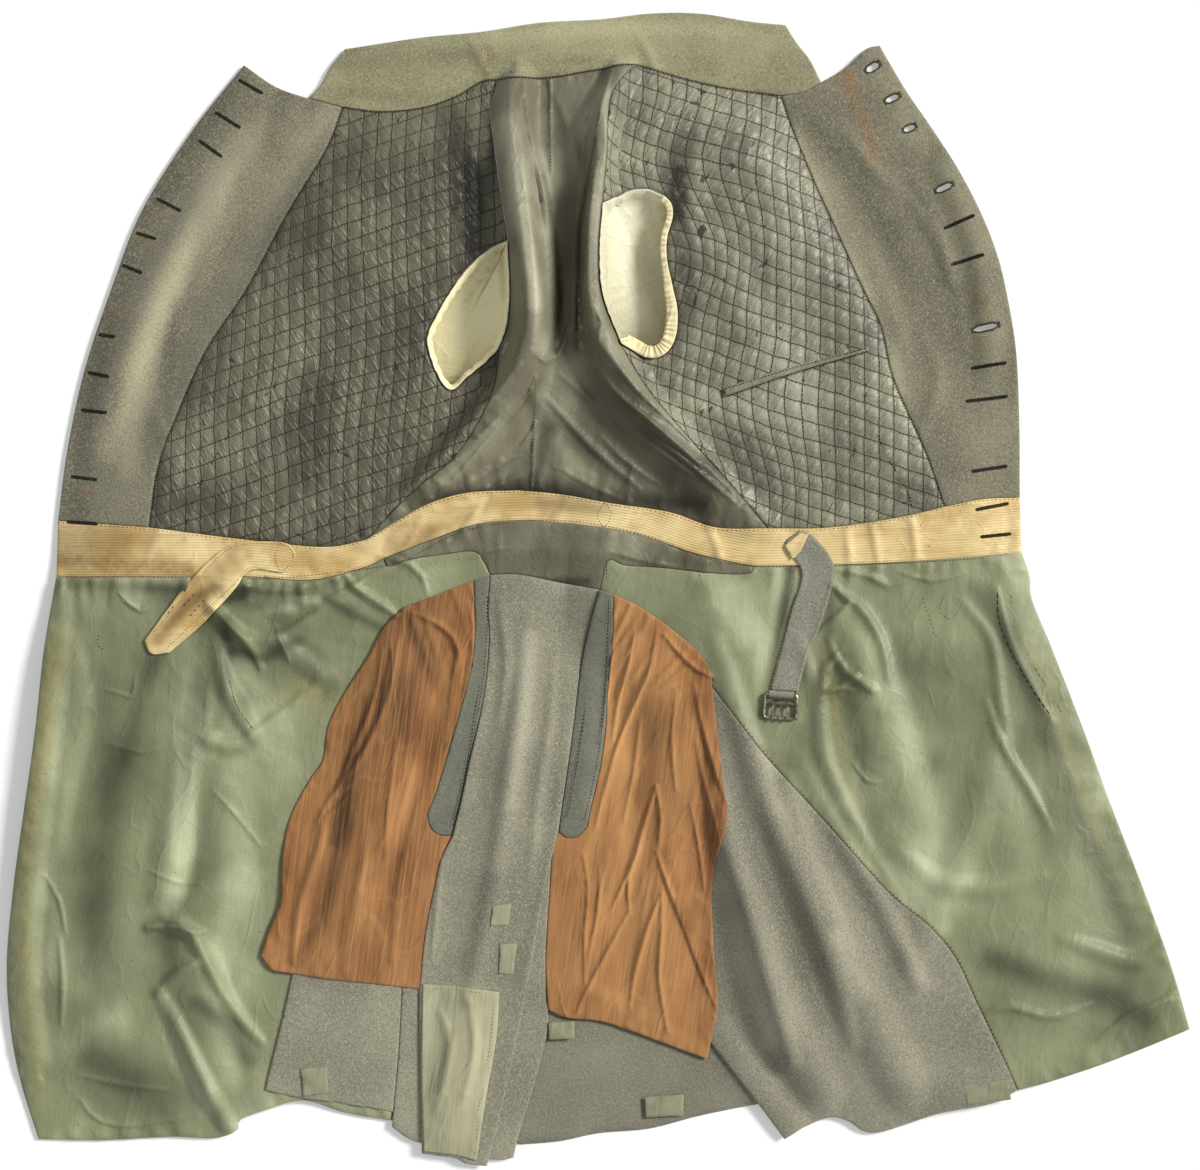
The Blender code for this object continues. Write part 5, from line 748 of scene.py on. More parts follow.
        ((234, 147, 0.5, 9, 9), (248, 121, 0.6, 9, 9), (266, 87, 0.5, 9, 9)),
    ),
    ("sleeve_lining_left", "painted_light_and_wear"): (
        ((36, 311, -0.25, 10, 10), (45, 285, -0.35, 12, 12), (36, 226, -0.1, 10, 10)),
        ((20, 295, 0.4, 10, 12), (27, 261, 0.5, 12, 14), (33, 226, 0.4, 10, 12)),
    ),
    ("sleeve_lining_left", "stain"): (
        ((57, 334, 0.5, 5, 5), (64, 304, 0.35, 5, 6), (67, 252, 0.35, 5, 6), (45, 194, 0.5, 6, 6)),
    ),
    ("sleeve_lining_right", "stain"): (
        ((-86, 295, 0.5, 5, 7), (-94, 278, 0.4, 7, 7), (-108, 261, 0.3, 5, 5)),
        ((-133, 191, 0.6, 5, 5), (-119, 181, 0.5, 5, 5)),
    ),
    ("sleeve_lining_right", "painted_light_and_wear"): (
        ((-84, 285, -0.6, 5, 7), (-82, 252, -0.4, 5, 7)),
    ),
    ("pocket_welt_left", "painted_light_and_wear"): (
        ((1, -9, 0.5, 10, 14), (0, -96, 0.55, 10, 14), (-7, -183, 0.5, 10, 14)),
    ),
}

# The middle line of each strap, from its sewn end
STRAP_MIDDLES = {
    "strap_right": ((-261, 25), (-285, 29), (-312, 27), (-345, -4), (-390, -52)),
    "strap_left": ((173, 51), (184, 18), (178, -34), (161, -89)),
}


def smooth_line(points, step):
    """Points about one step apart along a smooth curve through a short run of points."""
    ends = np.array(points, float)
    if len(ends) > 2:
        run = np.vstack([2 * ends[0] - ends[1], ends, 2 * ends[-1] - ends[-2]])
        dense = []
        for a, b, c, d in zip(run, run[1:], run[2:], run[3:]):
            for t in np.arange(8) / 8:
                straight = (c - a) * t + (2 * a - 5 * b + 4 * c - d) * t * t
                dense.append(b + 0.5 * (straight + (3 * b - a - 3 * c + d) * t ** 3))
        ends = np.vstack([dense, ends[-1]])
    lengths = np.concatenate([[0], np.cumsum(np.linalg.norm(np.diff(ends[:, :2], axis=0), axis=1))])
    count = max(1, round(lengths[-1] / step))
    places = np.linspace(0, lengths[-1], count + 1)
    return np.stack([np.interp(places, lengths, ends[:, axis]) for axis in range(ends.shape[1])], axis=1)


def seam(name, step=4.0):
    line = smooth_line(SEAMS[name.lstrip("-")], step)
    return line[::-1] if name.startswith("-") else line


def signed_area(loop):
    return np.sum(loop[:, 0] * np.roll(loop[:, 1], -1) - np.roll(loop[:, 0], -1) * loop[:, 1]) / 2


def inset(loop, gap):
    """The loop moved towards its inside by a gap."""
    before = loop - np.roll(loop, 1, axis=0)
    after = np.roll(loop, -1, axis=0) - loop
    turn = np.sign(signed_area(loop))
    sides = [np.stack([-edge[:, 1], edge[:, 0]], axis=1) * turn for edge in (before, after)]
    sides = [side / np.linalg.norm(side, axis=1)[:, None] for side in sides]
    meet = np.maximum(1 + np.sum(sides[0] * sides[1], axis=1), 0.25)
    return loop + gap * (sides[0] + sides[1]) / meet[:, None]


def outline(edges, step=4.0):
    loop = np.vstack([seam(name, step)[:-1] for name in edges])
    loop = inset(loop, SEAM_GAP / 2)
    return loop if signed_area(loop) > 0 else loop[::-1]


def slit_loop(slit):
    """A narrow buttonhole with tapered ends."""
    along = np.array([-0.5, -0.3, 0.3, 0.5, 0.3, -0.3]) * slit.length
    across = np.array([0, -0.5, -0.5, 0, 0.5, 0.5]) * slit.width
    turn = radians(slit.turn)
    return np.stack([
        slit.x + along * cos(turn) - across * sin(turn),
        slit.y + along * sin(turn) + across * cos(turn)], axis=1)


def hump(distance):
    """1 on the crest, easing to 0 one width away."""
    return 0.5 + 0.5 * np.cos(pi * np.clip(distance, 0, 1))


def ridge(points, crests, sharp=1.0):
    """A ridge along a run of crests, its height and widths changing from bend to bend."""
    best = np.zeros(len(points))
    box = np.array([(row.x, row.y) for row in crests], float)
    reach = max(max(row.left, row.right) for row in crests)
    near = np.all((points > box.min(axis=0) - reach) & (points < box.max(axis=0) + reach), axis=1)
    some = points[near]
    found = np.zeros(len(some))
    for first, last in zip(crests, crests[1:]):
        start = np.array([first.x, first.y], float)
        run = np.array([last.x, last.y], float) - start
        share = np.clip((some - start) @ run / (run @ run), 0, 1)
        away = some - start - share[:, None] * run
        left_side = run[0] * away[:, 1] - run[1] * away[:, 0] > 0
        width = np.where(left_side, first.left + share * (last.left - first.left),
                         first.right + share * (last.right - first.right))
        height = first.height + share * (last.height - first.height)
        found = np.maximum(found, height * hump(np.linalg.norm(away, axis=1) / width) ** sharp)
    best[near] = found
    return best


def section_at(down):
    """Half the width of a sleeve and its height, at a place down its middle line."""
    downs, halves, heights = zip(*SECTIONS)
    return np.interp(down, downs, halves), np.interp(down, downs, heights)


def sleeve_line(side):
    return smooth_line(SLEEVE_LINES[side], SLEEVE_STEP)


def swell_height(points, line):
    """The coat's height over a sleeve that lies under it."""
    best = np.zeros(len(points))
    for index, centre in enumerate(line):
        half, tall = section_at(index * SLEEVE_STEP)
        past = np.linalg.norm(points - centre, axis=1) - half - SWELL_SPREAD
        best = np.maximum(best, (tall + SLEEVE_CLEAR) * hump(past / SWELL_FADE))
    return best


def smooth_crests(rows):
    """More bends along a fold, on a smooth curve through the given ones."""
    return [Crest(*row) for row in smooth_line(rows, 14.0)]


FOLD_CRESTS = {name: smooth_crests(rows) for name, rows in FOLDS.items()}
CREASE_CRESTS = [(smooth_crests(row.bends), row.sharp) for row in CREASES]


def bed(points, creased=True):
    """The height at each point of the shape that the coat lies on, with the small creases of what shows."""
    points = np.asarray(points, float)
    found = np.zeros(len(points))
    for part in np.array_split(np.arange(len(points)), max(1, len(points) // 6000)):
        some = points[part]
        swell = np.max([swell_height(some, sleeve_line(side)) for side in SLEEVE_LINES], axis=0)
        folds = sum(ridge(some, crests) for crests in FOLD_CRESTS.values())
        creases = sum(ridge(some, crests, sharp) for crests, sharp in CREASE_CRESTS) if creased else 0
        found[part] = np.maximum(swell + folds, 0) + creases
    return found


def sway(points, size, seed, depth=2):
    """A soft uneven value from -1 to 1, with waves of about one size."""
    return np.array([noise.fractal(Vector((x / size, y / size, seed)), 1.0, 2.0, depth)
                     for x, y in points])


def steepness(points):
    rise = [(bed(points + step, False) - bed(points - step, False)) / 2 for step in ((1.0, 0.0), (0.0, 1.0))]
    return np.minimum(np.sqrt(1 + rise[0] ** 2 + rise[1] ** 2), STEEPEST)


def to_loop(points, loop, reach=8.0):
    """How far each point lies from a loop, up to a reach."""
    ends = np.roll(loop, -1, axis=0) - loop
    size = np.sum(ends * ends, axis=1)
    found = np.full(len(points), reach)
    for part in np.array_split(np.arange(len(points)), max(1, len(points) // 1500)):
        out = points[part][:, None, :] - loop[None]
        share = np.clip(np.sum(out * ends, axis=2) / size, 0, 1)
        away = np.linalg.norm(out - share[:, :, None] * ends, axis=2)
        found[part] = np.minimum(reach, away.min(axis=1))
    return found


def cut(loop, holes, dots):
    """A flat pattern inside a loop: its points and triangles."""
    points = [Vector(p) for p in dots]
    faces = []
    for ring in [loop, *holes]:
        faces.append(list(range(len(points), len(points) + len(ring))))
        points += [Vector(p) for p in ring]
    found = delaunay_2d_cdt(points, [], faces, 0, 1e-3, True)
    inside = [face for face, source in zip(found[2], found[5]) if list(source) == [0]]
    used = sorted({v for face in inside for v in face})
    order = {v: i for i, v in enumerate(used)}
    flat = np.array([found[0][v] for v in used])
    return flat, [[order[v] for v in face] for face in inside]


def rim(faces):
    """The edges that only one triangle has, each in that triangle's direction."""
    seen = {(a, b) for face in faces for a, b in zip(face, face[1:] + face[:1])}
    return [(a, b) for a, b in seen if (b, a) not in seen]


def grid_in(loop, step):
    """A staggered grid of points over a loop's box."""
    low, high = loop.min(axis=0), loop.max(axis=0)
    rows = np.arange(low[1] + 0.31 * step, high[1], step * 0.87)
    found = []
    for index, y in enumerate(rows):
        xs = np.arange(low[0] + step * (0.21 + 0.5 * (index % 2)), high[0], step)
        found.append(np.column_stack([xs, np.full(len(xs), y)]))
    return np.vstack(found)


def crease_dots(low, high):
    """Points along and beside the narrow creases, so that the mesh follows them."""
    found = []
    for crests, _ in CREASE_CRESTS:
        if max(max(row.left, row.right) for row in crests) > NARROW_CREASE:
            continue
        line = smooth_line([(row.x, row.y, row.left, row.right) for row in crests], CREASE_STEP)
        run = np.gradient(line[:, :2], axis=0)
        run /= np.maximum(np.linalg.norm(run, axis=1), 1e-6)[:, None]
        left = np.column_stack([-run[:, 1], run[:, 0]])
        found.append(line[:, :2])
        for part in (0.3, 0.6, 1.0):
            found.append(line[:, :2] + left * line[:, [2]] * part)
            found.append(line[:, :2] - left * line[:, [3]] * part)
    dots = np.vstack(found)
    dots = dots[np.all((dots > low) & (dots < high), axis=1)]
    kept, cells = [], set()
    for x, y in dots:
        cell = (round(x / CREASE_CELL), round(y / CREASE_CELL))
        if cell not in cells:
            cells.add(cell)
            kept.append((x, y))
    return np.array(kept).reshape(-1, 2)


def thinned(dots, others, nearest):
    """The dots that stay clear of other ones."""
    cells = {(round(x / nearest), round(y / nearest)) for x, y in others}
    near = [(a, b) for a in (-1, 0, 1) for b in (-1, 0, 1) if abs(a) + abs(b) < 2]
    free = [not any((round(x / nearest) + a, round(y / nearest) + b) in cells for a, b in near)
            for x, y in dots]
    return dots[np.array(free)] if len(dots) else dots


def beside(points, line, reach):
    """How far points lie from an open line, up to a reach, and how far along it."""
    gap = np.full(len(points), float(reach))
    along = np.zeros(len(points))
    ends = np.diff(line, axis=0)
    size = np.sum(ends * ends, axis=1)
    lengths = np.concatenate([[0], np.cumsum(np.sqrt(size))])
    low, high = line.min(axis=0) - reach, line.max(axis=0) + reach
    some = np.where(np.all((points > low) & (points < high), axis=1))[0]
    for part in np.array_split(some, max(1, len(some) // 1500)):
        if not len(part):
            continue
        out = points[part][:, None, :] - line[None, :-1]
        share = np.clip(np.sum(out * ends, axis=2) / size, 0, 1)
        away = np.linalg.norm(out - share[:, :, None] * ends, axis=2)
        best = away.argmin(axis=1)
        rows = np.arange(len(part))
        gap[part] = np.minimum(away[rows, best], reach)
        along[part] = lengths[best] + share[rows, best] * np.sqrt(size[best])
    return gap, along


def world(points):
    """Points in the plane of the tables, with heights, as metres in the frame."""
    points = np.array(points, float)
    points[:, :2] += SHIFT
    return points * MM


def piece(name, points, faces, material, replaced=(), uvs=None):
    """One piece of the scene from points in millimetres, on the coat."""
    mesh = bpy.data.meshes.new(name)
    mesh.from_pydata(world(points).tolist(), [], [list(map(int, face)) for face in faces])
    mesh.update()
    mesh.polygons.foreach_set("use_smooth", [True] * len(mesh.polygons))
    mesh.materials.append(material)
    if uvs is not None:
        layer = mesh.uv_layers.new(name="lattice")
        corners = np.empty(len(mesh.loops), dtype=np.int32)
        mesh.loops.foreach_get("vertex_index", corners)
        layer.data.foreach_set("uv", np.asarray(uvs, float)[corners].ravel())
    thing = bpy.data.objects.new(name, mesh)
    bpy.context.scene.collection.objects.link(thing)
    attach(thing, "coat")
    if replaced:
        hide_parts(*replaced)
    return thing


def tones(thing, values, name):
    """Keeps one value for each point of a piece, for its material."""
    layer = thing.data.attributes.new(name, "FLOAT", "POINT")
    layer.data.foreach_set("value", np.asarray(values, np.float32))


def smallest_box(loop):
    """The sides of the smallest rectangle round a loop."""
    best = None
    for turn in np.radians(np.arange(0, 90, 2)):
        spun = loop @ np.array([[cos(turn), -sin(turn)], [sin(turn), cos(turn)]])
        sides = spun.max(axis=0) - spun.min(axis=0)
        if best is None or sides[0] * sides[1] < best[0] * best[1]:
            best = sides
    return best


def mesh_area(points, faces):
    points = np.asarray(points, float)
    corners = points[np.asarray(faces)]
    return np.sum(np.linalg.norm(np.cross(
        corners[:, 1] - corners[:, 0], corners[:, 2] - corners[:, 0]), axis=1)) / 2


LEAST_SIDE = 0.0101


def declare_sheet(loop, flat_area, cloth_area):
    sides = smallest_box(loop) * (cloth_area / flat_area) ** 0.5 * MM
    sides = np.maximum(sides, LEAST_SIDE)


def rgb(red, green, blue):
    """A colour as it looks on a screen, 0 to 255, as the linear colour that a shader takes."""
    values = [part / 255 for part in (red, green, blue)]
    return (*[v / 12.92 if v <= 0.04045 else ((v + 0.055) / 1.055) ** 2.4 for v in values], 1.0)


class Tree:
    """Builds the nodes of one material."""

    def __init__(self, name):
        self.material = bpy.data.materials.new(name)
        self.material.use_nodes = True
        self.tree = self.material.node_tree
        self.shader = self.tree.nodes["Principled BSDF"]
        self.place = self.add("ShaderNodeTexCoord").outputs["Object"]

    def add(self, kind, **settings):
        node = self.tree.nodes.new(kind)
        for key, value in settings.items():
            setattr(node, key, value)
        return node

    def feed(self, socket, value):
        if isinstance(value, bpy.types.NodeSocket):
            self.tree.links.new(value, socket)
        else:
            socket.default_value = value

    def maths(self, operation, first, second=0.0, third=0.0):
        node = self.add("ShaderNodeMath", operation=operation)
        for socket, value in zip(node.inputs, (first, second, third)):
            self.feed(socket, value)
        return node.outputs[0]

    def mix(self, share, first, second):
        node = self.add("ShaderNodeMix", data_type="RGBA")
        self.feed(node.inputs[0], share)
        self.feed(node.inputs[6], first)
        self.feed(node.inputs[7], second)
        return node.outputs[2]

    def between(self, value, low, high, new_low=0.0, new_high=1.0):
        node = self.add("ShaderNodeMapRange", interpolation_type="SMOOTHSTEP")
        for socket, part in zip(node.inputs, (value, low, high, new_low, new_high)):
            self.feed(socket, part)
        return node.outputs[0]

    def spot(self, across, along, turn=0.0, moved=0.0):
        """Coordinates in which one unit is a size in millimetres, across and along a grain."""
        spun = self.add("ShaderNodeMapping")
        spun.inputs["Rotation"].default_value = (0, 0, radians(turn))
        self.feed(spun.inputs["Vector"], self.place)
        sized = self.add("ShaderNodeMapping")
        sized.inputs["Scale"].default_value = (1000 / across, 1000 / along, 1000 / max(across, along))
        sized.inputs["Location"].default_value = (moved, moved, moved)
        self.feed(sized.inputs["Vector"], spun.outputs[0])
        return sized.outputs[0]

    def cloud(self, across, along=None, turn=0.0, detail=3.0, rough=0.55, bend=0.0, moved=0.0):
        node = self.add("ShaderNodeTexNoise")
        self.feed(node.inputs["Vector"], self.spot(across, along or across, turn, moved))
        node.inputs["Scale"].default_value = 1.0
        node.inputs["Detail"].default_value = detail
        node.inputs["Roughness"].default_value = rough
        node.inputs["Distortion"].default_value = bend
        return node.outputs[0]

    def ribs(self, size, turn=0.0, bend=0.0):
        node = self.add("ShaderNodeTexWave", bands_direction="X")
        self.feed(node.inputs["Vector"], self.spot(size * 2 * pi, size * 2 * pi, turn))
        node.inputs["Scale"].default_value = 1.0
        node.inputs["Distortion"].default_value = bend
        node.inputs["Detail"].default_value = 1.0
        return node.outputs["Fac"]

    def creases(self, size, turn=0.0, stretch=1.0, moved=0.0):
        """Thin raised lines, such as pressed creases leave."""
        value = self.cloud(size, size * stretch, turn, detail=2.0, rough=0.5, bend=0.6, moved=moved)
        away = self.maths("ABSOLUTE", self.maths("SUBTRACT", value, 0.5))
        return self.between(away, 0.0, 0.05, 1.0, 0.0)

    def kept(self, name):
        return self.add("ShaderNodeAttribute", attribute_name=name).outputs["Fac"]

    def bump(self, height, distance, strength=1.0, before=None):
        node = self.add("ShaderNodeBump")
        node.inputs["Strength"].default_value = strength
        node.inputs["Distance"].default_value = distance * MM
        self.feed(node.inputs["Height"], height)
        if before is not None:
            self.feed(node.inputs["Normal"], before)
        return node.outputs[0]

    def finish(self, colour, roughness, normal=None, specular=0.4, sheen=0.0, metallic=0.0,
               sheen_roughness=0.5):
        self.feed(self.shader.inputs["Base Color"], colour)
        self.feed(self.shader.inputs["Roughness"], roughness)
        self.shader.inputs["Specular IOR Level"].default_value = specular
        self.shader.inputs["Sheen Weight"].default_value = sheen
        self.shader.inputs["Sheen Roughness"].default_value = sheen_roughness
        self.shader.inputs["Sheen Tint"].default_value = (1.0, 1.0, 1.0, 1.0)
        self.shader.inputs["Metallic"].default_value = metallic
        if normal is not None:
            self.feed(self.shader.inputs["Normal"], normal)
        return self.material


def paint_light_wear_and_stain(tree, colour, dark, light, stain):
    """Lets a piece's own values change a colour: painted highlight and shade, with some wear, towards the
    light and dark colours, and stains.
    """
    painted_light_and_wear = tree.kept("painted_light_and_wear")
    # Above 0 a painted highlight (with some wear) towards the light colour, below 0 painted shade towards the
    # dark one.
    colour = tree.mix(tree.maths("MULTIPLY", tree.maths("MAXIMUM", painted_light_and_wear, 0.0), 0.92), colour, light)
    colour = tree.mix(tree.maths("MULTIPLY", tree.maths("MINIMUM", painted_light_and_wear, 0.0), -0.92), colour, dark)
    speck = tree.between(tree.cloud(5.0, detail=4.0, moved=11.0), 0.42, 0.62)
    speckled = tree.maths("MULTIPLY_ADD", speck, 0.65, 0.35)
    share = tree.maths("MULTIPLY", tree.kept("stain"), speckled)
    return tree.mix(share, colour, stain)


def wool(name, dark, middle, light, stain=rgb(120, 92, 58), blotch=70.0, grain=8.0, fuzz=0.35):
    """Milled cloth: light and dark fibres mixed, over soft uneven patches."""
    tree = Tree(name)
    patch = tree.cloud(blotch, detail=2.0, moved=3.0)
    colour = tree.mix(tree.between(patch, 0.3, 0.7), middle, tree.mix(0.35, middle, dark))
    colour = paint_light_wear_and_stain(tree, colour, dark, light, stain)
    fibre = tree.cloud(1.3, 1.8, 35, detail=5.0, rough=0.85)
    fleck = tree.cloud(0.9, 3.6, 15, detail=3.0, rough=0.7, moved=7.0)
    colour = tree.mix(tree.between(fibre, 0.50, 0.66, 0.0, 0.62), colour, light)
    colour = tree.mix(tree.between(fibre, 0.50, 0.36, 0.0, 0.62), colour, dark)
    colour = tree.mix(tree.between(fleck, 0.58, 0.70, 0.0, 0.45), colour, light)
    curl = tree.cloud(grain, detail=3.0, bend=0.8, moved=5.0)
    normal = tree.bump(fibre, 0.5, 0.55, tree.bump(curl, 1.2, 0.35))
    return tree.finish(colour, 0.93, normal, specular=0.15, sheen=fuzz, sheen_roughness=0.6)


def satin(name, dark, middle, light, stain, turn=0.0, gloss=0.46, crumple=0.5, crease_size=60.0,
          specular=0.32, thread=0.4):
    """Smooth lining cloth with a soft shine, faint threads and pressed creases."""
    tree = Tree(name)
    patch = tree.cloud(110.0, 150.0, turn, detail=3.0, moved=2.0)
    colour = tree.mix(tree.between(patch, 0.28, 0.50), tree.mix(0.45, middle, dark), middle)
    colour = tree.mix(tree.between(patch, 0.52, 0.74, 0.0, 0.55), colour, light)
    colour = paint_light_wear_and_stain(tree, colour, dark, light, stain)
    line = tree.cloud(1.4, 60.0, turn, detail=3.0, rough=0.6, moved=4.0)
    colour = tree.mix(tree.between(line, 0.35, 0.65, 0.0, 0.22 * thread), colour, dark)
    speck = tree.between(tree.cloud(2.6, detail=2.0, moved=21.0), 0.70, 0.76, 0.0, 0.6)
    colour = tree.mix(speck, colour, dark)
    weave = tree.maths("MULTIPLY", tree.ribs(0.9, turn), tree.ribs(0.9, turn + 90))
    normal = tree.bump(weave, 0.12, 0.5)
    soft = tree.cloud(26.0, 34.0, turn + 30, detail=3.0, bend=1.0, moved=9.0)
    normal = tree.bump(soft, 2.6 * crumple, 0.5, normal)
    normal = tree.bump(tree.creases(crease_size, turn + 20, 1.8), 0.9 * crumple, 0.45, normal)
    normal = tree.bump(tree.creases(crease_size * 0.45, turn - 40, 1.5, 6.0), 0.5 * crumple, 0.35, normal)
    rough = tree.between(patch, 0.3, 0.7, gloss - 0.04, gloss + 0.08)
    return tree.finish(colour, rough, normal, specular=specular, sheen=0.12, sheen_roughness=0.35)


def ribbon(name, dark, middle, light, stain, size=2.3):
    """Ribbed tape, its ribs along its run: the piece keeps how far across each point is."""
    tree = Tree(name)
    patch = tree.cloud(60.0, 40.0, 0, detail=3.0, moved=8.0)
    colour = tree.mix(tree.between(patch, 0.36, 0.64), middle, light)
    blotch = tree.cloud(16.0, 24.0, 20, detail=3.0, moved=13.0)
    colour = tree.mix(tree.between(blotch, 0.5, 0.3, 0.0, 0.3), colour, dark)
    colour = paint_light_wear_and_stain(tree, colour, dark, light, stain)
    across = tree.kept("across")
    turn = tree.maths("MULTIPLY", across, 2 * pi / size)
    rib = tree.maths("MULTIPLY_ADD", tree.maths("SINE", turn), 0.5, 0.5)
    streak = tree.cloud(50.0, 2.0, 0, detail=3.0, moved=2.0)
    # Painted shade in the troughs between the ribs, and darker streaks along the grain.
    colour = tree.mix(tree.between(rib, 0.5, 0.0, 0.0, 0.20), colour, dark)
    colour = tree.mix(tree.between(streak, 0.5, 0.8, 0.0, 0.35), colour, dark)
    weft = tree.ribs(0.7, 90)
    normal = tree.bump(weft, 0.12, 0.5, tree.bump(rib, 0.3, 0.7))
    normal = tree.bump(tree.creases(34.0, 60, 1.6), 0.5, 0.4, normal)
    return tree.finish(colour, tree.between(rib, 0, 1, 0.62, 0.48), normal, specular=0.35, sheen=0.2)


def cotton(name, dark, middle, light, stain, turn=0.0, streak=1.0, creased=1.0):
    """Thin woven cotton with a streaky grain, and creases with a painted highlight along them."""
    tree = Tree(name)
    patch = tree.cloud(55.0, 120.0, turn, detail=4.0, moved=6.0)
    colour = tree.mix(tree.between(patch, 0.3, 0.68), middle, tree.mix(0.5, middle, light))
    colour = paint_light_wear_and_stain(tree, colour, dark, light, stain)
    line = tree.cloud(1.7, 70.0, turn, detail=4.0, rough=0.7, moved=4.0)
    colour = tree.mix(tree.between(line, 0.42, 0.70, 0.0, 0.55 * streak), colour, light)
    colour = tree.mix(tree.between(line, 0.46, 0.28, 0.0, 0.6 * streak), colour, dark)
    press = tree.creases(46.0, turn + 12, 2.6)
    # A painted highlight along the pressed creases.
    colour = tree.mix(tree.maths("MULTIPLY", press, 0.10), colour, light)
    weave = tree.maths("MULTIPLY", tree.ribs(0.8, turn), tree.ribs(0.8, turn + 90))
    normal = tree.bump(weave, 0.15, 0.5, tree.bump(line, 0.3, 0.5))
    normal = tree.bump(press, 0.8 * creased, 0.6, normal)
    soft = tree.cloud(18.0, 60.0, turn, detail=3.0, bend=0.8, moved=1.0)
    normal = tree.bump(soft, 2.4 * creased, 0.5, normal)
    return tree.finish(colour, 0.82, normal, specular=0.22, sheen=0.22)


def quilting(name, dark, middle, light, stain, pucker_turn):
    """Padded satin: dark stitches along the lattice that the piece keeps, and short puckers in the cells,
    with a painted highlight on their folds and painted shade between them.
    """
    tree = Tree(name)
    patch = tree.cloud(90.0, detail=3.0, moved=2.0)
    colour = tree.mix(tree.between(patch, 0.3, 0.7), middle, tree.mix(0.5, middle, dark))
    colour = paint_light_wear_and_stain(tree, colour, dark, light, stain)
    uv = tree.add("ShaderNodeUVMap", uv_map="lattice").outputs[0]
    split = tree.add("ShaderNodeSeparateXYZ")
    tree.feed(split.inputs[0], uv)
    drift = tree.maths("SUBTRACT", tree.cloud(14.0, detail=2.0, moved=3.0), 0.5)
    wobble = tree.maths("MULTIPLY", drift, 0.22)
    lines = []
    for axis, size in ((0, QUILT_ACROSS), (1, QUILT_DOWN)):
        place = tree.maths("ADD", split.outputs[axis], wobble)
        away = tree.maths("ABSOLUTE", tree.maths("SUBTRACT", place, tree.maths("ROUND", place)))
        run = tree.maths("FRACT", tree.maths("MULTIPLY", split.outputs[1 - axis], 4.0))
        stitch = tree.between(run, 0.04, 0.16)
        lines.append(tree.maths("MULTIPLY", tree.between(away, 0.80 / size, 0.28 / size), stitch))
    thread = tree.maths("MAXIMUM", *lines)
    pucker = tree.cloud(4.2, 22.0, pucker_turn, detail=3.0, bend=0.5, moved=5.0)
    fold = tree.between(pucker, 0.50, 0.66)
    # Painted highlight on the puckers' raised folds, and painted shade in their hollows.
    colour = tree.mix(tree.maths("MULTIPLY", fold, 0.07), colour, light)
    colour = tree.mix(tree.between(pucker, 0.46, 0.32, 0.0, 0.24), colour, dark)
    lint = tree.between(tree.cloud(9.0, 14.0, 30, detail=1.0, bend=0.8, moved=31.0), 0.715, 0.74)
    colour = tree.mix(tree.maths("MULTIPLY", lint, 0.8), colour, rgb(38, 34, 26))
    colour = tree.mix(tree.maths("MULTIPLY", thread, 0.86), colour, rgb(36, 33, 25))
    line = tree.cloud(1.3, 40.0, 0, detail=3.0, moved=4.0)
    crinkle = tree.creases(15.0, pucker_turn + 25, 2.2, 2.0)
    normal = tree.bump(line, 0.2, 0.4)
    normal = tree.bump(fold, 1.0, 0.6, normal)
    normal = tree.bump(crinkle, 0.4, 0.6, normal)
    normal = tree.bump(tree.maths("SUBTRACT", 1.0, thread), 1.0, 0.7, normal)
    return tree.finish(colour, 0.42, normal, specular=0.42, sheen=0.12)


def plain(name, dark, light, roughness=0.8, metallic=0.0, size=3.0, bump=0.15, specular=0.4):
    """Thread or metal: two close colours, mottled, with a fine uneven surface."""
    tree = Tree(name)
    patch = tree.cloud(size, detail=4.0)
    colour = tree.mix(tree.between(patch, 0.35, 0.65), dark, light)
    normal = tree.bump(tree.cloud(size * 0.4, detail=3.0, moved=3.0), bump, 0.5)
    rough = tree.between(patch, 0.3, 0.7, roughness, min(1.0, roughness + 0.12))
    return tree.finish(colour, rough, normal, specular=specular, metallic=metallic)


COLLAR_FELT = wool("collar_felt", rgb(88, 84, 62), rgb(148, 144, 111), rgb(190, 186, 146),
                   rgb(116, 92, 54), 60.0)
FACING_WOOL = wool("facing_wool", rgb(62, 59, 47), rgb(122, 117, 97), rgb(182, 175, 144),
                   rgb(136, 98, 56), 90.0)
OUTER_WOOL = wool("outer_wool", rgb(80, 78, 66), rgb(130, 126, 107), rgb(172, 167, 146),
                  rgb(110, 96, 72), 110.0)
TAIL_WOOL = wool("tail_wool", rgb(80, 78, 66), rgb(140, 136, 116), rgb(192, 188, 164), rgb(112, 92, 60), 80.0)
PLEAT_WOOL = wool("pleat_wool", rgb(78, 75, 63), rgb(138, 134, 115), rgb(188, 183, 160),
                  rgb(112, 92, 60), 120.0)
WELT_CLOTH = wool("welt_cloth", rgb(66, 69, 58), rgb(110, 111, 95), rgb(140, 141, 122),
                  rgb(92, 78, 52), 40.0, 5.0)
STRAP_WOOL = wool("strap_wool", rgb(80, 79, 70), rgb(134, 132, 117), rgb(184, 181, 162),
                  rgb(120, 104, 74), 40.0, 5.0)
BACK_SATIN = satin("back_satin", rgb(30, 28, 21), rgb(110, 106, 86), rgb(190, 187, 160),
                   rgb(96, 84, 56), 10.0, crumple=0.8, crease_size=40.0)
GREEN_SATIN = satin("green_satin", rgb(46, 50, 33), rgb(134, 138, 105), rgb(196, 200, 163),
                    rgb(164, 150, 98), 5.0, crumple=0.6, crease_size=46.0)
IVORY_SATIN = satin("ivory_satin", rgb(150, 140, 104), rgb(218, 214, 184), rgb(240, 238, 218),
                    rgb(120, 92, 52), 60.0, crumple=0.8, crease_size=30.0)
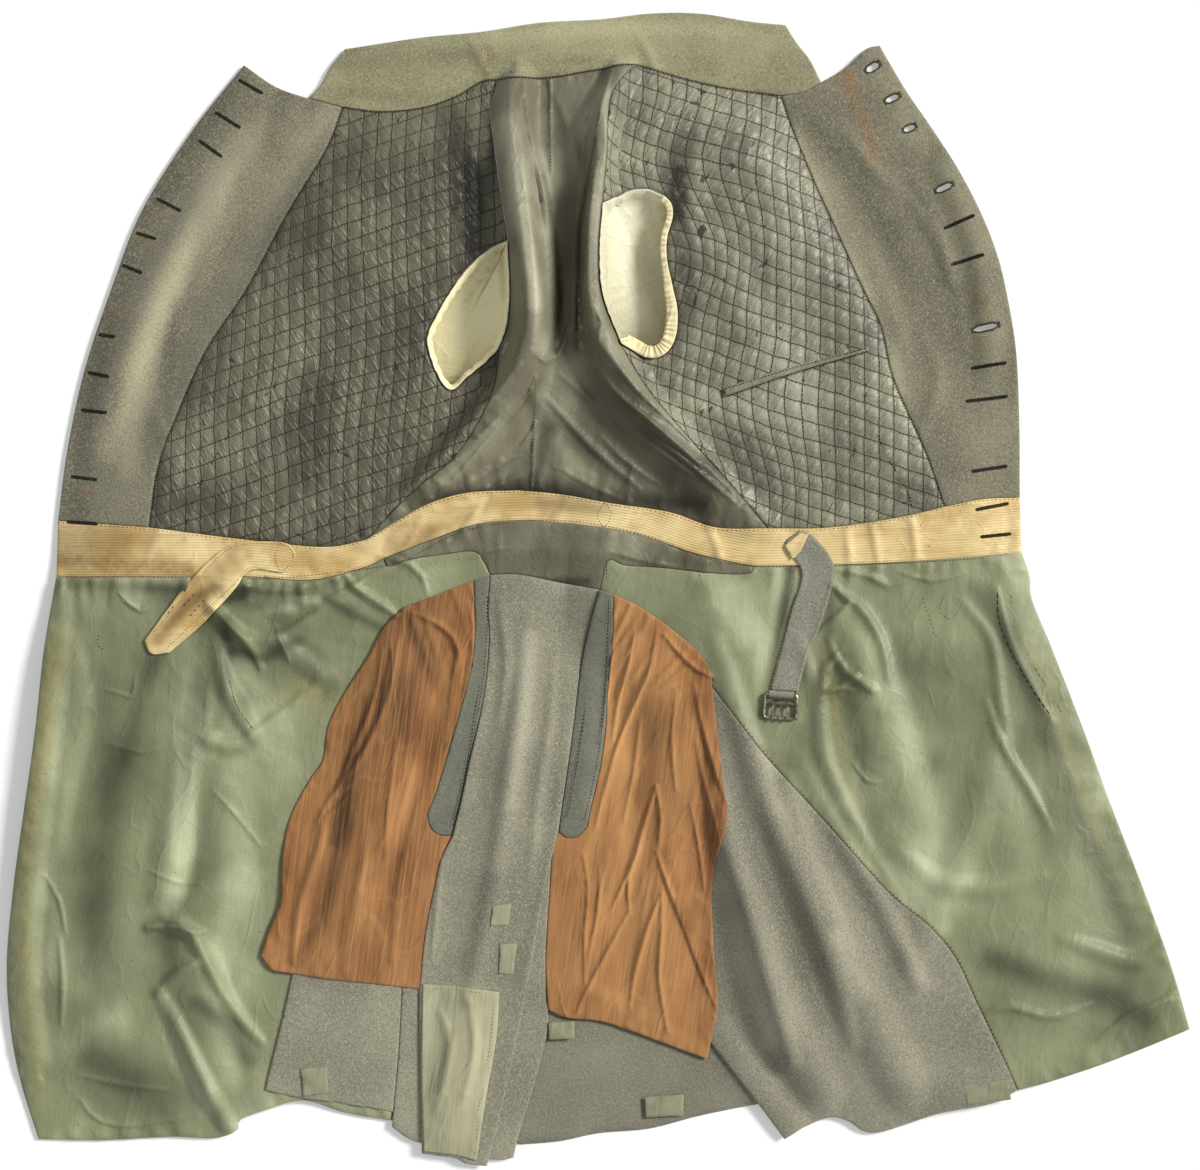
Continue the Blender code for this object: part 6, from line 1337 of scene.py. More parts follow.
# Yellowed satin for the right sleeve's lining, its colours raised well above the cloth's own as painted
# light, where the deep armhole lies in shade.
YELLOWED_SATIN_PAINTED_BRIGHT = satin("yellowed_satin_painted_bright", rgb(176, 160, 112), rgb(250, 242, 200), rgb(255, 252, 226),
                       rgb(104, 74, 42), 60.0, crumple=0.8, crease_size=30.0)
BUFF_RIBBON = ribbon("buff_ribbon", rgb(128, 98, 54), rgb(204, 172, 110), rgb(240, 217, 160),
                     rgb(122, 104, 66))
RUST_COTTON = cotton("rust_cotton", rgb(52, 30, 14), rgb(132, 87, 50), rgb(200, 148, 94), rgb(84, 52, 30),
                     8.0, 0.6, 0.9)
DULL_COTTON = cotton("dull_cotton", rgb(96, 94, 74), rgb(134, 132, 107), rgb(160, 158, 130),
                     rgb(110, 100, 72), 5.0, 0.5, 0.7)
OLIVE_COTTON = cotton("olive_cotton", rgb(66, 65, 48), rgb(148, 146, 117), rgb(196, 192, 160),
                      rgb(150, 140, 96), 5.0, 0.5, 0.7)
CREAM_COTTON = cotton("cream_cotton", rgb(156, 140, 92), rgb(226, 212, 164), rgb(244, 236, 202),
                      rgb(150, 122, 74), 5.0, 0.4, 1.2)
QUILT_RIGHT = quilting("quilt_satin_right", rgb(20, 18, 14), rgb(112, 107, 86), rgb(158, 153, 128),
                       rgb(84, 70, 44), -35.0)
QUILT_LEFT = quilting("quilt_satin_left", rgb(26, 24, 18), rgb(144, 141, 118), rgb(192, 190, 166),
                      rgb(92, 78, 52), 35.0)
DARK_THREAD = plain("dark_thread", rgb(22, 20, 16), rgb(46, 41, 32), 0.85)
OLIVE_THREAD = plain("olive_thread", rgb(62, 60, 44), rgb(92, 88, 66), 0.85)
BUFF_THREAD = plain("buff_thread", rgb(140, 108, 62), rgb(176, 142, 90), 0.85)
RED_THREAD = plain("red_thread", rgb(84, 44, 26), rgb(118, 70, 44), 0.85)
NICKEL = plain("nickel", rgb(120, 114, 96), rgb(176, 170, 150), 0.32, 1.0, 4.0, 0.08)


# Panels: the seams round each cut, base and lower base above the bed, what it lies on
Panel = namedtuple("Panel", "name edges base base_low thick material step rests")
COLLAR_CUT = (
    "collar_top", "collar_end_left", "-collar_seam_facing_left", "-collar_seam_quilt_left",
    "-collar_seam_back", "-collar_seam_quilt_right", "-collar_seam_facing_right", "-collar_end_right")
PANELS = (
    Panel("collar_under", COLLAR_CUT, 0, 0, WOOL, OUTER_WOOL, COARSE, ()),
    Panel("forepart_right", (
        "neck_right", "collar_seam_facing_right", "collar_seam_quilt_right", "back_right_upper",
        "armhole_right", "back_right_lower", "back_right_waist", "-waist_low_right",
        "-waist_end_right", "-front_right"), 0, 0, WOOL, OUTER_WOOL, COARSE, ("sleeve_right",)),
    Panel("forepart_left", (
        "collar_seam_quilt_left", "collar_seam_facing_left", "neck_left", "front_left",
        "waist_end_left", "-waist_low_left", "-back_left_waist", "-back_left_lower",
        "-armhole_left", "-back_left_upper"), 0, 0, WOOL, OUTER_WOOL, COARSE, ("sleeve_left",)),
    Panel("back", (
        "collar_seam_back", "back_left_upper", "back_left_hole", "back_left_lower",
        "back_left_waist", "-waist_low_back_left", "-waist_low_back_right", "-back_right_waist",
        "-back_right_lower", "-back_right_hole", "-back_right_upper"),
        0, 0, WOOL, OUTER_WOOL, COARSE, ("sleeve_left", "sleeve_right")),
    Panel("skirt_right", (
        "waist_low_right", "waist_low_back_right", "centre_back", "-hem_hidden_right",
        "-hem_right", "-skirt_front_right"), 0, 0, WOOL, OUTER_WOOL, COARSE, ("sleeve_right",)),
    Panel("skirt_left", (
        "waist_low_back_left", "waist_low_left", "skirt_front_left", "-hem_left",
        "-pleat_hem_left", "-hem_step_left", "-hem_back_left", "-hem_hidden_left",
        "-centre_back"), 0, 0, WOOL, OUTER_WOOL, COARSE, ("sleeve_left",)),
    Panel("collar_inner", COLLAR_CUT, FIRST, FIRST, WOOL, COLLAR_FELT, FINE, ("collar_under",)),
    Panel("facing_right", (
        "neck_right", "collar_seam_facing_right", "facing_right", "-waist_top_facing_right",
        "-front_right"), FIRST, FIRST, WOOL, FACING_WOOL, FINE, ("forepart_right",)),
    Panel("facing_left", (
        "collar_seam_facing_left", "neck_left", "front_left", "-waist_top_facing_left",
        "-facing_left"), FIRST, FIRST, WOOL, FACING_WOOL, FINE, ("forepart_left",)),
    Panel("back_lining", (
        "collar_seam_back", "back_left_upper", "back_left_hole", "back_left_lower",
        "-waist_top_back_left", "-waist_top_back_right", "-back_right_lower", "-back_right_hole",
        "-back_right_upper"), FIRST, FIRST, SATIN, BACK_SATIN, SMOOTH, ("back",)),
    Panel("waistband", (
        "waist_top_facing_right", "waist_top_quilt_right", "waist_top_back_right",
        "waist_top_back_left", "waist_top_quilt_left", "waist_top_facing_left", "waist_end_left",
        "-waist_low_left", "-waist_low_back_left", "-waist_low_back_right", "-waist_low_right",
        "-waist_end_right"), FIRST, FIRST, WOOL, BUFF_RIBBON, FINE, ("forepart_right", "back")),
    Panel("back_lining_tail", (
        "waist_low_back_right", "waist_low_back_left", "tail_satin_left", "-tail_top",
        "-tail_satin_right"), FIRST, FIRST, SATIN, BACK_SATIN, FINE, ("skirt_right",)),
    Panel("skirt_lining_right", (
        "waist_low_right", "tail_satin_right", "lining_inner_right", "-hem_right",
        "-skirt_front_right"), FIRST, FIRST, SATIN, GREEN_SATIN, BROAD, ("skirt_right",)),
    Panel("skirt_lining_left", (
        "waist_low_left", "skirt_front_left", "-hem_left", "-lining_seam_left",
        "-lining_inner_left", "-tail_satin_left"), FIRST, FIRST, SATIN, GREEN_SATIN, BROAD, ("skirt_left",)),
    Panel("pleat_right", (
        "pleat_top_right", "pleat_inner_right", "pleat_seam_right", "pleat_hem_right",
        "pleat_fold_right"), SECOND, SECOND, WOOL, TAIL_WOOL, MIDDLE, ("skirt_lining_right",)),
    Panel("pleat_left", (
        "lining_seam_left", "-pleat_hem_left", "-pleat_tip_left", "-pleat_fold_left",
        "-pleat_inner_left"), FIRST, FIRST, WOOL, PLEAT_WOOL, FINE, ("skirt_left",)),
    Panel("underlay_right", (
        "pleat_seam_right", "underlay_right_edge", "underlay_right_hem", "underlay_right_inner",
        "underlay_right_top"), SECOND, SECOND, WOOL, TAIL_WOOL, MIDDLE, ("skirt_lining_right",)),
    Panel("underlay_left", (
        "bag_left_inner", "underlay_left_edge", "underlay_left_hem", "underlay_left_inner"),
        SECOND, SECOND, WOOL, TAIL_WOOL, MIDDLE, ("skirt_left",)),
    Panel("tail", (
        "tail_top", "tail_edge_left", "tail_edge_left_low", "-tail_hem", "-tail_edge_right_low",
        "-tail_edge_right_mid", "-tail_edge_right"), FIRST, THIRD, WOOL, TAIL_WOOL, FINE, ("skirt_right",)),
    Panel("tail_patch", (
        "patch_tail_top", "patch_tail_edge", "patch_tail_hem", "patch_tail_side"),
        FOURTH, FOURTH, COTTON, OLIVE_COTTON, FINE, ("tail",)),
    Panel("pocket_welt_right", (
        "welt_right_top", "tail_edge_right", "-welt_right_end", "-welt_right_outer"),
        SECOND, SECOND, WOOL, WELT_CLOTH, FINE, ("skirt_lining_right",)),
    Panel("pocket_welt_left", (
        "welt_left_top", "welt_left_outer", "-welt_left_end", "-tail_edge_left"),
        ON_WOOL, ON_WOOL, WOOL, WELT_CLOTH, FINE, ("pleat_left",)),
    Panel("pocket_bag_right", (
        "bag_right_top", "welt_right_outer", "welt_right_end", "tail_edge_right_mid",
        "-bag_right_hem", "-bag_right_outer"),
        SECOND, THIRD, SATIN, RUST_COTTON, CRISP, ("skirt_lining_right",)),
    Panel("pocket_bag_left", (
        "bag_left_top", "bag_left_outer", "-bag_left_hem", "-bag_left_inner", "welt_left_end",
        "-welt_left_outer"), ON_WOOL, ON_WOOL, SATIN, RUST_COTTON, CRISP, ("pleat_left",)),
    Panel("breast_pocket_welt", (
        "pocket_welt_upper", "pocket_welt_end", "pocket_welt_under", "pocket_welt_tip"),
        ON_WOOL + QUILT_PUFF + 0.4, ON_WOOL + QUILT_PUFF + 0.4, SATIN, QUILT_LEFT, 2.5, ("quilt_left",)),
    Panel("strap_right", (
        "strap_right_upper", "strap_right_tip", "strap_right_under"),
        ON_WOOL, ON_WOOL, RIBBON, BUFF_RIBBON, 3.0, ("waistband", "skirt_lining_right")),
    Panel("strap_left", (
        "strap_left_outer", "strap_left_end", "strap_left_inner"),
        ON_WOOL, ON_WOOL, RIBBON, STRAP_WOOL, 3.0, ("waistband", "skirt_lining_left")),
)
# Panels whose underside goes over from base to base_low: where that starts and ends, down the coat
RAMPS = {"tail": (-30.0, -165.0), "pocket_bag_right": (-190.0, -255.0)}
PANEL_NAMED = {row.name: row for row in PANELS}
EDGE_ROUND = 1.5


def base_of(panel, points):
    if panel.name not in RAMPS:
        return np.full(len(points), float(panel.base))
    top, foot = RAMPS[panel.name]
    share = np.clip((points[:, 1] - top) / (foot - top), 0, 1)
    return panel.base + share * share * (3 - 2 * share) * (panel.base_low - panel.base)


def soft_values(name, kind, points):
    """The painted highlight and shade, with some wear, or the stain values of a panel's own marks."""
    found = np.zeros(len(points))
    for bends in MARKS.get((name, kind), ()):
        for sign in (1, -1):
            crests = [Crest(x, y, max(sign * height, 0), left, right) for x, y, height, left, right in bends]
            if any(crest.height for crest in crests):
                found += sign * ridge(points, crests)
    return np.clip(found, -1, 1)


BAND_FOOT = ("waist_low_right", "waist_low_back_right", "waist_low_back_left", "waist_low_left")


def across_of(name, points):
    """How far each point of a ribbed tape lies across it, in millimetres."""
    if name == "waistband":
        return beside(points, outline(BAND_FOOT, 5.0)[:-1], 90.0)[0]
    line = smooth_line(STRAP_MIDDLES[name], 3.0)
    away = np.linalg.norm(points[:, None, :] - line[None], axis=2)
    near = np.clip(away.argmin(axis=1), 1, len(line) - 2)
    run = line[near + 1] - line[near - 1]
    run /= np.linalg.norm(run, axis=1)[:, None]
    out = points - line[near]
    return 30 + out[:, 1] * run[:, 0] - out[:, 0] * run[:, 1]


# Small folds drawn up along a seam: how far they reach, their height and how wide one is
Pucker = namedtuple("Pucker", "panel seam reach height size")
PUCKERS = (
    Pucker("skirt_lining_right", "waist_low_right", 46, 3.4, 10),
    Pucker("skirt_lining_right", "skirt_front_right", 20, 1.3, 12),
    Pucker("skirt_lining_right", "hem_right", 30, 1.9, 12),
    Pucker("skirt_lining_left", "waist_low_left", 40, 2.6, 11),
    Pucker("skirt_lining_left", "skirt_front_left", 34, 1.9, 13),
    Pucker("skirt_lining_left", "hem_left", 30, 1.8, 12),
    Pucker("skirt_lining_left", "lining_seam_left", 16, 0.8, 9),
    Pucker("back_lining", "waist_top_back_right", 46, 3.0, 10),
    Pucker("back_lining", "waist_top_back_left", 46, 3.0, 10),
    Pucker("back_lining", "back_left_lower", 26, 1.8, 9),
    Pucker("back_lining", "back_right_lower", 26, 1.8, 9),
    Pucker("back_lining", "back_left_upper", 14, 1.0, 9),
    Pucker("back_lining", "collar_seam_back", 30, 1.6, 8),
    Pucker("back_lining_tail", "waist_low_back_right", 34, 2.2, 8),
    Pucker("back_lining_tail", "waist_low_back_left", 34, 2.2, 8),
    Pucker("pocket_bag_right", "bag_right_top", 150, 2.6, 7),
    Pucker("pocket_bag_right", "bag_right_outer", 20, 1.6, 13),
    Pucker("pocket_bag_right", "bag_right_hem", 26, 1.2, 10),
    Pucker("pocket_bag_left", "bag_left_top", 130, 2.4, 7),
    Pucker("pocket_bag_left", "bag_left_outer", 16, 1.2, 11),
    Pucker("pocket_bag_left", "bag_left_hem", 44, 2.0, 11),
    Pucker("facing_right", "facing_right", 12, 0.6, 14),
    Pucker("facing_left", "facing_left", 14, 0.7, 14),
    Pucker("facing_left", "front_left", 9, 0.5, 17),
    Pucker("collar_inner", "collar_seam_quilt_right", 12, 0.9, 8),
    Pucker("collar_inner", "collar_seam_quilt_left", 12, 0.9, 8),
    Pucker("waistband", "waist_top_quilt_left", 9, 0.5, 9),
    Pucker("waistband", "waist_top_quilt_right", 9, 0.5, 9),
    Pucker("tail_patch", "patch_tail_top", 20, 0.9, 8),
    Pucker("tail_patch", "patch_tail_edge", 14, 0.8, 10),
)


def puckered(name, points):
    found = np.zeros(len(points))
    for index, row in enumerate(PUCKERS):
        if row.panel != name:
            continue
        line = seam(row.seam, 4.0)
        gap, along = beside(points, line, row.reach)
        near = np.where(gap < row.reach)[0]
        wave = np.array([noise.noise(Vector((along[i] / row.size, gap[i] / (row.reach * 0.9), index * 3.1)))
                         for i in near])
        fade = hump(gap[near] / row.reach) * np.clip(gap[near] / 2.5, 0.25, 1)
        found[near] = np.maximum(found[near], row.height * fade * np.clip(0.12 + 1.9 * wave, 0, 1))
    return found


def walls_of(flat, faces, low, high):
    """The points and faces of a closed wall between two heights of one pattern."""
    count = len(flat)
    points = np.vstack([np.column_stack([flat, low]), np.column_stack([flat, high])])
    sides = [(a, b, b + count, a + count) for a, b in rim(faces)]
    roof = [[v + count for v in face] for face in faces]
    return points, [face[::-1] for face in faces] + roof + sides


def dress(thing, name, points):
    """Keeps a panel's painted highlight and shade, with some wear and an uneven brightness at random, and its
    stains, for its material.
    """
    flat = points[:, :2]
    painted_light_and_wear = np.clip(soft_values(name, "painted_light_and_wear", flat) + 0.2 * sway(flat, 48.0, 3.0), -1, 1)
    tones(thing, painted_light_and_wear, "painted_light_and_wear")
    tones(thing, soft_values(name, "stain", flat), "stain")


def sheet_area(points, faces):
    """Half the closed wall's area: the cloth's own."""
    whole = 0.0
    for size in (3, 4):
        some = np.array([face for face in faces if len(face) == size])
        if len(some):
            whole += mesh_area(points, some[:, :3])
            if size == 4:
                whole += mesh_area(points, some[:, [0, 2, 3]])
    return whole / 2


def lay(panel):
    """One panel of cloth on the bed, its edges rounded and its underside on what it lies on."""
    loop = outline(panel.edges, min(panel.step, 5.0))
    holes = [slit_loop(slit) for slit in SLITS] if panel.name in ("facing_left", "forepart_left") else []
    dots = grid_in(loop, panel.step)
    if panel.step < COARSE:
        extra = crease_dots(loop.min(axis=0), loop.max(axis=0))
        dots = np.vstack([thinned(dots, extra, DOT_CLEAR), extra])
    dots = dots[to_loop(dots, loop, 3.0) > min(2.2, 0.6 * panel.step)]
    if panel.step < COARSE:
        dots = np.vstack([dots, inset(loop, 0.5), inset(loop, EDGE_ROUND)])
    flat, faces = cut(loop, holes, dots)
    offset = base_of(panel, flat)
    steep = steepness(flat)
    ground = bed(flat, panel.material is not OUTER_WOOL)
    away = to_loop(flat, loop, EDGE_ROUND)
    for hole in holes:
        away = np.minimum(away, to_loop(flat, hole, EDGE_ROUND))
    curve = np.sqrt(np.clip(1 - (1 - away / EDGE_ROUND) ** 2, 0, 1))
    raised = puckered(panel.name, flat)
    low = ground + offset * steep + raised
    high = ground + (offset + panel.thick * (0.5 + 0.5 * curve)) * steep + raised
    points, faces = walls_of(flat, faces, low, high)
    thing = piece(panel.name + "_cloth", points, faces, panel.material, replaced=(panel.name,))
    dress(thing, panel.name, points)
    if panel.material is BUFF_RIBBON:
        tones(thing, across_of(panel.name, points[:, :2]), "across")
    if panel.material is QUILT_LEFT:
        layer = thing.data.uv_layers.new(name="lattice")
        layer.data.foreach_set("uv", np.full(2 * len(thing.data.loops), 0.5))
    declare_sheet(loop, abs(signed_area(loop)), sheet_area(points, faces))


# Quilts: the edges of the cut, how the slanted lines rise, and places where the lattice leans
Quilt = namedtuple("Quilt", "name edges rise material leans")
Lean = namedtuple("Lean", "x y reach across up")
QUILTS = (
    Quilt("quilt_right", (
        "collar_seam_quilt_right", "back_right_upper", "armhole_right", "back_right_lower",
        "-waist_top_quilt_right", "-facing_right"), QUILT_RISE, QUILT_RIGHT, (
        Lean(-190, 160, 150, -0.10, 0.05), Lean(-280, 120, 90, 0.12, 0.0))),
    Quilt("quilt_left", (
        "collar_seam_quilt_left", "facing_left", "-waist_top_quilt_left", "-back_left_lower",
        "-armhole_left", "-back_left_upper"), -QUILT_RISE, QUILT_LEFT, (
        Lean(66, 330, 110, 0.55, -0.10), Lean(120, 120, 110, 0.30, 0.12),
        Lean(190, 400, 110, -0.12, 0.05))),
)
ARC_STEP = 4.0
STEEP_SHARE = 0.8
QUILT_STEP = 3.2
CELL_SHARE = 0.25
PLACE_ROUNDS = 60
ROUND_SHARE = 0.45
NEAR_ENOUGH = 0.03


class Lattice:
    """The stitch lines of a quilt: they follow the cloth down its folds, and lean here and there."""

    def __init__(self, quilt, loop):
        self.quilt = quilt
        self.low = loop.min(axis=0) - 30
        size = np.ceil((loop.max(axis=0) + 30 - self.low) / ARC_STEP).astype(int) + 1
        xs = self.low[0] + ARC_STEP * np.arange(size[0])
        ys = self.low[1] + ARC_STEP * np.arange(size[1])
        spots = np.array([(x, y) for y in ys for x in xs])
        ground = bed(spots).reshape(size[1], size[0])
        slope = np.gradient(ground, ARC_STEP, axis=1)
        extra = np.minimum(np.sqrt(1 + slope * slope) - 1, STEEP_SHARE) * ARC_STEP
        arc = np.cumsum(extra, axis=1)
        self.extra = arc - arc[:, [size[0] // 2]]
        for _ in range(4):
            self.extra[1:-1] = (self.extra[:-2] + 2 * self.extra[1:-1] + self.extra[2:]) / 4

    def looked_up(self, points):
        place = (points - self.low) / ARC_STEP
        high = np.array(self.extra.shape)[::-1] - 1.001
        place = np.clip(place, 0, high)
        column, row = place.astype(int).T
        right, up = (place - place.astype(int)).T
        grid = self.extra
        return ((grid[row, column] * (1 - right) + grid[row, column + 1] * right) * (1 - up)
                + (grid[row + 1, column] * (1 - right) + grid[row + 1, column + 1] * right) * up)

    def columns_rows(self, points):
        across = points[:, 0] + self.looked_up(points)
        up = points[:, 1].copy()
        for lean in self.quilt.leans:
            share = hump(np.hypot(points[:, 0] - lean.x, points[:, 1] - lean.y) / lean.reach)
            across += share * lean.across * (points[:, 1] - lean.y)
            up += share * lean.up * (points[:, 0] - lean.x)
        return np.column_stack([across / QUILT_ACROSS, (up - self.quilt.rise * across) / QUILT_DOWN])

    def places(self, wanted, start):
        """The points in the plane that lie at wanted columns and rows."""
        points = start.copy()
        for _ in range(PLACE_ROUNDS):
            missing = wanted - self.columns_rows(points)
            step = np.column_stack([
                missing[:, 0] * QUILT_ACROSS,
                missing[:, 1] * QUILT_DOWN + self.quilt.rise * missing[:, 0] * QUILT_ACROSS])
            points = points + ROUND_SHARE * step
        return points, np.abs(wanted - self.columns_rows(points)).max(axis=1)


def pad(quilt):
    """A padded panel, its satin raised in each cell between the lines of stitching."""
    loop = outline(quilt.edges, QUILT_STEP)
    lattice = Lattice(quilt, loop)
    corners = lattice.columns_rows(np.vstack([loop, loop + (0, 25), loop - (0, 25)]))
    low, high = np.floor(corners.min(axis=0)), np.ceil(corners.max(axis=0))
    columns = np.arange(low[0], high[0], CELL_SHARE)
    rows = np.arange(low[1], high[1], CELL_SHARE)
    wanted = np.array([(c, r) for c in columns for r in rows])
    start = np.column_stack([wanted[:, 0] * QUILT_ACROSS,
                             wanted[:, 1] * QUILT_DOWN + quilt.rise * wanted[:, 0] * QUILT_ACROSS])
    box = np.all((start > loop.min(axis=0) - 120) & (start < loop.max(axis=0) + 120), axis=1)
    dots, miss = lattice.places(wanted[box], start[box])
    good = (miss < NEAR_ENOUGH) & np.all((dots > loop.min(axis=0)) & (dots < loop.max(axis=0)), axis=1)
    dots = dots[good]
    dots = dots[to_loop(dots, loop, 3.0) > 1.3]
    flat, faces = cut(loop, [], dots)
    cells = lattice.columns_rows(flat)
    steep = steepness(flat)
    ground = bed(flat)
    part = np.abs(np.sin(pi * cells))
    edge = np.clip(to_loop(flat, loop, 4.0) / 4.0, 0, 1)
    puff = (part[:, 0] * part[:, 1]) ** 0.62 * QUILT_PUFF * 1.3
    inside = cells - np.floor(cells)
    slant = inside[:, 0] + inside[:, 1] - 1 if quilt.rise > 0 else inside[:, 0] - inside[:, 1]
    pinch = np.array([0.5 + noise.noise(Vector((c * 0.9, r * 0.9, 4.0))) for c, r in np.floor(cells)])
    puff -= 1.1 * np.clip(pinch, 0, 1) * hump(slant / 0.34) * (part[:, 0] * part[:, 1]) ** 0.4
    puff *= 0.9 + 0.3 * sway(flat, 9.0, 8.0)
    uneven = 0.5 * sway(flat, 30.0, 2.0)
    low_side = ground + FIRST * steep
    top = ground + (FIRST + QUILT_BACKING + np.clip(puff + uneven, -0.3, 2.6) * edge) * steep
    points, sides = walls_of(flat, faces, low_side, top)
    thing = piece(quilt.name + "_padding", points, sides, quilt.material, replaced=(quilt.name,),
                  uvs=np.vstack([cells, cells]))
    dress(thing, quilt.name, points)


def tube(rings, inner):
    """The faces and points of a wall between two tubes of matching rings, open at both ends."""
    rows, around = len(rings), len(rings[0])
    points = [p for ring in rings for p in ring] + [p for ring in inner for p in ring]
    shift = rows * around
    faces = []
    for i in range(around):
        j = (i + 1) % around
        for row in range(rows - 1):
            a, b, c, d = (row * around + i, row * around + j, (row + 1) * around + j,
                          (row + 1) * around + i)
            faces += [(a, b, c), (a, c, d)]
            faces += [(c + shift, b + shift, a + shift), (d + shift, c + shift, a + shift)]
        faces.append((j, i, i + shift, j + shift))
        end = (rows - 1) * around
        faces.append((end + i, end + j, end + j + shift, end + i + shift))
    return np.array(points), faces


def armhole_loop(side, step=4.0):
    """The points round an armhole, with the angle of each from the side away from the cuff."""
    hole = np.vstack([seam("armhole_" + side, step)[:-1], seam("-back_" + side + "_hole", step)[:-1]])
    hole = hole if signed_area(hole) > 0 else hole[::-1]
    line = sleeve_line(side)
    run = (line[4] - line[0]) / np.linalg.norm(line[4] - line[0])
    across = np.array([run[1], -run[0]])
    out = hole - hole.mean(axis=0)
    return hole, np.arctan2(out @ run, out @ across)


def sleeve_rings(side, gap, last, every=SLEEVE_STEP):
    """Rings of a sleeve, a gap inside its outside. From the armhole it bends below the coat and lies flat."""
    loop, angles = armhole_loop(side)
    loop = inset(loop, gap)
    line = sleeve_line(side)
    steps = np.arange(len(line)) * SLEEVE_STEP
    sections = []
    for down in np.arange(BEND_END, last + 0.1, every):
        half, tall = section_at(down)
        centre, ahead, behind = [
            np.array([np.interp(down + step, steps, line[:, axis]) for axis in (0, 1)])
            for step in (0, 20, -20)]
        run = (ahead - behind) / np.linalg.norm(ahead - behind)
        across = np.array([run[1], -run[0]])
        up = np.clip(np.sin(angles) / 0.82, -1, 1)
        share = 0.5 + 0.5 * np.sign(up) * np.abs(up) ** 0.7
        place = centre + np.outer((half - gap) * np.cos(angles), across)
        sag = 1.6 * np.clip(sway(place, 42.0, 6.0) + 0.2, 0, 1) * (share > 0.5)
        sections.append(np.column_stack([place, gap + (tall - 2 * gap) * share - sag]))
    rim_height = bed(loop) - RIM_DROP
    first = sections[0]
    start = np.column_stack([loop, rim_height])
    bend = np.column_stack([loop, np.minimum(first[:, 2], rim_height - SLEEVE_CLEAR)])
    rings = [start * (1 - t) ** 2 + bend * 2 * t * (1 - t) + first * t * t
             for t in (0, 0.1, 0.2, 0.32, 0.45, 0.6, 0.8)]
    rings += sections
    for ring in rings[1:]:
        ring[:, 2] = np.clip(ring[:, 2], gap, bed(ring[:, :2]) - SLEEVE_CLEAR - gap)
    return rings


def ruffled(edge, depth):
    """The gathers of a lining where it's sewn into the armhole, uneven round the edge."""
    middle = edge.mean(axis=0)
    out = edge - middle
    angle = np.arctan2(out[:, 1], out[:, 0])
    wave = np.sin(26 * angle + 2.2 * np.sin(3 * angle)) * 0.5 + np.sin(41 * angle + 1.3) * 0.3
    return edge - out / np.linalg.norm(out, axis=1)[:, None] * (1 + wave)[:, None] * depth


def sleeve(side):
    points, faces = tube(sleeve_rings(side, 0, SLEEVE_LONG), sleeve_rings(side, WOOL, SLEEVE_LONG))
    thing = piece("sleeve_" + side + "_cloth", points, faces, OUTER_WOOL, replaced=("sleeve_" + side,))
    dress(thing, "sleeve_" + side, points)
    walls = []
    for wall in (0, COTTON):
        gap = WOOL + LINING_EASE + wall
        edge = inset(armhole_loop(side)[0], LIP_GAP + wall)
        height = bed(edge) + ON_WOOL * steepness(edge)
        rings = sleeve_rings(side, gap, LINING_LONG, 14.0)
        folds = [np.column_stack([ruffled(edge, 0.5), height])]
        for index, ring in enumerate(rings):
            depth = GATHER_DEPTHS[min(index, len(GATHER_DEPTHS) - 1)]
            folds.append(np.column_stack([ruffled(ring[:, :2], depth), ring[:, 2]]))
        walls.append(folds)
    points, faces = tube(*walls)
    # The right lining's satin has painted light in its colours.
    material = IVORY_SATIN if side == "left" else YELLOWED_SATIN_PAINTED_BRIGHT
    thing = piece("sleeve_lining_" + side + "_cloth", points, faces, material,
                  replaced=("sleeve_lining_" + side,))
    dress(thing, "sleeve_lining_" + side, points)


def top_of(offset, points):
    """How far the top of a cloth stands off the bed: a number, or the name of a panel that changes."""
    if not isinstance(offset, str):
        return offset
    return base_of(PANEL_NAMED[offset], points) + PANEL_NAMED[offset].thick


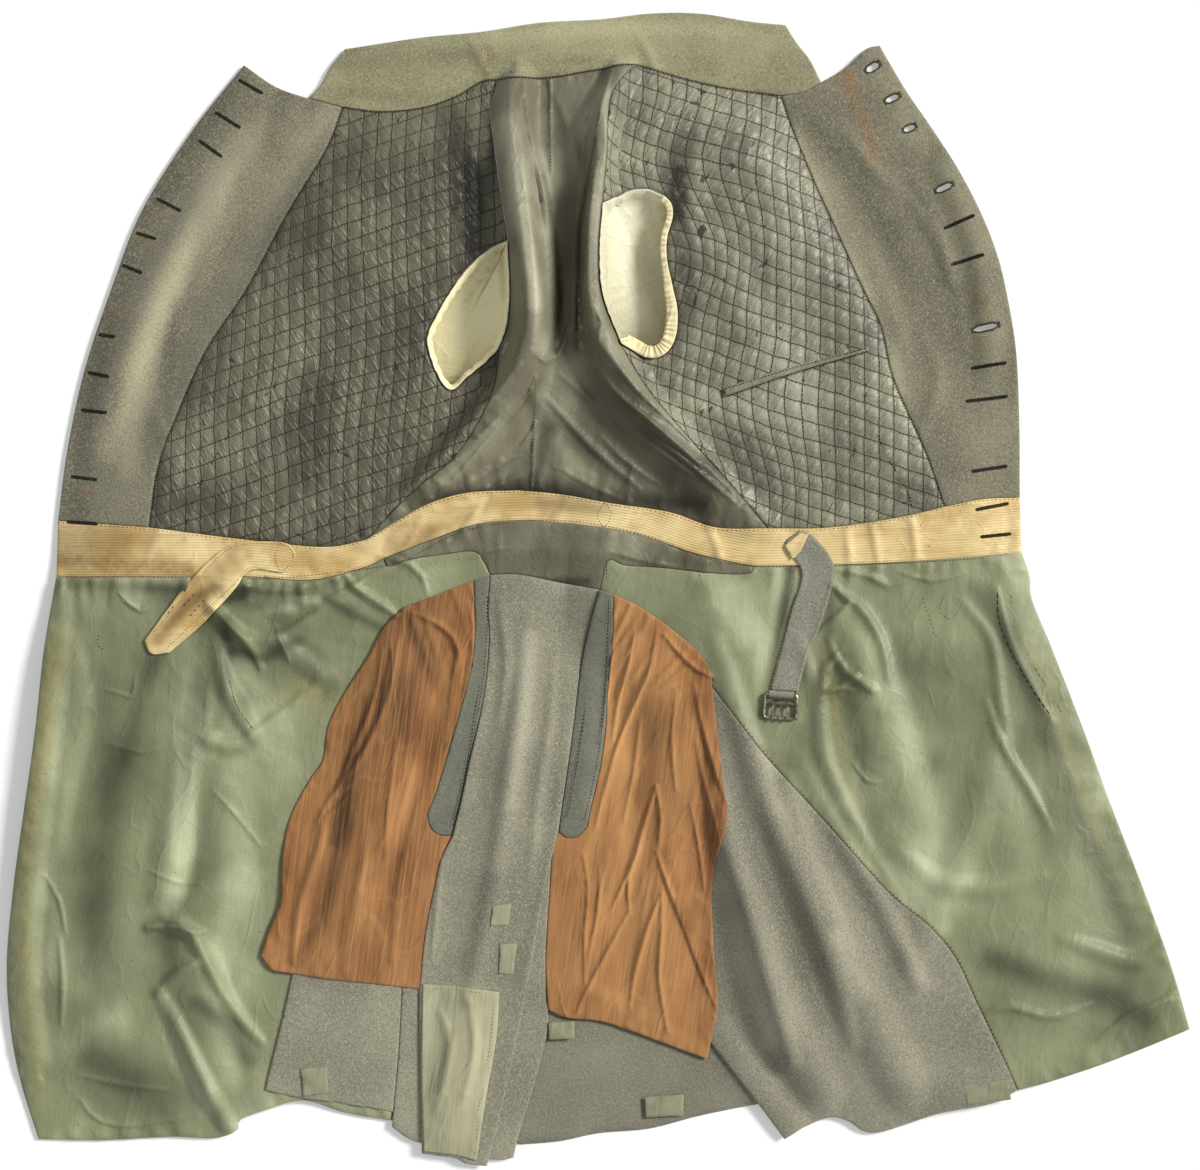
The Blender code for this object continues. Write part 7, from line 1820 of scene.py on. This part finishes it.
class Sewing:
    """Many short threads in one piece."""

    def __init__(self, name, material):
        self.name, self.material = name, material
        self.points, self.faces = [], []

    def stitch(self, start, end, wide, high):
        """One thread lying along a short run: round on top, its ends going into the cloth."""
        start, end = np.array(start, float), np.array(end, float)
        run = end - start
        side = np.array([-run[1], run[0], 0]) / max(np.hypot(run[0], run[1]), 1e-6) * wide / 2
        middle = (start + end) / 2
        first = len(self.points)
        up, down = np.array([0, 0, high]), np.array([0, 0, -0.25])
        self.points += [start + down, end + down, middle - 0.3 * run + side, middle + 0.3 * run + side,
                        middle - 0.3 * run - side, middle + 0.3 * run - side,
                        middle - 0.28 * run + up, middle + 0.28 * run + up]
        a, b, c, d, e, f, g, h = range(first, first + 8)
        self.faces += [(a, c, g), (c, d, h, g), (d, b, h), (a, g, e), (g, h, f, e), (h, b, f),
                       (a, e, c), (c, e, f, d), (d, f, b)]

    def row(self, line, offset, long=2.6, gap=1.0, wide=0.7, high=0.35, turn=0.0, uneven=0.25, seed=1.0):
        """Stitches along a line on a cloth that stands off the bed by an offset."""
        dense = smooth_line(line, 1.0)
        lengths = np.arange(len(dense))
        place, index = 0.0, 0
        starts, ends = [], []
        while place + long < lengths[-1]:
            shift = uneven * noise.noise(Vector((index * 0.7, seed, 0.5)))
            here = [np.array([np.interp(at, lengths, dense[:, axis]) for axis in (0, 1)])
                    for at in (place, place + long * (1 + shift))]
            if turn:
                run = here[1] - here[0]
                spun = radians(turn + 20 * shift)
                run = np.array([run[0] * cos(spun) - run[1] * sin(spun),
                                run[0] * sin(spun) + run[1] * cos(spun)])
                middle = (here[0] + here[1]) / 2
                here = [middle - run / 2, middle + run / 2]
            starts.append(here[0])
            ends.append(here[1])
            place += long + gap if not turn else gap
            index += 1
        if not starts:
            return
        both = np.vstack([starts, ends])
        height = bed(both) + top_of(offset, both) * steepness(both)
        count = len(starts)
        for i in range(count):
            self.stitch((*starts[i], height[i]), (*ends[i], height[count + i]), wide, high)

    def buttonhole(self, hole, offset, open_slit):
        """A worked buttonhole: close stitches across both edges of a slit, and bars at its ends."""
        turn = radians(hole.turn)
        along, across = np.array([cos(turn), sin(turn)]), np.array([-sin(turn), cos(turn)])
        middle = np.array([hole.x, hole.y])
        half = hole.width / 2 if open_slit else -0.3
        spots, pairs = [], []
        count = int(hole.length / (0.95 if open_slit else 0.62))
        for i in range(count + 1):
            place = -hole.length / 2 + i * hole.length / count
            taper = np.clip((hole.length / 2 - abs(place)) / (0.2 * hole.length), 0, 1) if open_slit else 1
            inner = half * taper + 0.1
            outer = inner + (1.6 if open_slit else 1.9) + 1.1 * noise.noise(Vector((i * 0.9, hole.x, hole.y)))
            for sign in (-1, 1):
                lean = along * 0.3 * noise.noise(Vector((i * 1.7, sign, hole.y)))
                pairs.append((middle + along * place + across * sign * inner,
                              middle + along * place + across * sign * outer + lean))
        for end in (-1, 1):
            for i in range(4):
                place = end * (hole.length / 2 + 0.2 + 0.35 * i)
                pairs.append((middle + along * place + across * (abs(half) + 1.2),
                              middle + along * place - across * (abs(half) + 1.2)))
        starts, ends = np.array([a for a, _ in pairs]), np.array([b for _, b in pairs])
        both = np.vstack([starts, ends])
        height = bed(both) + offset * steepness(both)
        for i in range(len(pairs)):
            self.stitch((*starts[i], height[i]), (*ends[i], height[len(pairs) + i]), 0.95, 0.5)

    def done(self):
        piece(self.name, np.array(self.points), self.faces, self.material)


# Closed buttonholes: middle, length and turn in degrees; the waistband's are the last of each side
Hole = namedtuple("Hole", "x y length turn")
HOLES = {
    "right": (
        Hole(-303, 438, 21, -30),
        Hole(-323, 409, 23, -32),
        Hole(-338, 384, 22, -36),
        Hole(-374, 335, 21, -28),
        Hole(-394, 308, 15, -17),
        Hole(-406, 279, 16, -22),
        Hole(-428, 221, 12, -8),
        Hole(-435, 187, 17, -12),
        Hole(-439, 155, 20, -7),
        Hole(-448, 97, 20, -7),
        Hole(-449, 58, 24, -4)
    ),
    "left": (
        Hole(314, 320, 25, 23),
        Hole(321, 287, 26, 17),
        Hole(340, 195, 28, 9),
        Hole(338, 166, 34, 7),
        Hole(340, 105, 29, 9),
        Hole(342, 72, 27, 11),
        Hole(345, 47, 24, 6)
    ),
}


# Rows of stitches: the thread, how high the cloth stands off the bed, and the size of each stitch
Row = namedtuple("Row", "thread offset long gap wide line")
ROWS = (
    Row("dark", TOP_SATIN, 1.6, 1.2, 0.6, ((-105, 57), (-100, 36), (-94, 15))),
    Row("dark", TOP_SATIN, 1.6, 1.2, 0.6, ((-62, 57), (-59, 36), (-55, 15))),
    Row("dark", TOP_SATIN, 1.6, 1.2, 0.6, ((7, 51), (7, 29), (7, 8))),
    Row("dark", TOP_SATIN, 1.6, 1.4, 0.6, ((-42, 445), (-42, 408), (-41, 360))),
    Row("dark", TOP_SATIN, 1.6, 1.4, 0.6, ((-54, 179), (-56, 130), (-58, 88))),
    Row("dark", TOP_SATIN, 6.0, 0.2, 1.0, ((346, -2), (348, -28), (360, -57), (377, -87), (394, -112))),
    Row("olive", TOP_SATIN, 5.0, 0.2, 0.7, ((358, -4), (362, -31), (375, -61), (393, -91),
        (407, -114))),
    Row("olive", TOP_SATIN, 2.2, 0.6, 0.5, ((295, -19), (307, -25), (319, 0), (305, 7), (295, -19))),
    Row("olive", TOP_SATIN, 2.2, 1.6, 0.5, ((281, -7), (286, -22), (294, -44))),
    Row("dark", TOP_SATIN, 2.4, 1.0, 0.6, ((-434, -39), (-435, -48), (-428, -53))),
    Row("olive", TOP_SATIN, 4.0, 0.3, 0.7, ((-319, -78), (-312, -101), (-298, -122))),
    Row("dark", QUILT_TOP, 2.4, 0.6, 0.8, ((-317, 139), (-333, 113), (-347, 87), (-358, 55))),
    Row("dark", QUILT_TOP, 2.4, 0.6, 0.8, ((242, 134), (249, 117), (267, 87), (273, 66))),
    Row("dark", "tail", 2.6, 0.8, 0.7, ((0, -7), (-6, -44), (-11, -96), (-18, -148), (-28, -201))),
    Row("dark", "tail", 2.6, 0.8, 0.7, ((-100, -9), (-100, -53), (-107, -105), (-117, -166),
        (-127, -207))),
    Row("dark", LOW_WOOL, 2.4, 0.8, 0.6, ((-96, -6), (-97, -44), (-103, -96), (-114, -148),
        (-127, -202))),
    Row("dark", TOP_WELT, 2.4, 0.8, 0.6, ((9, -9), (7, -61), (3, -122), (-6, -174), (-13, -202))),
    Row("buff", STRAP_TOP, 2.2, 0.7, 0.6, ((-274, 39), (-284, 40), (-312, 38), (-328, 29), (-354, 0),
        (-387, -39))),
    Row("buff", STRAP_TOP, 2.2, 0.7, 0.6, ((-373, -50), (-347, -25), (-317, 3), (-303, 18),
        (-286, 17))),
    Row("rust", STRAP_TOP, 1.4, 1.2, 0.7, ((-276, 40), (-267, 36), (-264, 28), (-268, 20), (-276, 17),
        (-280, 28), (-276, 40))),
    Row("rust", STRAP_TOP, 3.4, 2.2, 1.1, ((-350, -4), (-362, -17))),
    Row("rust", STRAP_TOP, 3.4, 2.2, 1.1, ((-341, -9), (-355, -24))),
    Row("rust", STRAP_TOP, 3.2, 2.4, 1.0, ((-368, -14), (-375, -23))),
    Row("buff", STRAP_TOP, 2.2, 0.6, 0.7, ((185, 43), (201, 19), (191, -27), (179, -54), (171, -86))),
    Row("buff", STRAP_TOP, 2.2, 0.6, 0.7, ((164, 20), (173, 13), (165, -18), (157, -53), (150, -85))),
    Row("buff", STRAP_TOP, 1.6, 0.4, 0.8, ((151, -87), (173, -88))),
    Row("rust", TOP_WOOL, 1.4, 1.2, 0.7, ((5, 75), (11, 66), (5, 54), (-1, 65), (5, 75))),
    Row("rust", TOP_WOOL, 2.6, 1.8, 0.5, ((276, 60), (280, 55), (283, 62))),
    Row("rust", TOP_WOOL, 2.6, 1.8, 0.5, ((285, 38), (292, 36))),
    Row("rust", TOP_WOOL, 1.8, 1.4, 0.6, ((-463, 11), (-390, 11), (-303, 9), (-234, 14), (-173, 24),
        (-112, 52), (-33, 60), (36, 48), (106, 24), (175, 20), (262, 23), (363, 29))),
    Row("dark", "breast_pocket_welt", 3.0, 0.2, 0.8, ((109, 173), (167, 191), (233, 209))),
    Row("dark", "breast_pocket_welt", 3.0, 0.2, 0.8, ((111, 167), (167, 186), (233, 206))),
    Row("olive", PATCH_TOP, 2.0, 1.4, 0.5, ((-152, -347), (-120, -348), (-89, -352))),
    Row("olive", PATCH_TOP, 2.0, 1.4, 0.5, ((-91, -354), (-94, -394), (-103, -444), (-108, -493)))
)

# Small pieces of cloth sewn on top: what they lie on, how far off the bed, and their corners
Patch = namedtuple("Patch", "on offset material corners")
PATCHES = (
    Patch("pleat_right", LOW_WOOL, DULL_COTTON, ((-259, -416), (-236, -415), (-235, -438),
        (-257, -441))),
    Patch("pleat_left", TOP_WOOL, DULL_COTTON, ((40, -442), (74, -440), (74, -458), (41, -460))),
    Patch("underlay_left", LOW_WOOL, DULL_COTTON, ((-44, -377), (-21, -376), (-21, -391), (-43, -392))),
    Patch("tail", TAIL_TOP, DULL_COTTON, ((-92, -275), (-76, -273), (-78, -292), (-94, -292))),
    Patch("tail", TAIL_TOP, DULL_COTTON, ((-86, -308), (-71, -308), (-74, -335), (-87, -334))),
    Patch("skirt_lining_left", TOP_SATIN, DULL_COTTON, ((316, -430), (357, -426), (359, -444),
        (320, -449))),
    Patch("strap_left", STRAP_TOP, BUFF_RIBBON, ((161, 38), (174, 49), (182, 48), (175, 33),
        (168, 26)))
)
RUFFLE_SHARE = (0.8, 3.95)
RUFFLE_WIDE = 10.5
RUFFLE_THICK = 0.9
RUFFLE_ROWS = 5


def patch(name, row):
    """A small piece of thin cloth on top of another, with its edges turned under."""
    loop = np.array(row.corners, float)
    loop = loop if signed_area(loop) > 0 else loop[::-1]
    ends = np.roll(loop, -1, axis=0)
    loop = np.vstack([a + (b - a) * t for a, b in zip(loop, ends) for t in (0, 0.25, 0.5, 0.75)])
    dots = grid_in(loop, 3.0)
    dots = np.vstack([dots[to_loop(dots, loop, 3.0) > 1.8], inset(loop, 1.0)])
    flat, faces = cut(loop, [], dots)
    away = np.clip(to_loop(flat, loop, 1.0), 0, 1)
    ripple = 0.35 * np.clip(sway(flat, 7.0, 9.0), -1, 1)
    steep = steepness(flat)
    low = bed(flat) + row.offset * steep + 0.35
    points, walls = walls_of(flat, faces, low, low + (0.3 + 0.4 * away + ripple * away) * steep)
    thing = piece(name, points, walls, row.material)
    tones(thing, 0.5 * sway(points[:, :2], 12.0, 5.0), "painted_light_and_wear")
    tones(thing, np.zeros(len(points)), "stain")
    if row.material is BUFF_RIBBON:
        tones(thing, points[:, 0] + points[:, 1], "across")
    declare_sheet(loop, abs(signed_area(loop)), sheet_area(points, walls))


for row in PANELS:
    lay(row)
for row in QUILTS:
    pad(row)
for side in SLEEVE_LINES:
    sleeve(side)

metal = frame["nodes"]
for name in ("buckle_frame", "buckle_prongs"):
    for place in metal[name].material_slots:
        place.material = NICKEL
for place in metal["strap_loop"].material_slots:
    place.material = STRAP_WOOL

BAND_TOP = 75
dark = Sewing("buttonhole_stitches", DARK_THREAD)
olive = Sewing("open_buttonhole_stitches", OLIVE_THREAD)
band = Sewing("band_buttonhole_stitches", DARK_THREAD)
for side, rows in HOLES.items():
    for hole in rows:
        (band if hole.y < BAND_TOP else dark).buttonhole(hole, TOP_WOOL, False)
for hole in SLITS:
    olive.buttonhole(hole, TOP_WOOL, True)

edges = Sewing("seam_stitches", DARK_THREAD)
for name in ("facing_right", "facing_left"):
    edges.row(seam(name), TOP_WOOL, long=1.6, gap=2.6, wide=0.6, turn=60, seed=2.0)
for name in ("waist_top_facing_right", "waist_top_quilt_right", "waist_top_back_right", "waist_top_back_left",
             "waist_top_quilt_left", "waist_top_facing_left"):
    edges.row(seam(name) - (0, 1.6), TOP_WOOL, long=1.8, gap=2.0, wide=0.6, seed=3.0)
edges.row(seam("lining_seam_left") + (1.2, 1.2), TOP_SATIN, long=1.8, gap=2.2, wide=0.7, seed=4.0)
for index, name in enumerate(("collar_seam_quilt_right", "collar_seam_back", "collar_seam_quilt_left")):
    edges.row(seam(name), TOP_WOOL, long=2.6, gap=2.6, wide=0.7, turn=75, seed=5.0 + index)
buff = Sewing("strap_stitches", BUFF_THREAD)
rust = Sewing("strap_seam_stitches", RED_THREAD)
for row in ROWS:
    sewing = {"dark": edges, "buff": buff, "rust": rust, "olive": olive}[row.thread]
    sewing.row(row.line, row.offset, long=row.long, gap=row.gap, wide=row.wide, seed=row.line[0][0])
for sewing in (dark, olive, band, edges, buff, rust):
    sewing.done()

for index, row in enumerate(PATCHES):
    patch("mending_patch_" + str(index + 1), row)


def gathered_band(side, share, wide):
    """A gathered band of sateen sewn round a part of an armhole's lip, its pleats uneven."""
    edge, angles = armhole_loop(side, 0.9)
    angles = angles % (2 * pi)
    keep = (angles > share[0]) & (angles < share[1])
    first = int(np.argmax(keep & ~np.roll(keep, 1)))
    edge, keep = np.roll(edge, -first, axis=0), np.roll(keep, -first)
    count = int(keep.sum())
    turned = np.roll(angles, -first)[:count]
    reach = wide * (0.5 + 0.5 * np.clip((2.7 - turned) / 1.0, 0, 1))[:, None]
    inwards = (inset(edge, 1.0) - edge)[:count]
    rings = []
    for part in np.linspace(0, 1, RUFFLE_ROWS + 1):
        line = edge[:count] + inwards * (0.8 + reach * part)
        steps = np.arange(count)
        wave = np.sin(steps * 1.05 + 1.7 * np.sin(steps * 0.23)) * 0.7 + 0.4 * np.sin(steps * 0.37 + 2)
        high = bed(line) + (ON_WOOL + 1.2) * steepness(line) + 1.0 * wave * (0.3 + part) - 1.2 * part ** 2
        rings.append(np.column_stack([line, high]))
    low = np.array(rings).reshape(-1, 3)
    high = low + (0, 0, RUFFLE_THICK)
    faces, total = [], len(low)
    for row in range(RUFFLE_ROWS):
        for i in range(count - 1):
            a, b = row * count + i, row * count + i + 1
            c, d = b + count, a + count
            faces += [(a, b, c, d), (d + total, c + total, b + total, a + total)]
    border = ([(i, i + 1) for i in range(count - 1)]
              + [((r + 1) * count - 1, (r + 2) * count - 1) for r in range(RUFFLE_ROWS)]
              + [(RUFFLE_ROWS * count + i + 1, RUFFLE_ROWS * count + i) for i in range(count - 2, -1, -1)]
              + [((r + 1) * count, r * count) for r in range(RUFFLE_ROWS - 1, -1, -1)])
    faces += [(b, a, a + total, b + total) for a, b in border]
    points = np.vstack([low, high])
    thing = piece("armhole_ruffle_" + side, points, faces, CREAM_COTTON)


gathered_band("left", RUFFLE_SHARE, RUFFLE_WIDE)

FLOOR_HALF = 30.0
FLOOR_DROP = 0.0006
floor_mesh = bpy.data.meshes.new("floor")
corners = [(x * FLOOR_HALF, y * FLOOR_HALF, 0) for x, y in ((-1, -1), (1, -1), (1, 1), (-1, 1))]
floor_mesh.from_pydata(corners, [], [(0, 1, 2, 3)])
floor = bpy.data.objects.new("floor", floor_mesh)
bpy.context.scene.collection.objects.link(floor)
floor.location.z = -FLOOR_DROP
pale = Tree("pale_floor")
floor_mesh.materials.append(pale.finish((0.76, 0.76, 0.755, 1.0), 0.8, specular=0.1))
pale.shader.inputs["Emission Color"].default_value = (1.0, 1.0, 0.995, 1.0)
pale.shader.inputs["Emission Strength"].default_value = 0.26

world_light = bpy.data.worlds.new("soft_room")
bpy.context.scene.world = world_light
world_light.use_nodes = True
background = world_light.node_tree.nodes["Background"]
background.inputs["Color"].default_value = (0.95, 0.98, 1.0, 1.0)
background.inputs["Strength"].default_value = 0.42


def sun(name, strength, angle, towards, colour):
    light = bpy.data.lights.new(name, "SUN")
    light.energy, light.angle, light.color = strength, radians(angle), colour
    thing = bpy.data.objects.new(name, light)
    thing.rotation_euler = (-Vector(towards)).to_track_quat("-Z", "Y").to_euler()
    bpy.context.scene.collection.objects.link(thing)


sun("window", 3.7, 16, (0.80, 0.36, 0.62), (1.0, 0.985, 0.95))

# The camera looks straight down, and its frame takes in the photograph's own width and height
FRAME_WIDE = PHOTO_WIDE * PIXEL_SIZE
MIDDLE_AT = ((PHOTO_WIDE / 2 - TABLE_ZERO[0]) * PIXEL_SIZE + SHIFT[0],
             (TABLE_ZERO[1] - PHOTO_TALL / 2) * PIXEL_SIZE + SHIFT[1])
CAMERA_HIGH = 3.2
COAT_MIDDLE_HIGH = 8.0
lens = bpy.data.cameras.new("camera")
lens.sensor_fit = "HORIZONTAL"
lens.sensor_width = 36.0
lens.lens = lens.sensor_width * (CAMERA_HIGH / MM - COAT_MIDDLE_HIGH) / FRAME_WIDE
lens.clip_end = 60
camera = bpy.data.objects.new("camera", lens)
camera.location = (MIDDLE_AT[0] * MM, MIDDLE_AT[1] * MM, CAMERA_HIGH)
bpy.context.scene.collection.objects.link(camera)
bpy.context.scene.camera = camera
bpy.context.scene.view_settings.view_transform = "Standard"
